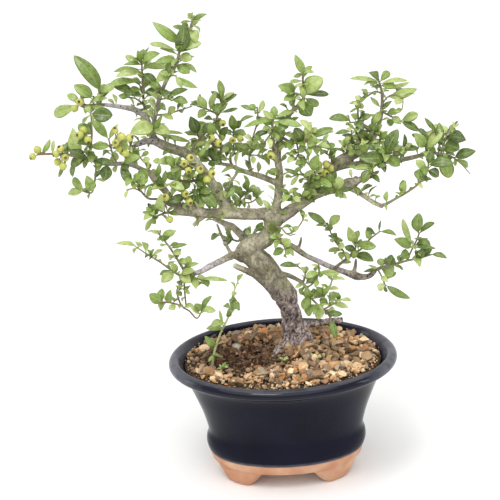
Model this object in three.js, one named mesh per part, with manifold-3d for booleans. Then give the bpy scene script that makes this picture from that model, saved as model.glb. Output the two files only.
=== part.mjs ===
// Firethorn bonsai in an oval glazed pot, in millimetres, +Z up, feet on z = 0.
// The tree is set out on a drawing sheet, as a front elevation seen from a little above:
// every point of a limb, stem or leaf is [across, up, back], and place() puts it in the round.

import * as THREE from 'three';
import { mergeVertices } from 'three/addons/utils/BufferGeometryUtils.js';
import Module from 'manifold-3d';

const wasm = await Module();
wasm.setup();
const { Manifold, Mesh: SolidMesh } = wasm;

// Drawing sheet
const SHEET_TILT = THREE.MathUtils.degToRad(22.63);
const SHEET_DISTANCE = 1400;
const SHEET_HEIGHT = 185;

// Pot: half length and half width of each level, from the feet up
const POT_SEGMENTS = 30;
const POT_OUTSIDE = [
  [14, 56, 35],
  [18, 60, 38],
  [24, 61.8, 39.4],
  [30, 63.6, 41],
  [36, 63.2, 40.8],
  [41, 61.6, 40.4],
  [60, 65.8, 46.6],
  [84, 75, 55.6],
  [93, 80, 60.6],
  [95.5, 87, 67],
  [99.5, 90, 70],
  [104, 86, 66],
];
const POT_INSIDE = [
  [102, 81.6, 61.6],
  [92, 74.5, 55],
  [75, 65.4, 46],
  [45, 57, 36.4],
  [22, 54, 32.6],
];
const FOOT_SOLES = [
  [14, 13],
  [17, 8],
  [22, 3],
  [27, 0],
  [38, 0],
  [50, 0],
  [55, 3],
  [61, 8],
  [66, 13],
];
const FOOT_TOP = 17;
const FOOT_SPAN = [58, 36];
const DRAIN_HOLE_RADIUS = 7;
const DRAIN_HOLE_OFFSET = 27;
const DRAIN_MESH_SIZE = 20;
const DRAIN_MESH_THICKNESS = 1.2;
const DRAIN_MESH_SLOT = 4.6;

// Soil
const SOIL_LEVEL = 99;
const SOIL_EDGE = 97.5;
const SOIL_TURNS = [45, 75, 92];
const SOIL_GRAIN = 2.6;
const SOIL_GRAIN_SHARE = 0.4;
const SOIL_ROUGHNESS = 1.6;
const SOIL_SLIP = 0.03;
const SOIL_MOUND_REACH = 30;
const SOIL_MOUND = 3;
const SOIL_RINGS = 9;
const SOIL_EDGE_GAP = 0.5;
const FIT_GAP = 0.3;
const TIDY = 0.12;
const WOOD_TIDY = 0.25;
const SHORTEST_EDGE = 0.02;

// Tree
const LIMB_SIDES = 6;
const TRUNK_LUMPS = 0.16;
const TRUNK_SIDES = 10;
const STEM_SIDES = 3;
const THIN_LIMB = 2.6;
const THIN_LIMB_SIDES = 4;
const LIMB_STEP = 13;
const STEM_STEP = 14;
const SEAT_SPACING = 1;
const SHORT_BLADE = 12.5;
const LONG_BLADE = 24;
const BLADE_ROOT = 0.1;
const BLADE_THICKNESS = 0.8;
const BLADE_FOLD = 0.16;
const BLADE_STATIONS = [
  [SHORT_BLADE, [[0.62, 1]]],
  [LONG_BLADE, [[0.38, 0.74], [0.76, 1]]],
  [Infinity, [[0.3, 0.56], [0.6, 1], [0.86, 0.76]]],
];
const BUILT_WIDTH = 5.6;
const BUILT_LENGTH = 20;
const FILL_TRIES = 2;
const SPARE_SHARE = 30;
const BLADE_ARCH = 0.1;
const BERRY_RADIUS = 2.9;
const BERRY_STALK = 0.6;

// Bare wood: trunk, limbs and cut stubs, as [across, up, back, radius]
const TRUNK = [
  [14, -85, 26, 11],
  [14, -77, 25, 14],
  [13, -69, 23, 13.4],
  [11, -60, 21, 11.6],
  [9, -50, 19, 8.6],
  [7, -40, 16, 7.6],
  [3, -30, 13, 8],
  [-2.6, -20, 10, 9.2],
  [-9, -10, 7, 9.8],
  [-16, -1, 5, 9.4],
  [-23, 4, 4, 7.6],
];
const LIMBS = [
  [[-28, 3, 4, 6.4], [-24, 8, 4, 7.6], [-16, 12, 4, 7.4], [-8, 16, 4, 6.8], [-4, 22, 4, 6.2],
    [-4.5, 30, 4, 5.8], [-6, 37, 4, 5]],
  [[-14, 3, -3, 2.8], [-6, -6, 0, 3.2], [1, -14.5, 4, 3.6], [5, -21.5, 8, 4], [9, -28.5, 11, 4.8],
    [9.5, -37, 14, 3.6]],
  [[12, -62, 17, 5], [2, -68, 12, 4.4], [-5, -73, 6, 2.8], [-9, -77, 2, 1.6]],
  [[13, -64, 22, 5], [24, -71, 16, 4.4], [31, -77, 11, 2.6], [35, -81, 8, 1.4]],
  [[11, -60, 28, 5], [0, -60, 38, 3.8], [-7, -59, 46, 2]],
  [[-5, 34, 4, 5], [-15, 34, 3, 4.7], [-30, 35, 0, 4.5], [-45, 36, -4, 4.2], [-60, 37, -8, 3.5],
    [-71, 38, -12, 2.9], [-80, 38.5, -15, 1.8]],
  [[-57, 39, -7, 3], [-66, 42, -9, 2.7], [-75, 43.5, -11, 2.6], [-82, 45, -14, 2], [-87, 48, -16, 1.5]],
  [[-37, 38, 0, 4.2], [-42, 46, 4, 4], [-46, 54, 8, 4], [-50, 62, 12, 4], [-56, 70, 15, 4],
    [-62, 78, 17, 4], [-69, 84, 18, 4.1], [-80, 88, 18, 3.9], [-90, 93.5, 17, 3.4]],
  [[-88, 93, 17, 3], [-97, 94, 13, 2.7], [-106, 91, 9, 2]],
  [[-89, 93, 17, 3], [-94, 101, 20, 2.7], [-96, 111, 21, 2.5], [-104, 118, 20, 2.3], [-115, 121, 18, 1.9],
    [-128, 123.3, 14, 1.5]],
  [[-75, 43, -11, 2.6], [-81, 50, -11, 2.6], [-86, 57, -11, 2.9], [-92, 64, -12, 2.6], [-96, 70, -13, 2.4],
    [-101, 71.5, -15, 2.2]],
  [[-28, 5, 1, 3.4], [-38, 2, -6, 2.8], [-45, -1, -13, 2.6], [-52, -4, -19, 2.4], [-60, -8, -25, 2.2],
    [-69, -10, -30, 1.9]],
  [[-21, 12, 8, 3.6], [-28, 19, 22, 3], [-34, 25, 34, 2.8], [-40, 28, 46, 2.4], [-48, 32, 58, 1.8]],
  [[-9, -21, 8, 3.4], [-18, -13, 1, 2.8], [-26, -8.5, -5, 2.4], [-34, -4.5, -9, 2.2]],
  [[13, -53, 20, 3.2], [28, -51.5, 25, 2.9], [40, -50.5, 29, 2.8], [47, -50, 31, 2.6]],
  [[-3, 30, 4, 4.4], [1, 42, 6, 3.4], [3, 55, 8, 3.1], [4, 65, 10, 3], [3, 74, 12, 2.9], [3.5, 83, 14, 2.7],
    [6, 93, 15, 2.5], [9, 102, 15, 2.2], [14, 110, 15, 2], [22, 116.5, 14, 1.7]],
  [[2.5, 77, 12, 2.3], [0, 87, 9, 1.9], [0, 94, 8, 1.6]],
  [[1.5, 57, 8, 2.5], [-6, 61, 12, 2.4], [-15, 64.5, 17, 2.2], [-25, 68, 23, 2], [-33, 72, 28, 1.7],
    [-41, 74, 32, 1.4]],
  [[-4, 25, 4, 5.4], [4, 31, 4, 5], [12, 36, 5, 4.8], [20, 41, 6, 4.4], [30, 47, 8, 4], [40, 50, 9, 3.8],
    [50, 52, 9, 4.3], [58, 54, 8, 5.2], [64, 56.5, 6, 2.8], [71, 59, 4, 2.3], [77, 60, 3, 2.1]],
  [[57, 51, 7, 2.2], [66, 45.5, 2, 1.9], [75, 39, -5, 1.8], [82, 35.5, -10, 1.8]],
  [[22, 42, 7, 3.8], [28, 51, 11, 3.8], [34, 58, 14, 3.8], [41, 65, 18, 4], [50, 71, 22, 4.5],
    [60, 76, 26, 4.1], [71, 80, 28, 3.2]],
  [[41, 65, 18, 2.8], [55, 68, 20, 2.5], [70, 69.5, 20, 2.3], [90, 70, 16, 2.1], [103, 71.5, 12, 1.9],
    [116, 74, 8, 1.6]],
  [[65, 77, 27, 1.8], [65, 88, 26, 1.5], [63.5, 96, 25, 1.1]],
  [[70, 79, 28, 2.4], [75, 86, 29, 2.2], [76, 93, 30, 1.9], [72, 97, 31, 1.7], [68, 100, 32, 1.5]],
  [[74, 84, 29, 2.2], [79, 91, 31, 2], [82, 99, 33, 1.9], [84, 107, 34, 1.8]],
  [[-6, 16, 8, 3.2], [4, 12, 15, 2.7], [12, 7.5, 20, 2.4], [20, 1.5, 24, 2.2], [30, -4, 27, 2.2],
    [40, -9, 29, 2.2], [52, -14, 30, 2.5], [58, -16.5, 30, 3.4], [64, -18, 29, 2.7], [70, -17, 28, 2.2],
    [74, -13, 26, 1.9]],
  [[57, -15, 30, 2], [59, -9, 29, 1.5], [59.5, -4, 27, 1.1]],
  [[0, -12, 5, 2.3], [7, -14, 0, 2], [12, -16.5, -5, 1.7], [17, -19.5, -9, 1.6]],
  [[-54, 35, -7, 1.9], [-60, 31, -9, 1.6], [-64, 27.5, -10, 1.7]],
  [[-36, 4, -3, 1.6], [-42, 17, 6, 1.3], [-46, 28, 14, 1]],
  [[15, 5, 22, 1.5], [17, 9, 21, 1.3], [18.5, 15, 19, 1]],
  [[-27, 69, 24, 1.3], [-34, 59, 20, 1.1], [-40, 51, 17, 0.8]],
  [[-18, 65.5, 18, 1.4], [-18.5, 72, 16, 1.2], [-19, 79, 14, 0.9]],
];

// Leafy sprays. A stem is a list of [across, up, back, radius]; a leaf is
// [root across, root up, tip across, tip up, width, lean], with lean the depth of tip past root.
const SPRAYS = {
  spray_far_left: {
    stems: [
      [[-99, 71, -14, 1.9], [-112, 77, -19, 1.8], [-130, 78, -25, 1.6], [-148, 84, -32, 1.4],
        [-165, 87, -38, 1.2], [-181, 87.5, -43, 1]],
      [[-137, 79, -27, 1.1], [-138, 66, -29, 1], [-141, 56, -31, 0.8], [-148, 58, -31, 0.7]],
      [[-120, 77.3, -22, 1], [-124, 87, -24, 0.9], [-126, 97, -24, 0.7]],
      [[-143, 82, -30, 0.9], [-140, 91, -32, 0.8], [-138.5, 103, -34, 0.8], [-139, 118, -36, 0.6]],
    ],
    leaves: [
      [-148, 84, -153.5, 106, 10, -6], [-146, 83, -158, 90, 7, -9], [-144, 82, -156, 77, 8, -6],
      [-139, 100, -149, 109, 8, -5], [-137, 95, -150, 95, 7, -8], [-139, 91, -126, 91, 5, -5],
      [-126, 96, -139, 112, 7, 6], [-139, 118, -122.5, 115, 11, -5], [-138.5, 116, -146, 109, 4, 3],
      [-126, 97, -118.5, 108, 4, 4], [-116, 77.5, -103.5, 83, 8, -7], [-112, 77, -119, 101, 7, 9],
      [-178, 87.5, -171, 99, 4, -4], [-170, 87, -168, 98, 3, 5], [-162, 86.5, -156, 97, 3, 7],
      [-116, 77, -112, 73, 6, -5], [-138, 80, -124, 79, 6, -6], [-148, 58, -159.5, 56, 7, -2],
      [-146, 57.5, -154.5, 68.5, 6, 4], [-141, 57, -144, 69.5, 8, -5], [-150, 84, -155, 69, 4, 7],
      [-128, 78, -131, 65, 9, -7], [-158, 85, -166, 69, 3, -4], [-120, 77, -124, 71, 4, 4],
      [-118, 77, -113, 63, 7, -8], [-110, 76, -116, 66, 5, 6], [-137, 66, -130, 64, 2.5, 4],
      [-104, 73, -98, 63, 8, -7], [-103, 73, -109, 80, 5, 5], [-133, 78, -142, 88, 6, 9],
      [-125, 88, -132, 84, 5, 8], [-152, 85, -142, 80, 5, 9], [-127, 78, -119, 86, 6, 10],
      [-142, 84, -146, 75, 4, -6], [-140, 92, -148, 101, 7, 8], [-124, 90, -116, 89, 5, 8],
    ],
    fill: 10,
  },
  spray_upper_left_tip: {
    stems: [
      [[-126, 123, 15, 1.5], [-133, 123.5, 13, 1.3], [-140, 123.5, 10, 1.1], [-147, 124.5, 8, 0.9]],
      [[-131, 123.5, 14, 1], [-130, 129, 12, 0.9], [-131, 134, 10, 0.7]],
      [[-136, 123.5, 11, 0.9], [-136, 130, 7, 0.8]],
    ],
    leaves: [
      [-131, 133, -149, 161, 11, -6], [-146, 124.3, -168.5, 117.5, 9, -6], [-134, 130, -150, 139, 9, -5],
      [-146, 124.5, -156, 133, 6, 4], [-136, 130, -147, 131, 7, 6], [-140, 123.5, -127, 129, 5, -5],
      [-139, 123, -128, 121, 4, -3], [-131, 132, -119.5, 138.5, 7, 3], [-130, 126, -124, 134, 3, 6],
      [-141, 123.5, -143, 117, 4, -5], [-133, 124, -140, 117.5, 5, 7], [-133, 128, -128, 140, 6, 8],
    ],
    fill: 4,
  },
  spray_upper_left_shoot: {
    stems: [
      [[-96, 110, 22, 1.6], [-97, 118, 25, 1.4], [-98, 128, 24, 1.2], [-98, 143, 22, 1], [-98, 156, 20, 0.8]],
      [[-97.5, 122, 25, 1], [-104, 127, 22, 0.8], [-110, 128, 19, 0.7]],
    ],
    leaves: [
      [-98, 145, -118, 145, 6, -6], [-98, 149, -121, 149, 4, 5], [-98, 152, -112, 153.5, 4, -6],
      [-98, 155, -110.5, 160, 5, 4], [-98, 156, -101, 164, 5, -3], [-98, 156, -96, 165, 5, 4],
      [-97, 154, -84, 161, 8, -5], [-98, 150, -76, 151, 6, 6], [-98, 147, -87, 136, 9, -7],
      [-97.5, 133, -109, 133, 5, 6], [-98, 139, -124, 138, 7, -9], [-104, 127, -121, 138, 7, -5],
      [-98, 131, -81, 134, 6, -6], [-97.5, 127, -107, 131, 6, 8], [-110, 128, -117, 130, 5, -2],
      [-97.5, 137, -108, 141, 5, 9], [-98, 148, -91, 156, 5, 9], [-97.5, 135, -91, 141, 6, 8],
      [-98, 142, -103, 149, 4, -8], [-98, 157, -92, 166, 2.5, 3], [-97, 120, -105, 113, 5, 8],
    ],
    fill: 6,
  },
  spray_leader: {
    stems: [
      [[-92, 96, 17, 2], [-90.5, 109, 13, 1.8], [-86, 125, 9, 1.7], [-80, 139, 7, 1.5], [-72, 151, 6, 1.4],
        [-68, 163, 6, 1.2], [-61, 176, 6, 1.1], [-57, 186, 6, 0.9]],
      [[-88, 113, 12, 1], [-80, 114, 10, 0.9], [-72, 116, 8, 0.8], [-61, 119, 6, 0.6]],
      [[-81, 138, 7, 0.9], [-77, 143, 2, 0.8], [-72, 143, -2, 0.7]],
      [[-85, 125, 9, 0.9], [-80, 126, 5, 0.8], [-76, 124, 2, 0.7]],
    ],
    leaves: [
      [-71, 156, -88, 154, 6, -7], [-70, 159, -84, 165, 4, 6], [-69, 161, -91.5, 169, 4, 8],
      [-66, 167, -88, 185, 8, -3], [-69.5, 159, -64, 181, 11, -9], [-68, 163, -52.5, 167.5, 8, -6],
      [-69, 160, -54, 166, 5, 6], [-70, 156, -59.5, 155, 8, -6], [-70.5, 155, -57, 157.5, 3, 7],
      [-60, 178, -55, 168.5, 8, -6], [-62, 173, -64, 185, 5, 5], [-61, 178, -73, 181, 4, -5],
      [-58, 184, -67, 184, 2.5, 4], [-57, 185, -46.5, 189.5, 4.5, -3], [-57, 184, -50.5, 185, 3, 5],
      [-57.5, 184, -61, 187.5, 3, -4], [-57, 186, -56.5, 189, 2.5, 2], [-58, 181, -51.5, 175, 2.5, 4],
      [-74, 149, -87.5, 140, 8, -7], [-72, 151, -61.5, 145, 8, -5], [-71.5, 152, -55, 145, 5, 6],
      [-72, 143, -56, 133, 5, -3], [-72, 143, -68, 134, 4, -6], [-78, 143, -75, 151.5, 5, 9],
      [-79, 127, -65, 133, 6, -5], [-76, 124, -64, 122, 6.5, -5], [-85.5, 123, -91, 131, 11, -9],
      [-89, 112, -93, 126, 8, -8], [-80, 114, -74, 119, 6, -5], [-84, 114, -76, 110, 5, -5],
      [-90.5, 107, -108.5, 101, 12, -12], [-90, 105, -79, 100, 9, -9], [-91, 100, -84, 112, 4, -8],
      [-91, 99, -68, 99, 3, 7], [-91.5, 97, -63.5, 92, 4, 10], [-90.5, 103, -96, 98, 6, -9],
      [-83, 133, -92, 139, 6, 8], [-88, 119, -80, 118, 5, 9], [-77, 143, -84, 146, 5, -4],
      [-64, 170, -71, 174, 5, 8], [-72, 149, -80, 153, 5, 8],
    ],
    fill: 8,
  },
  spray_upper_left_stub: {
    stems: [
      [[-103, 92.5, 10, 1.4], [-110, 90, 7, 1.2], [-116, 91, 4, 1]],
      [[-107, 91, 8, 0.9], [-104, 84, 6, 0.8], [-100, 78, 5, 0.7]],
    ],
    leaves: [
      [-110, 90, -103.5, 80, 8, -6], [-104, 84, -108, 76, 5, -4], [-101, 80, -95, 80, 5, -4],
      [-108, 91, -107, 98, 4, -5], [-114, 91, -118, 84, 5, 5], [-102, 82, -96, 86, 4, 5],
      [-100, 78, -95, 73, 5, 4], [-112, 90.5, -117, 97, 5, 7],
    ],
    fill: 3,
  },
  spray_left_tip: {
    stems: [
      [[-78, 38.6, -14, 1.3], [-86, 38, -17, 1.1], [-92, 36, -20, 0.9], [-97, 38, -23, 0.7]],
      [[-85, 38, -17, 0.8], [-87, 43, -20, 0.7]],
    ],
    leaves: [
      [-94, 37, -103, 40, 3, 4], [-95, 37, -99, 43, 5, -4], [-94, 37, -90, 45, 7, -3],
      [-93, 36, -101, 25, 4, -4], [-93, 36, -95.5, 30, 5, 4], [-86, 41, -88, 52, 8, -5],
      [-86, 40, -92, 43, 4, 5], [-82, 38.3, -75, 36, 4, -5], [-84, 38, -78, 42, 3, -6],
      [-89, 37.5, -84, 33, 3, 5],
    ],
    fill: 2,
  },
  spray_left_twig: {
    stems: [
      [[-85, 47, -15, 1.4], [-91, 49, -20, 1.2], [-98, 50, -25, 1.1], [-104, 57, -29, 0.9],
        [-110, 65, -32, 0.7]],
      [[-102, 54, -28, 0.8], [-108, 58, -33, 0.7], [-114, 57, -36, 0.6]],
    ],
    leaves: [
      [-112, 57.5, -115.5, 51, 3, -2], [-106, 60, -99, 58, 5, -3], [-109, 64, -103, 69, 6, -4],
      [-110, 65, -117, 69, 6, -4], [-108, 63, -97, 64, 7, 5], [-98, 51, -96, 60, 4, -5],
      [-107, 61, -112, 66, 4, 6],
    ],
    fill: 2,
  },
  spray_left_cluster: {
    stems: [
      [[-52, 66, 10, 1.6], [-60, 62, 2, 1.4], [-70, 62, -4, 1.2], [-80, 60, -9, 1], [-90, 60, -14, 0.8]],
      [[-62, 62, 1, 1], [-68, 70, -3, 0.9], [-76, 75, -7, 0.8], [-86, 77, -10, 0.7]],
      [[-56, 64, 5, 1], [-60, 55, -3, 0.9], [-70, 50, -8, 0.8]],
    ],
    leaves: [
      [-80, 60, -98, 56, 6, -7], [-82, 60, -70, 56, 7, -8], [-62, 53, -50, 52, 7, -9],
      [-60, 55, -46, 42, 10, -12], [-64, 53, -55, 42, 9, -6], [-70, 50, -82, 46, 7, -5],
      [-70, 50, -60, 44, 6, -4], [-76, 75, -90, 77.5, 6, -6], [-72, 73, -74, 80, 6, -6],
      [-75, 75, -84, 82, 7, -4], [-74, 74, -78, 67, 7, -5], [-86, 77, -93, 79, 5, 4],
      [-70, 62, -84, 68, 7, 6], [-66, 62, -61, 70, 7, -6], [-62, 62, -52, 67, 7, -9],
      [-76, 61, -72, 70, 8, -7], [-88, 60, -94, 72, 6, 5], [-64, 62, -72, 56, 7, -8],
      [-84, 60, -88, 67, 6, -5], [-58, 63, -53, 56, 5, -8], [-68, 70, -76, 72, 5, 8],
      [-72, 61.8, -64, 68, 6, 9], [-57, 60, -47, 62, 5, 8], [-68, 51, -76, 56, 6, 7],
      [-80, 76, -70, 78, 6, 6], [-68, 70, -60, 75, 5, -8],
    ],
    fill: 8,
  },
  spray_lower_left: {
    stems: [
      [[-66, -9.5, -28, 1.6], [-73, -11, -33, 1.4], [-80, -8, -37, 1.1], [-90, 0, -41, 0.9],
        [-99, 6, -44, 0.8], [-110, 14, -47, 0.6]],
      [[-71, -10.5, -31, 1.3], [-78, 3, -34, 1.1], [-84, 13, -36, 1], [-92, 24, -38, 0.8]],
      [[-73, -11, -33, 1], [-73, -22, -35, 0.9], [-72.5, -33, -37, 0.8]],
      [[-72, -11, -32.3, 1], [-66, -13, -34, 1], [-61, -14, -34, 0.9], [-56, -18, -34, 0.7]],
    ],
    leaves: [
      [-80, -8, -90.5, -15, 8, -6], [-78, -9, -68, -16, 8, -6], [-82, -6, -92, -9, 4, 4],
      [-79, -8, -82, -1, 6, -5], [-76, -10, -65, -7, 7, -7], [-70, -11, -62, -17, 6, -6],
      [-64, -10, -57, -12, 5, 5], [-60, -14, -53.5, -18.5, 7, -5], [-58, -16, -66, -20, 6, 4],
      [-62, -12, -40, -15.5, 3.5, -5], [-97, 5, -95, 11, 2.5, -3], [-98, 5.5, -100, 11, 2.5, 3],
      [-97, 5, -88.5, 10.5, 3, 5], [-108, 12.5, -124, 16.5, 3.5, -4], [-108, 12, -104.5, 15.5, 3.5, 3],
      [-108, 12.5, -111.5, 8.5, 3, 2], [-81, 8, -75, 6, 6, -4], [-79, 5, -84.5, 3, 5, 4],
      [-83, 12, -76, 15, 4, 4], [-82, 11, -69.5, 13.5, 3.5, -4], [-85, 14, -91, 14, 2.5, 4],
      [-86, 16, -83, 20, 5, -4], [-88, 19, -78.5, 22.5, 3.5, 5], [-89, 20, -77.5, 24, 5, -5],
      [-91, 23, -96, 23.5, 4.5, -3], [-90, 22, -92, 26, 4, 4], [-87, 18, -93, 18.5, 3.5, 4],
      [-76, -2, -67, 3.5, 6, 5], [-74.5, -6, -62, -1.5, 4, -4], [-73, -14, -78, -18, 6, 4],
      [-73, -20, -69, -25, 3.5, -3], [-73, -27, -76.5, -29.5, 3, 2], [-77, 1, -70, -1, 5, -5],
      [-64, -10, -70, -4, 5, 8], [-70, -10, -76, -16, 6, 8],
    ],
    fill: 8,
  },
  spray_lower_left_pendant: {
    stems: [
      [[-73, -13, -33.5, 1], [-75, -16, -38, 1], [-79, -22, -42, 0.9], [-76, -33.5, -45, 0.9], [-70, -38, -46, 0.8],
        [-64.5, -44, -47, 0.8], [-60, -37, -48, 0.6]],
      [[-76, -33, -45, 0.8], [-84, -31, -47, 0.8], [-92, -30, -49, 0.7]],
    ],
    leaves: [
      [-90, -30, -100, -24, 8, -4], [-88, -30.5, -94, -35, 6, 4], [-86, -31, -84, -21.5, 6, -4],
      [-90, -30, -90.5, -19.5, 6, 5], [-74, -35, -67, -34, 4.5, -4], [-61, -38, -65.5, -33, 6, -4],
      [-60.5, -37, -52.5, -27, 4.5, 3], [-60.5, -38, -50, -38.5, 5.5, -4], [-61, -38, -57, -32, 4, 5],
      [-80, -32, -86, -36, 5, -4],
    ],
    fill: 2,
  },
  basal_shoot: {
    stems: [
      [[-55, -88, -14, 1.6], [-54, -78, -14, 1.5], [-51, -66, -14, 1.4], [-46, -54, -15, 1.3],
        [-41, -45, -16, 1.2], [-38, -33, -17, 1.1], [-35, -24, -18, 1], [-31, -15, -19, 0.8]],
      [[-41.5, -46, -16, 0.8], [-37, -40, -19, 0.7], [-34, -37, -21, 0.6]],
    ],
    leaves: [
      [-51, -66, -59, -58, 6, -3], [-46, -54, -58, -52, 5, 4], [-43, -48, -54, -49.5, 7, -4],
      [-34, -37, -33, -32.5, 4.5, -1], [-39, -38, -43, -34, 5, 3], [-40, -44, -40, -38, 4.5, -4],
      [-38, -34, -36, -30, 4, -3], [-53, -72, -57, -77, 3, -3], [-53, -73, -48.5, -73.5, 3, -3],
      [-45, -51, -47, -38.5, 2.5, 5], [-32, -17, -28, -12, 3.5, -3], [-33, -19, -31, -18, 2.5, 3],
    ],
    fill: 2,
  },
  spray_crotch: {
    stems: [
      [[-3, 16, -2, 1.4], [1, 14, -7, 1.1], [5, 8, -10, 0.9], [6, 3, -11, 0.7]],
    ],
    leaves: [
      [5, 8, 9.5, 13.5, 9, -3], [4, 6, -4, 2.5, 6.5, -3], [6, 3, 8.5, 2, 4, -2], [6, 3, 5.5, -0.5, 3, 2],
      [0, 14, -6, 15.5, 5, -3], [1, 14, 4, 18, 5, 2], [0, 15, -2, 19, 4, -2], [2, 12, -3, 11, 4, -4],
    ],
    fill: 1,
  },
  spray_low_right_bush: {
    stems: [
      [[15, -18.5, -8, 1.5], [19, -22, -13, 1.3], [23, -31, -17, 1.2], [29, -38, -20, 1], [35, -43, -22, 0.9],
        [38, -49, -24, 0.8]],
      [[20, -25, -14, 1], [27, -20, -15, 0.9], [31, -12, -16, 0.8], [30.5, -6, -17, 0.7]],
      [[33, -41, -21, 0.9], [40, -38, -24, 0.8], [46, -34, -27, 0.7]],
      [[24, -33, -17, 0.8], [34, -31, -20, 0.8], [38, -25, -22, 0.7], [41, -18, -24, 0.6]],
      [[18, -21, -12, 0.9], [20, -13, -10, 0.8], [14, -7, -8, 0.7]],
    ],
    leaves: [
      [16, -8, 1, -6, 4.5, -3], [20, -12, 17, -9, 5, -4], [31, -12, 46.5, -14.5, 5.5, -4],
      [30.5, -7, 27, -11, 3, 3], [22, -22, 17, -31, 7, 5], [20, -22, 30, -14, 7, 5],
      [24, -31, 20, -24, 7, -6], [26, -33, 33, -27, 7, 5], [22, -29, 18, -41, 8, -5],
      [28, -37, 19, -44, 8, 5], [30, -38, 36, -33, 6, 6], [27, -36, 30, -46, 9, -7],
      [34, -42, 27, -48, 8, -6], [35, -43, 42, -42, 5, 5], [36, -44, 47, -45.5, 5, -3],
      [37, -48, 41.5, -64.5, 6, -4], [40, -38, 52, -41, 4.5, -4], [44, -35, 55, -35, 3.5, 3],
      [46, -34, 45.5, -30, 3.5, -3], [41, -18, 45, -18, 5, -3], [40, -20, 38.5, -16, 4, 3],
      [34, -31, 39.5, -23, 4, -4], [31, -31, 37, -38, 3, 5], [33, -31, 28, -24, 5, -5],
      [31, -11, 33, -17, 4, 4], [30, -13, 21, -16, 6, -5], [19, -21, 12, -24, 3.5, -5],
      [20, -17, 26, -22, 6, 6], [22, -27, 29, -31, 6, 7], [33, -41, 40, -47, 6, 4],
    ],
    fill: 8,
  },
  spray_back_pale: {
    stems: [
      [[-45, 31, 55, 1.6], [-36, 39, 60, 1.3], [-27, 47, 64, 1.1], [-20, 53, 66, 0.9]],
      [[-30, 44.5, 63, 0.9], [-20, 43, 60, 0.8], [-13, 47, 57, 0.7]],
      [[-38, 37, 60, 0.9], [-40, 47, 64, 0.8], [-38, 55, 66, 0.7]],
    ],
    leaves: [
      [-26, 48, -33, 57, 6, 4], [-22, 52, -21, 60, 6, -4], [-20, 53, -11, 52, 6, 4],
      [-27, 47, -27, 54, 5, -5], [-16, 45, -10, 41, 5, 4], [-14, 46.5, -17, 52, 4, -4],
      [-29, 45, -28, 40, 5, -4], [-21, 43, -22, 38.5, 3, 4], [-20, 52, -29, 50, 5, 7],
      [-39, 50, -46, 53, 6, 5], [-38, 55, -33, 61, 6, -4], [-36, 39, -45, 41, 6, 6],
      [-32, 42, -38, 45, 6, -5], [-23, 51, -15, 57, 5, 6],
    ],
    fill: 6,
  },
  spray_back_low: {
    stems: [
      [[-28, 18, 24, 1.2], [-30, 14, 33, 1.1], [-36, 16, 42, 1], [-44, 19.5, 50, 0.8]],
      [[-30, 14, 33, 0.9], [-22, 17, 42, 0.9], [-14, 22, 50, 0.7]],
    ],
    leaves: [
      [-36, 16, -36, 21.5, 4, -4], [-42, 18.5, -46, 20, 3, 3], [-24, 16, -22, 22, 4, 4],
      [-16, 20.5, -11, 27, 6, -4], [-20, 18, -27, 21, 5, 6], [-44, 19.5, -52, 17, 6, 5],
      [-34, 15.5, -42, 12, 6, 6], [-14, 22, -8, 20, 6, 5], [-28, 15, -22, 10, 6, 7],
    ],
    fill: 4,
  },
  spray_centre_left: {
    stems: [
      [[-39, 73.6, 31, 1.3], [-47, 75, 35, 1.1], [-54, 82, 36, 1], [-56, 92, 34, 0.9], [-58, 98, 31, 0.8]],
      [[-44, 74.5, 34, 1], [-40, 84, 33, 0.9], [-41, 96, 29, 0.8]],
      [[-48, 76, 35, 0.9], [-46, 86, 28, 0.8], [-47, 95, 24, 0.7]],
    ],
    leaves: [
      [-58, 97, -62.5, 111, 9, -4], [-57.5, 96, -52, 107, 10, 4], [-57, 94, -50, 94, 5, -4],
      [-56, 90, -63, 92, 7, -5], [-54, 84, -64, 84, 6, -5], [-41, 95, -45, 109.5, 4.5, 4],
      [-46.5, 94, -47, 105.5, 8, -4], [-41, 94, -34, 102, 6, -5], [-40, 88, -46, 88, 6, -6],
      [-46, 90, -51, 98, 5, 5], [-47, 85, -43, 90, 5, -5], [-55, 87, -51, 80, 7, -5],
      [-40, 82, -34, 86, 5, 5], [-50, 79, -57, 77, 7, -6], [-49, 77, -46, 72, 6, -5],
      [-41, 92, -48, 90, 5, 7], [-56, 88, -60, 82, 6, 6], [-58, 97, -66, 99, 5, 4],
      [-52, 80, -46, 83, 6, 7], [-40, 80, -36, 76, 5, 6],
    ],
    fill: 7,
  },
  spray_centre_back: {
    stems: [
      [[-31, 71, 28, 1.2], [-34, 77, 36, 1.1], [-30, 81, 42, 1], [-22, 83.5, 46, 0.8], [-16, 86, 49, 0.7]],
      [[-32, 80, 40, 1], [-30, 90, 44, 0.9], [-30, 99, 46, 0.8], [-26, 104, 48, 0.6]],
      [[-34, 77, 36, 0.8], [-42, 79, 42, 0.8], [-49, 79, 47, 0.6]],
    ],
    leaves: [
      [-30, 98, -31, 111, 7, -4], [-27, 103, -14, 110, 3.5, 4], [-29, 100, -23, 106, 6, -4],
      [-30, 99, -20, 96, 6, 4], [-30, 97, -41, 98, 5, 5], [-30, 90, -23, 83, 7, -4],
      [-24, 83, -17, 79, 5, -4], [-20, 84, -17, 91, 6, 4], [-30, 88, -37, 84, 5, -4],
      [-28, 82, -24, 90, 5, 6], [-16, 86, -10, 88, 5, 3], [-42, 79, -46, 85, 6, 5],
      [-30, 93, -25, 96, 5, 6], [-30, 84, -36, 91, 6, 7], [-46, 79, -52, 84, 6, 4],
    ],
    fill: 6,
  },
  spray_upper_centre: {
    stems: [
      [[-64.5, 80.5, 21, 1.4], [-60, 90, 26, 1.2], [-50, 100, 30, 1.1], [-42, 110, 33, 1],
        [-46, 114.5, 35, 0.9], [-57, 119, 37, 0.6]],
      [[-42, 110.5, 33, 0.8], [-38, 116, 34, 0.7], [-38, 123, 35, 0.6]],
    ],
    leaves: [
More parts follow.
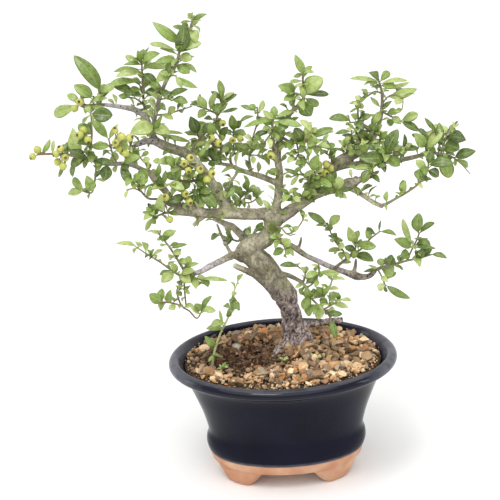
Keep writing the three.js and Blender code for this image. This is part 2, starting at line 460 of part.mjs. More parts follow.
      [-49, 116, -55.5, 126, 6.5, -4], [-47, 115, -42, 129.5, 5, -3], [-42, 112, -46, 123, 4, 4],
      [-38, 122, -39, 138, 5.5, -3], [-38, 118, -26, 127, 4.5, 4], [-38, 117, -37, 128, 4, 5],
      [-40, 113, -33.5, 120, 3, -4], [-40, 112.5, -25.5, 116, 3, 4], [-46, 104, -39, 105, 5, 6],
      [-53, 97, -49, 106, 6, 6], [-60, 90, -68, 89, 5, 5], [-44, 107, -52, 110, 5, 7],
    ],
    fill: 4,
  },
  spray_centre_mid: {
    stems: [
      [[-19, 77, 14, 0.9], [-17, 85, 12, 0.9], [-15, 94, 10, 0.8], [-11, 106, 8, 0.8], [-11, 116, 6, 0.7]],
      [[-18, 80, 13, 0.7], [-13, 79, 8, 0.7], [-8, 76, 4, 0.6]],
    ],
    leaves: [
      [-11, 115, -18, 117, 5, -3], [-11.5, 113, -24, 118, 3.5, 4], [-15.5, 92, -3, 97, 5.5, -4],
      [-11, 105, -4, 108, 3, 4], [-16, 90, -22, 95, 4, 5], [-17, 86, -9, 84, 5, -5],
      [-16, 79.5, -16, 73, 4, -4], [-12, 78.5, -3, 71, 4, 3], [-17, 84, -26, 87, 6, -5],
      [-8, 76, -4, 79, 4, -3], [-18, 82, -25, 79, 5, 5],
    ],
    fill: 3,
  },
  spray_crown: {
    stems: [
      [[0, 92, 8.5, 1.4], [0, 100, 6, 1.2], [1, 107, 3, 1]],
      [[0, 96, 7, 1], [-5, 91, 1, 0.8], [-8, 87, -3, 0.7]],
    ],
    leaves: [
      [1, 106, -6.5, 113.5, 5.5, -3], [1, 107, 2, 116.5, 6, 3], [0, 105, -22, 101, 4.5, -7],
      [1, 104, 23, 100, 6, -7], [1, 106, 12, 107, 3.5, 5], [0, 99, 12, 100, 7, -6],
      [-5, 91, -11, 85, 5, -2], [0, 99, -8, 99, 5, 6], [0, 98, 4, 90, 5, -8], [-4, 92, -2, 84, 5, -6],
      [0, 102, -7, 105, 4, 8], [1, 106, 16, 112, 5, 8], [0, 96, 8, 93, 5, 7],
    ],
    fill: 4,
  },
  spray_centre_top: {
    stems: [
      [[20, 115.5, 14, 1.6], [25, 121, 12, 1.4], [25, 131, 10, 1.1], [25, 141, 8, 0.9]],
      [[24, 120, 13, 0.9], [19, 122, 18, 0.8], [17, 126, 22, 0.7]],
    ],
    leaves: [
      [25, 139, 20, 154, 6.5, -5], [25, 140, 18, 138, 3.5, -3], [25, 140, 34, 141, 3, 3],
      [25, 135, 15, 135, 3.5, 4], [18, 124, 6, 132, 9, -5], [19, 122, 10, 121, 7.5, -6],
      [24.5, 121, 23, 131, 5, -6], [25, 123, 39, 136, 13, -7], [25, 124, 45, 123.5, 5, 7],
      [24, 120, 30, 107.5, 12, -7], [25, 122, 37.5, 115, 6, 6], [25, 132, 20, 131, 3, -4],
      [17, 126, 14, 134, 6, 5], [25, 128, 32, 131, 5, 8], [20, 122, 13, 117, 5, 7],
    ],
    fill: 4,
  },
  spray_centre_right: {
    stems: [
      [[7, 92, 14, 1.4], [14, 88, 8, 1.2], [22, 87, 3, 1.1], [28, 90, -1, 0.9], [31, 95, -4, 0.7]],
      [[18, 87, 6, 0.9], [19, 79, 2, 0.8], [16, 74, 0, 0.7]],
      [[25, 88.5, 1, 0.9], [30, 84, -4, 0.8], [38, 83, -8, 0.7], [46, 80, -10, 0.6]],
    ],
    leaves: [
      [24, 88, 30, 103, 6, -4], [28, 90, 46, 97, 6, -4], [28, 89, 35, 88, 11, -6], [31, 94, 47, 95, 4, 4],
      [22, 88, 17, 99, 8, -5], [22, 87, 9, 95, 5.5, -5], [30, 94, 22, 105, 5, 4],
      [34, 83.5, 43, 83, 5, -4], [42, 82, 47, 85, 5, -3], [16, 88, 12, 82, 6, -5],
      [19, 81, 25, 84, 6, -5], [19, 80, 12, 79, 5, -4], [17, 76, 10, 73, 5, -4], [18, 78, 24, 73, 6, -4],
      [20, 87, 22, 79, 6, -5], [28, 85, 34, 78, 7, -4], [26, 87, 20, 91, 6, 6], [14, 88, 8, 84, 5, 6],
      [30, 84, 26, 77, 6, 5], [36, 83, 37, 77, 4, 4], [24, 88, 31, 85, 6, 7], [28, 91, 34, 99, 5, 7],
      [17, 75, 22, 69, 5, 4],
    ],
    fill: 8,
  },
  spray_right_inner_high: {
    stems: [
      [[26, 45, 8, 1.2], [26, 52, 3, 1.1], [25, 60, 0, 1], [19, 63, -3, 0.8], [12, 61, -5, 0.7]],
      [[26, 54, 2, 0.9], [32, 60, -2, 0.9], [27, 70, -4, 0.8], [22, 75, -4, 0.6]],
    ],
    leaves: [
      [20, 62.5, 8, 68, 3.5, -3], [14, 61.5, 8, 62, 3, 3], [15, 62, 22, 69, 3.5, -4],
      [22, 62, 31, 66, 4, -4], [19, 63, 12, 55, 3.5, -4], [24, 61, 18, 57, 3.5, 4],
      [29, 57, 37, 55, 8, -5], [32, 60, 43, 53, 7, -5], [30, 64, 35, 78, 8, 5], [27, 55, 21, 53, 4, -4],
      [26, 50, 32, 47, 5, -5], [30, 63, 38, 66, 5, -5], [24, 73, 16, 71, 4, 4],
    ],
    fill: 4,
  },
  spray_right_inner_low: {
    stems: [
      [[24, 43.5, 6, 1.1], [20, 46, 1, 0.9], [14, 46, -2, 0.8], [8, 47, -4, 0.7]],
    ],
    leaves: [
      [15, 46, 6, 44.5, 6, -4], [19, 46, 14, 51, 4, -4], [20, 46, 27, 49, 5, -4], [10, 47, 5, 53, 4, -3],
      [9, 47, 18, 52.5, 4, 3], [17, 46, 12, 42, 5, -5], [22, 45, 30, 41, 5, -4], [12, 46, 19, 42, 5, -4],
    ],
    fill: 2,
  },
  spray_right_fork: {
    stems: [
      [[38, 49, 8, 1.1], [44, 53, 2, 0.9], [50, 47, -2, 0.7]],
    ],
    leaves: [
      [44, 53, 43, 62.5, 7, -4], [48, 50, 49, 60, 9, -5], [50, 47, 54.5, 43, 4, -3],
      [50, 47, 46, 45, 3, 3], [49, 48, 60, 51, 4, 4], [42, 52, 34, 50, 5, -4],
    ],
    fill: 2,
  },
  spray_right_arch: {
    stems: [
      [[80, 36.5, -9, 1.5], [84, 37, -12, 1.4], [92, 41, -16, 1.2], [100, 45, -19, 1.1], [110, 51.5, -22, 1],
        [117, 60, -24, 0.9], [118.5, 68, -25, 0.7]],
    ],
    leaves: [
      [98.5, 44.5, 100, 55, 6, -3], [102, 46, 106, 49, 2, 4], [82, 36, 85, 33, 2.5, -3],
      [91, 41, 94, 43.5, 3, 3], [110, 52, 113, 48, 3, -3], [112, 54, 121, 54.5, 3, 4],
      [118, 62, 126, 57, 8, -5], [118.3, 65, 137, 67, 9, -7], [117, 60, 112, 64, 7, -5],
      [117, 62, 109, 70, 7, 4], [118.5, 68, 121, 76, 7, -4], [110, 52, 110, 57, 2, 4],
    ],
    fill: 3,
  },
  spray_right_end: {
    stems: [
      [[114, 73.7, 8, 1.5], [122, 74.5, 5, 1.3], [131, 73.5, 2, 1.1], [139, 70, 0, 0.9]],
      [[118, 74, 7, 1], [117, 83, 3, 0.9], [122, 90, 0, 0.8], [127, 92, -2, 0.7]],
      [[128, 74, 3, 0.9], [132, 84, -2, 0.8], [135, 92, -5, 0.7], [142, 98, -8, 1]],
      [[137, 71, 0, 0.6], [144, 65, -2, 0.6], [150, 57.5, -4, 0.5]],
    ],
    leaves: [
      [127, 92, 118, 102, 4, -4], [131, 80, 128, 98, 7, 4], [118, 77, 130, 92, 12, -7],
      [117, 79, 109, 90, 9, -6], [117, 82, 119, 91, 5, 5], [134, 88, 131, 96, 4, 4],
      [134, 84, 148, 84, 11, -5], [132, 79, 142, 77, 13, -9], [138, 70, 155, 75, 8, -4],
      [138, 70, 128, 69, 6, -5], [139, 70, 149, 63, 5, 4], [124, 74.5, 129, 67, 8, 5],
      [122, 74.5, 118, 67, 7, -4], [128, 74, 134, 55, 11, -9], [120, 87, 112, 94, 4.5, 4],
      [124, 91, 124, 96, 4, 4], [136, 93, 141, 91, 4, 4], [132, 82, 127, 78, 6, 6],
      [118, 80, 107, 91, 5, 8], [139, 70, 139, 64, 3, -3], [126, 74, 120, 80, 6, 8],
      [131, 74, 140, 73, 6, 8],
    ],
    fill: 6,
  },
  spray_right_mid: {
    stems: [
      [[84, 70, 17.5, 1.2], [85, 72, 11, 1.1], [86, 75, 5, 1], [88, 78, 1, 0.8]],
      [[85, 72, 10, 0.8], [79, 68, 4, 0.8], [74, 64, 0, 0.7]],
      [[86, 75, 5, 0.8], [95, 77, 2, 0.8], [104, 79, -1, 0.7]],
    ],
    leaves: [
      [86, 76, 96, 94, 10, -6], [85, 73, 66, 74, 11, -7], [87, 76, 80, 80, 5, 4],
      [87, 74, 96.5, 66, 9, -5], [75, 65, 67, 54, 8, -5], [88, 77, 101, 80, 5, -3],
      [98, 77.5, 112, 79, 5, -3], [104, 79, 107, 83, 4, 3], [84, 71, 75, 69, 5, 5],
      [88, 78, 97, 85, 3, 3], [79, 68, 60, 66, 5, -4], [86, 74, 93, 71, 6, 6], [76, 66, 70, 60, 5, 6],
      [86, 75, 82, 82, 6, 6], [78, 67.5, 86, 67, 5, -6], [96, 77, 97, 70, 5, 5],
    ],
    fill: 5,
  },
  spray_right_crown: {
    stems: [
      [[83.5, 104, 33.5, 1.7], [85, 113, 33, 1.5], [85, 124, 30, 1.2], [83, 133, 28, 1]],
      [[85, 122, 31, 0.9], [80, 124, 34, 0.9], [73, 120, 37, 0.8], [67, 116, 39, 0.7]],
      [[84, 109, 34, 1], [92, 104, 30, 0.9], [99, 100, 26, 0.7]],
      [[85, 114, 33, 0.8], [89, 119, 28, 0.7], [95, 121, 23, 0.6], [101, 117, 20, 0.5], [100, 109, 19, 0.5]],
    ],
    leaves: [
      [83, 132, 76, 139, 6, -4], [83, 133, 61, 135, 4, 4], [83, 132.5, 79, 138, 3, 4],
      [84, 126, 78, 128, 3.5, -4], [84, 128, 96, 127, 8, -6], [84, 130, 92, 139, 6, 5],
      [84, 129, 105, 132, 4, -4], [84.5, 126, 107, 130, 3.5, 5], [89, 119, 112, 125, 7.5, -4],
      [90, 119.5, 99, 121, 5, 4], [99, 100, 112, 105.5, 7.5, -3], [98, 100, 113, 92, 6, -4],
      [92, 104, 99, 98, 6, -5], [88, 106, 97, 107, 6, -4], [86, 110, 92, 116, 4, -5],
      [67, 116, 60, 116, 3, -3], [68, 117, 65, 121.5, 5, 3], [70, 118, 74, 122, 3, -3],
      [67, 116, 70, 111, 4.5, -3], [95, 102.5, 88, 98, 6, 4], [85, 119, 89, 117, 4, 5],
      [84, 131, 76, 130, 5, 6], [99, 110, 94, 108, 4, -3], [84, 107, 78, 99, 6, -5],
    ],
    fill: 5,
  },
  spray_right_inner: {
    stems: [
      [[69, 99.3, 32, 1.3], [66.5, 101, 32, 1.1], [66, 108, 30, 1], [66.5, 114, 28, 0.8]],
      [[66.3, 102, 32, 0.8], [60, 101, 29, 0.8], [59, 106, 27, 0.6]],
    ],
    leaves: [
      [59, 102, 44, 105, 7, -4], [60, 101, 56, 99.5, 2.5, 3], [66.5, 104, 76, 106, 5.5, -4],
      [66.3, 110, 71, 109, 2, 3], [66.5, 113, 63, 117, 3, 3], [66.4, 112, 60, 109, 2, -4],
    ],
    fill: 2,
  },
  spray_right_heart: {
    stems: [
      [[77, 92, 30, 1.2], [82, 90, 25, 1], [82, 84, 20, 0.8]],
    ],
    leaves: [
      [82, 86, 88, 92, 6, -4], [82, 88, 77, 83, 7, -4], [80, 91, 84, 98, 6, -6],
      [81, 90.5, 75, 99, 6, -6], [82, 85, 87, 85, 4, -4], [82, 84, 76, 79, 6, 4],
    ],
    fill: 3,
  },
  spray_right_pocket: {
    stems: [
      [[75, 89, 29, 1.1], [70, 86, 22, 0.9], [69, 82, 19, 0.7]],
    ],
    leaves: [
      [72, 87, 69, 94, 9, -5], [70, 86, 66, 92, 5, 5], [69, 83, 78, 83, 7, -5], [70, 86, 76, 80, 6, -6],
      [72, 87, 76, 92, 6, -8],
    ],
    fill: 2,
  },
  spray_right_top_twigs: {
    stems: [
      [[57, 75, 25, 1.2], [56, 80, 21, 1], [54.5, 84, 18, 0.8]],
      [[56.2, 79.5, 21.5, 0.9], [61, 80, 15, 0.9], [66, 80, 9, 0.8]],
    ],
    leaves: [
      [55, 83, 58.5, 90, 5, -2], [54.5, 84, 51, 86.5, 4, -3], [56, 80, 52, 81, 2.5, 3],
      [60.5, 80, 68, 77, 6, -4], [64, 80, 57, 76, 5, -4], [66, 80, 73, 83, 6, -3], [56, 80, 62, 84, 5, 6],
    ],
    fill: 1,
  },
  spray_right_top_leaf: {
    stems: [
      [[63, 78, 26, 1.1], [60, 88, 22, 0.9], [61, 95, 20, 0.7]],
    ],
    leaves: [
      [60, 94, 48, 93, 3.5, -3], [61, 95, 57, 97, 3, 3], [60, 92, 66, 88, 5, 6], [60, 90, 55, 87, 5, -4],
    ],
    fill: 1,
  },
  spray_right_low_twig: {
    stems: [
      [[45, 68, 20, 1.1], [44, 75, 14, 0.9], [39, 79, 10, 0.7]],
    ],
    leaves: [
      [41, 78, 36, 81, 3, -3], [44, 75, 48, 79, 3, 4], [43, 77, 49, 82, 5, -4],
    ],
    fill: 1,
  },
  spray_lower_right_end: {
    stems: [
      [[73, -13.5, 26.5, 1.6], [78, -11.5, 23, 1.5], [88, -9.5, 18, 1.3], [98, -7, 14, 1.1],
        [108, -5.5, 10, 0.9], [118, -3, 7, 0.7]],
      [[99, -7, 14, 0.9], [102, 0, 9, 0.8], [107, 9, 5, 0.8], [109, 14, 3, 0.7]],
      [[76, -12.5, 24.5, 0.9], [79, -19, 20, 0.8], [81, -25, 17, 0.7]],
    ],
    leaves: [
      [108.5, 13, 109, 28.5, 9, -3], [104, 4, 97, 25, 5, 4], [108.5, 12, 121, 21.5, 5, 3],
      [103, 2, 90, 10, 8, -5], [101, -1, 94, -3, 7.5, -4], [107, 9, 117, 4, 6, -5],
      [104, 3, 118, 5, 4, 4], [105, 5, 122, 2, 3.5, 7], [112, -4.5, 118, 1, 6, -4],
      [106, -6, 113, 2, 7, -4], [117, -3, 129.5, -6, 4.5, -3], [102, -6.5, 108, -4, 5, 5],
      [84, -10.5, 87, -2, 8, -4], [80, -11, 78, -4, 7, 4], [77, -12, 88, -17, 12, -7],
      [80, -21, 90, -15, 4, 4], [81, -24, 100, -36, 6, -5], [79, -18, 83, -22, 5, -5],
      [80, -23, 76, -29, 6, -3], [81, -25, 82, -31, 3, 3], [75.5, -13, 65, -14, 3, -4],
      [90, -9, 95.5, -14, 2.5, -3], [76, -12.5, 69, -9, 2.5, 4], [98, -7, 99, -3, 4, -3],
      [112, -4.7, 107, 0, 5, 5], [86, -10, 80, -6, 6, 6],
    ],
    fill: 6,
  },
  spray_lower_right_twig: {
    stems: [
      [[43, -10, 28, 1.5], [50, -5, 24, 1.3], [58, 0, 20, 1.2], [65, 4.5, 16, 1], [71, 11, 12, 0.9],
        [79, 16.5, 8, 0.7]],
      [[52, -3.5, 23, 1], [50, 3, 20, 0.9], [45, 9, 17, 0.8], [41.5, 16, 15, 0.7], [39, 24, 13, 0.6]],
      [[58, 0, 20, 0.8], [60, 6, 16, 0.8], [59, 10, 14, 0.6]],
    ],
    leaves: [
      [59, 9, 55, 20.5, 7.5, -3], [59.5, 9, 62.5, 18, 5, 3], [59, 7, 75.5, 5, 7.5, -5],
      [56, 0, 73, -6, 7.5, -6], [60, 2, 52, 6, 6, -4], [50, 2, 48, -3, 6, -4], [50, 3, 38, 3.5, 4, 4],
      [46, 8, 51, 6, 6, -4], [43, 13, 41, 10, 4, -3], [39.3, 23, 25.5, 33.5, 6, -4],
      [39.3, 22, 49, 30, 7, 3], [39.5, 22, 29.5, 24, 3, 4], [40, 21, 42.5, 24, 4.5, -4],
      [40.5, 19, 36, 20, 3, 3], [71, 11, 68, 18, 5, -3], [76, 15, 68.5, 20, 5, 4],
      [79, 16.5, 91.5, 13, 4, -3], [79, 16.5, 80, 25, 2, 3], [47, -7, 56, -6, 4, -5],
      [62, 3, 57, -3, 6, -5], [66, 5.5, 60, 10, 6, 6], [48, 5, 44, 2, 5, 5], [54, -2, 60, 3, 5, 7],
      [45, 9, 50, 12, 5, 6],
    ],
    fill: 6,
  },
  spray_inner_curl: {
    stems: [
      [[-1, 24, 0, 1.1], [4, 22, -5, 0.9], [7, 18, -7, 0.8], [13, 19.5, -9, 0.8], [19, 26, -10, 0.7],
        [22, 32, -10, 0.6]],
      [[7.5, 18, -7, 0.6], [10, 16.5, -8, 0.6], [14, 17.5, -8, 0.5]],
    ],
    leaves: [
      [21, 30, 24, 31, 3.5, -2], [22, 32, 19, 34, 3, 2], [20, 28, 24.5, 27, 2, 2],
    ],
    fill: 1,
  },
};

// Berry bunches: the stalk's route from its spray, and the middle of each berry
const BUNCHES = {
  berries_far_left_tip: {
    stalk: [[-176, 88.5, -43, 0.9], [-180, 88, -46, 0.8]],
    berries: [[-185, 86, -48], [-181, 91, -45]],
  },
  berries_far_left: {
    stalk: [[-158, 88.5, -36, 0.9], [-163, 86, -43, 0.8]],
    berries: [[-163.5, 91, -43], [-167, 87, -45], [-160, 84, -45], [-166, 81, -42], [-162, 77.5, -46]],
  },
  berries_upper_left_tip: {
    stalk: [[-144, 122, 5, 0.9], [-147, 124, 2, 0.8]],
    berries: [[-147, 126, -1], [-151, 121.5, 3]],
  },
  berries_left_inner: {
    stalk: [[-139.5, 99, -38, 0.8], [-144, 99, -40, 0.8]],
    berries: [[-148, 101, -42], [-142, 97, -43], [-145, 104.5, -38]],
  },
  berries_left_upper: {
    stalk: [[-125.5, 92, -28, 0.8], [-117, 93, -32, 0.8]],
    berries: [
      [-121, 103, -32], [-116, 98.5, -34], [-110, 97, -33], [-121, 93.5, -35], [-118, 89, -31],
      [-113.5, 85, -34],
    ],
  },
  berries_left_low: {
    stalk: [[-85, 44, -19, 0.8], [-84, 42, -23, 0.8]],
    berries: [[-82, 33, -24], [-84.5, 50, -25]],
  },
  berries_left_middle: {
    stalk: [[-70, 53, -11, 0.8], [-68, 54, -15, 0.8]],
    berries: [[-69, 52, -19], [-66.5, 46, -17]],
  },
  berries_left_heart: {
    stalk: [[-68, 72, -6, 0.8], [-65, 74, -11, 0.8], [-60, 71, -13, 0.8], [-52, 68, -13, 0.8]],
    berries: [
      [-64, 79.5, -12], [-69, 75.5, -13], [-66, 70, -15], [-57, 70, -17], [-48, 67, -14],
      [-52, 62.5, -14],
    ],
  },
  berries_centre_left: {
    stalk: [[-46.5, 90, 23, 0.8], [-45, 93, 18, 0.8]],
    berries: [[-47, 94, 14], [-42, 90, 17]],
  },
  berries_centre_back: {
    stalk: [[-30.5, 93, 42, 0.8], [-29, 94, 37, 0.8]],
    berries: [[-31, 91.5, 34], [-25, 92.5, 35]],
  },
  berries_upper_centre: {
    stalk: [[-40, 108, 31, 0.8], [-39, 107, 28, 0.8]],
    berries: [[-38, 105, 25]],
  },
  berries_centre: {
    stalk: [[1, 82, 5, 0.8], [-1, 81, 1, 0.8]],
    berries: [[-2, 78.5, -2]],
  },
  berries_right: {
    stalk: [[35, 61, 9, 0.9], [36, 66, 4, 0.9]],
    berries: [[34, 70, 2], [40, 70, 1], [43.5, 66.5, 3], [39, 63, -1], [35.5, 64, 0]],
  },
};

// Places, curves and random draws

function place([across, up, back]) {
  const c = Math.cos(SHEET_TILT);
  const s = Math.sin(SHEET_TILT);
  const rise = (up * (1 + (back * c) / SHEET_DISTANCE) - back * s) / (c + (up * s) / SHEET_DISTANCE);
  const nearer = rise * s - back * c;
  return new THREE.Vector3(across * (1 - nearer / SHEET_DISTANCE), back, SHEET_HEIGHT + rise);
}

function randomFrom(seed) {
  let state = seed;
  return () => {
    state = (state * 1664525 + 1013904223) % 4294967296;
    return state / 4294967296;
  };
}

// Points along a route, on a smooth curve through all its points, about one step apart
function smooth(route, step) {
  const points = [];
  for (let i = 0; i < route.length - 1; i += 1) {
    const a = route[Math.max(i - 1, 0)];
    const b = route[i];
    const c = route[i + 1];
    const d = route[Math.min(i + 2, route.length - 1)];
    const count = Math.max(1, Math.round(Math.hypot(c[0] - b[0], c[1] - b[1], c[2] - b[2]) / step));
    for (let k = 0; k < count; k += 1) {
      const t = k / count;
      points.push(b.map((_, j) => 0.5 * (2 * b[j] + (c[j] - a[j]) * t
        + (2 * a[j] - 5 * b[j] + 4 * c[j] - d[j]) * t * t
        + (3 * b[j] - a[j] - 3 * c[j] + d[j]) * t * t * t)));
    }
  }
  points.push(route[route.length - 1]);
  return points;
}

// Points a spacing apart on the straight stretches that a tube of this step is built from
function along(route, step, spacing) {
  const line = smooth(route, step);
  const points = [];
  line.slice(1).forEach((end, i) => {
    const start = line[i];
    const far = Math.hypot(end[0] - start[0], end[1] - start[1], end[2] - start[2]);
    const count = Math.max(1, Math.ceil(far / spacing));
    for (let k = 0; k < count; k += 1) {
      points.push(start.map((value, j) => value + ((end[j] - value) * k) / count));
    }
  });
  points.push(line.at(-1));
  return points;
}

// The point of some samples that a stem starts from
function seatOn(samples, [across, up, back]) {
  const far = (p) => Math.hypot(p[0] - across, p[1] - up, p[2] - back);
  return samples.reduce((best, p) => (far(p) < far(best) ? p : best)).slice(0, 3);
}

// Side stems start on the middle line of an earlier stem of their spray
function seatedStems(stems) {
  const seated = [];
  stems.forEach((stem, i) => {
    const samples = seated.flatMap((earlier) => along(earlier, STEM_STEP, SEAT_SPACING));
    const start = i === 0 ? stem[0] : [...seatOn(samples, stem[0]), stem[0][3]];
    seated.push([start, ...stem.slice(1)]);
  });
  return seated;
}

// Solids from rings of points, and to and from the boolean library

function solidOf(points, triangles) {
  const vertProperties = new Float32Array(points.flatMap((p) => [p.x, p.y, p.z]));
  const triVerts = new Uint32Array(triangles.flat());
  return new Manifold(new SolidMesh({ numProp: 3, vertProperties, triVerts }));
}

function solidOfGeometry(geometry) {
  const bare = geometry.clone();
  bare.deleteAttribute('normal');
  bare.deleteAttribute('uv');
  const merged = mergeVertices(bare);
  const vertProperties = new Float32Array(merged.attributes.position.array);
  const triVerts = new Uint32Array(merged.index.array);
  return new Manifold(new SolidMesh({ numProp: 3, vertProperties, triVerts }));
}

// Joins leave a few very short edges: each is closed to a point where the surface stays closed
function withoutShortEdges(points, triangles) {
  const around = (v) => new Set(triangles.filter((triangle) => triangle.includes(v)).flat());
  const isShort = ([a, b]) => points[a].distanceTo(points[b]) < SHORTEST_EDGE
    && [...around(a)].filter((v) => v !== a && v !== b && around(b).has(v)).length === 2;
  const edges = triangles.flatMap(([a, b, c]) => [[a, b], [b, c], [c, a]]);
  const edge = edges.find(isShort);
  if (!edge) {
    return triangles;
  }
  const [kept, closed] = edge;
  const moved = triangles.map((triangle) => triangle.map((v) => (v === closed ? kept : v)));
  return withoutShortEdges(points, moved.filter(([a, b, c]) => a !== b && b !== c && c !== a));
}

function geometryOf(solid) {
  const { vertProperties, triVerts } = solid.getMesh();
  const points = [];
  for (let i = 0; i < vertProperties.length; i += 3) {
    points.push(new THREE.Vector3().fromArray(vertProperties, i));
  }
  const found = [];
  for (let i = 0; i < triVerts.length; i += 3) {
    found.push([triVerts[i], triVerts[i + 1], triVerts[i + 2]]);
  }
  const geometry = new THREE.BufferGeometry().setFromPoints(points);
  geometry.setIndex(withoutShortEdges(points, found).flat());
  geometry.computeVertexNormals();
  return geometry;
}

// Rings all have the same count of points, counter-clockwise seen from the last ring
function solidOfRings(rings) {
  const sides = rings[0].length;
  const triangles = [];
  for (let i = 1; i < sides - 1; i += 1) {
    triangles.push([0, i + 1, i]);
  }
  for (let r = 0; r < rings.length - 1; r += 1) {
    for (let i = 0; i < sides; i += 1) {
      const j = (i + 1) % sides;
      const low = r * sides;
      const high = low + sides;
      triangles.push([low + i, low + j, high + j], [low + i, high + j, high + i]);
    }
  }
  const last = (rings.length - 1) * sides;
  for (let i = 1; i < sides - 1; i += 1) {
    triangles.push([last, last + i, last + i + 1]);
  }
  return solidOf(rings.flat(), triangles);
}

function tube(route, sides, step, grow = 0, lumps = 0) {
  const line = smooth(route, step);
  const centres = line.map(place);
  const random = randomFrom(Math.round(Math.abs(route[0][0] * 31 + route[0][1] * 17)) + sides);
  const rings = [];
  let normal = new THREE.Vector3(0.3, 1, 0.2);
  centres.forEach((centre, i) => {
    const ahead = centres[Math.min(i + 1, centres.length - 1)];
    const behind = centres[Math.max(i - 1, 0)];
    const tangent = ahead.clone().sub(behind).normalize();
    normal = normal.clone().addScaledVector(tangent, -normal.dot(tangent)).normalize();
    const binormal = tangent.clone().cross(normal);
    const ring = [];
    for (let k = 0; k < sides; k += 1) {
      const angle = (2 * Math.PI * k) / sides;
      const radius = (line[i][3] + grow) * (1 + lumps * (random() - 0.5));
      ring.push(centre.clone()
        .addScaledVector(normal, radius * Math.cos(angle))
        .addScaledVector(binormal, radius * Math.sin(angle)));
    }
    rings.push(ring);
  });
  return solidOfRings(rings);
}

function largestBody(solid) {
  const bodies = solid.decompose();
  return bodies.reduce((best, body) => (body.volume() > best.volume() ? body : best));
}

// Pot, drain meshes and soil

function ellipseRing(halfLength, halfWidth, z, count = POT_SEGMENTS) {
  return Array.from({ length: count }, (_, i) => {
    const angle = (2 * Math.PI * (i + 0.5)) / count;
    return new THREE.Vector3(halfLength * Math.cos(angle), halfWidth * Math.sin(angle), z);
  });
}

// A foot follows the pot's outline: sections across the wall, from one end of the foot to the other
function footSolid(signX, signY) {
  const rings = FOOT_SOLES.map(([degrees, sole]) => {
    const angle = THREE.MathUtils.degToRad(degrees);
    const middle = (sole + FOOT_TOP) / 2;
    const section = [[0.98, FOOT_TOP], [0.7, FOOT_TOP], [0.76, sole], [0.87, sole], [0.98, middle]];
    const ring = section.map(([share, z]) => new THREE.Vector3(
      signX * FOOT_SPAN[0] * share * Math.cos(angle), signY * FOOT_SPAN[1] * share * Math.sin(angle), z));
    return signX * signY < 0 ? ring : ring.reverse();
  });
  return solidOfRings(rings);
}

function drainHole(x) {
  const cylinder = new THREE.CylinderGeometry(DRAIN_HOLE_RADIUS, DRAIN_HOLE_RADIUS, 30, 16);
  cylinder.rotateX(Math.PI / 2);
  cylinder.translate(x, 0, 18);
  return solidOfGeometry(cylinder);
}

function potSolid() {
  const outside = POT_OUTSIDE.map(([z, a, b]) => ellipseRing(a, b, z));
  const inside = POT_INSIDE.map(([z, a, b]) => ellipseRing(a, b, z));
  const body = solidOfRings([...outside, ...inside]);
  const feet = [[-1, -1], [1, -1], [1, 1], [-1, 1]].map(([x, y]) => footSolid(x, y));
  const holes = [-DRAIN_HOLE_OFFSET, DRAIN_HOLE_OFFSET].map(drainHole);
  return Manifold.union([body, ...feet]).subtract(Manifold.union(holes));
}

function drainMeshSolid(x) {
  const z = POT_INSIDE.at(-1)[0] + FIT_GAP + DRAIN_MESH_THICKNESS / 2;
  const block = (size, thickness, dx, dy) => {
    const box = new THREE.BoxGeometry(size, size, thickness);
    box.translate(x + dx, dy, z);
    return solidOfGeometry(box);
  };
  const step = DRAIN_MESH_SIZE / 6;
  const slots = [[-1, -1], [1, -1], [1, 1], [-1, 1]].map(([i, j]) => (
    block(DRAIN_MESH_SLOT, 2 * DRAIN_MESH_THICKNESS, i * step, j * step)));
  return block(DRAIN_MESH_SIZE, DRAIN_MESH_THICKNESS, 0, 0).subtract(Manifold.union(slots));
}

// Half length and half width of the pot's inside at a height
function insideAt(z) {
  const above = POT_INSIDE.findLast((level) => level[0] >= z);
  const below = POT_INSIDE.find((level) => level[0] < z) ?? above;
  const t = above === below ? 0 : (z - below[0]) / (above[0] - below[0]);
  return [1, 2].map((i) => below[i] + (above[i] - below[i]) * t - SOIL_EDGE_GAP);
}

// The filling: the pot's inside less the gap, with a grained top that rises to the trunk
function soilSolid() {
  const random = randomFrom(41);
  const bottom = POT_INSIDE.at(-1)[0] + DRAIN_MESH_THICKNESS + 2 * FIT_GAP;
  const levels = [bottom, ...SOIL_TURNS, SOIL_EDGE];
  const rings = levels.map((z) => ellipseRing(...insideAt(z), z));
  const [topLength, topWidth] = insideAt(SOIL_EDGE);
  const crown = place(TRUNK[2]);
  for (let r = SOIL_RINGS; r > 0; r -= 1) {
    const share = r / SOIL_RINGS;
    const loose = r === SOIL_RINGS ? 0 : 1;
    rings.push(ellipseRing(topLength * share, topWidth * share, SOIL_LEVEL).map((p) => {
      const far = Math.hypot(p.x - crown.x, p.y - crown.y);
      const grain = random() < SOIL_GRAIN_SHARE ? SOIL_GRAIN : 0;
      const slip = 1 - SOIL_SLIP * random() * loose;
      const mound = SOIL_MOUND * Math.exp(-far / SOIL_MOUND_REACH);
      const rise = mound + (grain + SOIL_ROUGHNESS * random()) * loose;
      return new THREE.Vector3(p.x * slip, p.y * slip, SOIL_LEVEL + rise);
    }));
  }
  return solidOfRings(rings);
}

// Leaves and berries

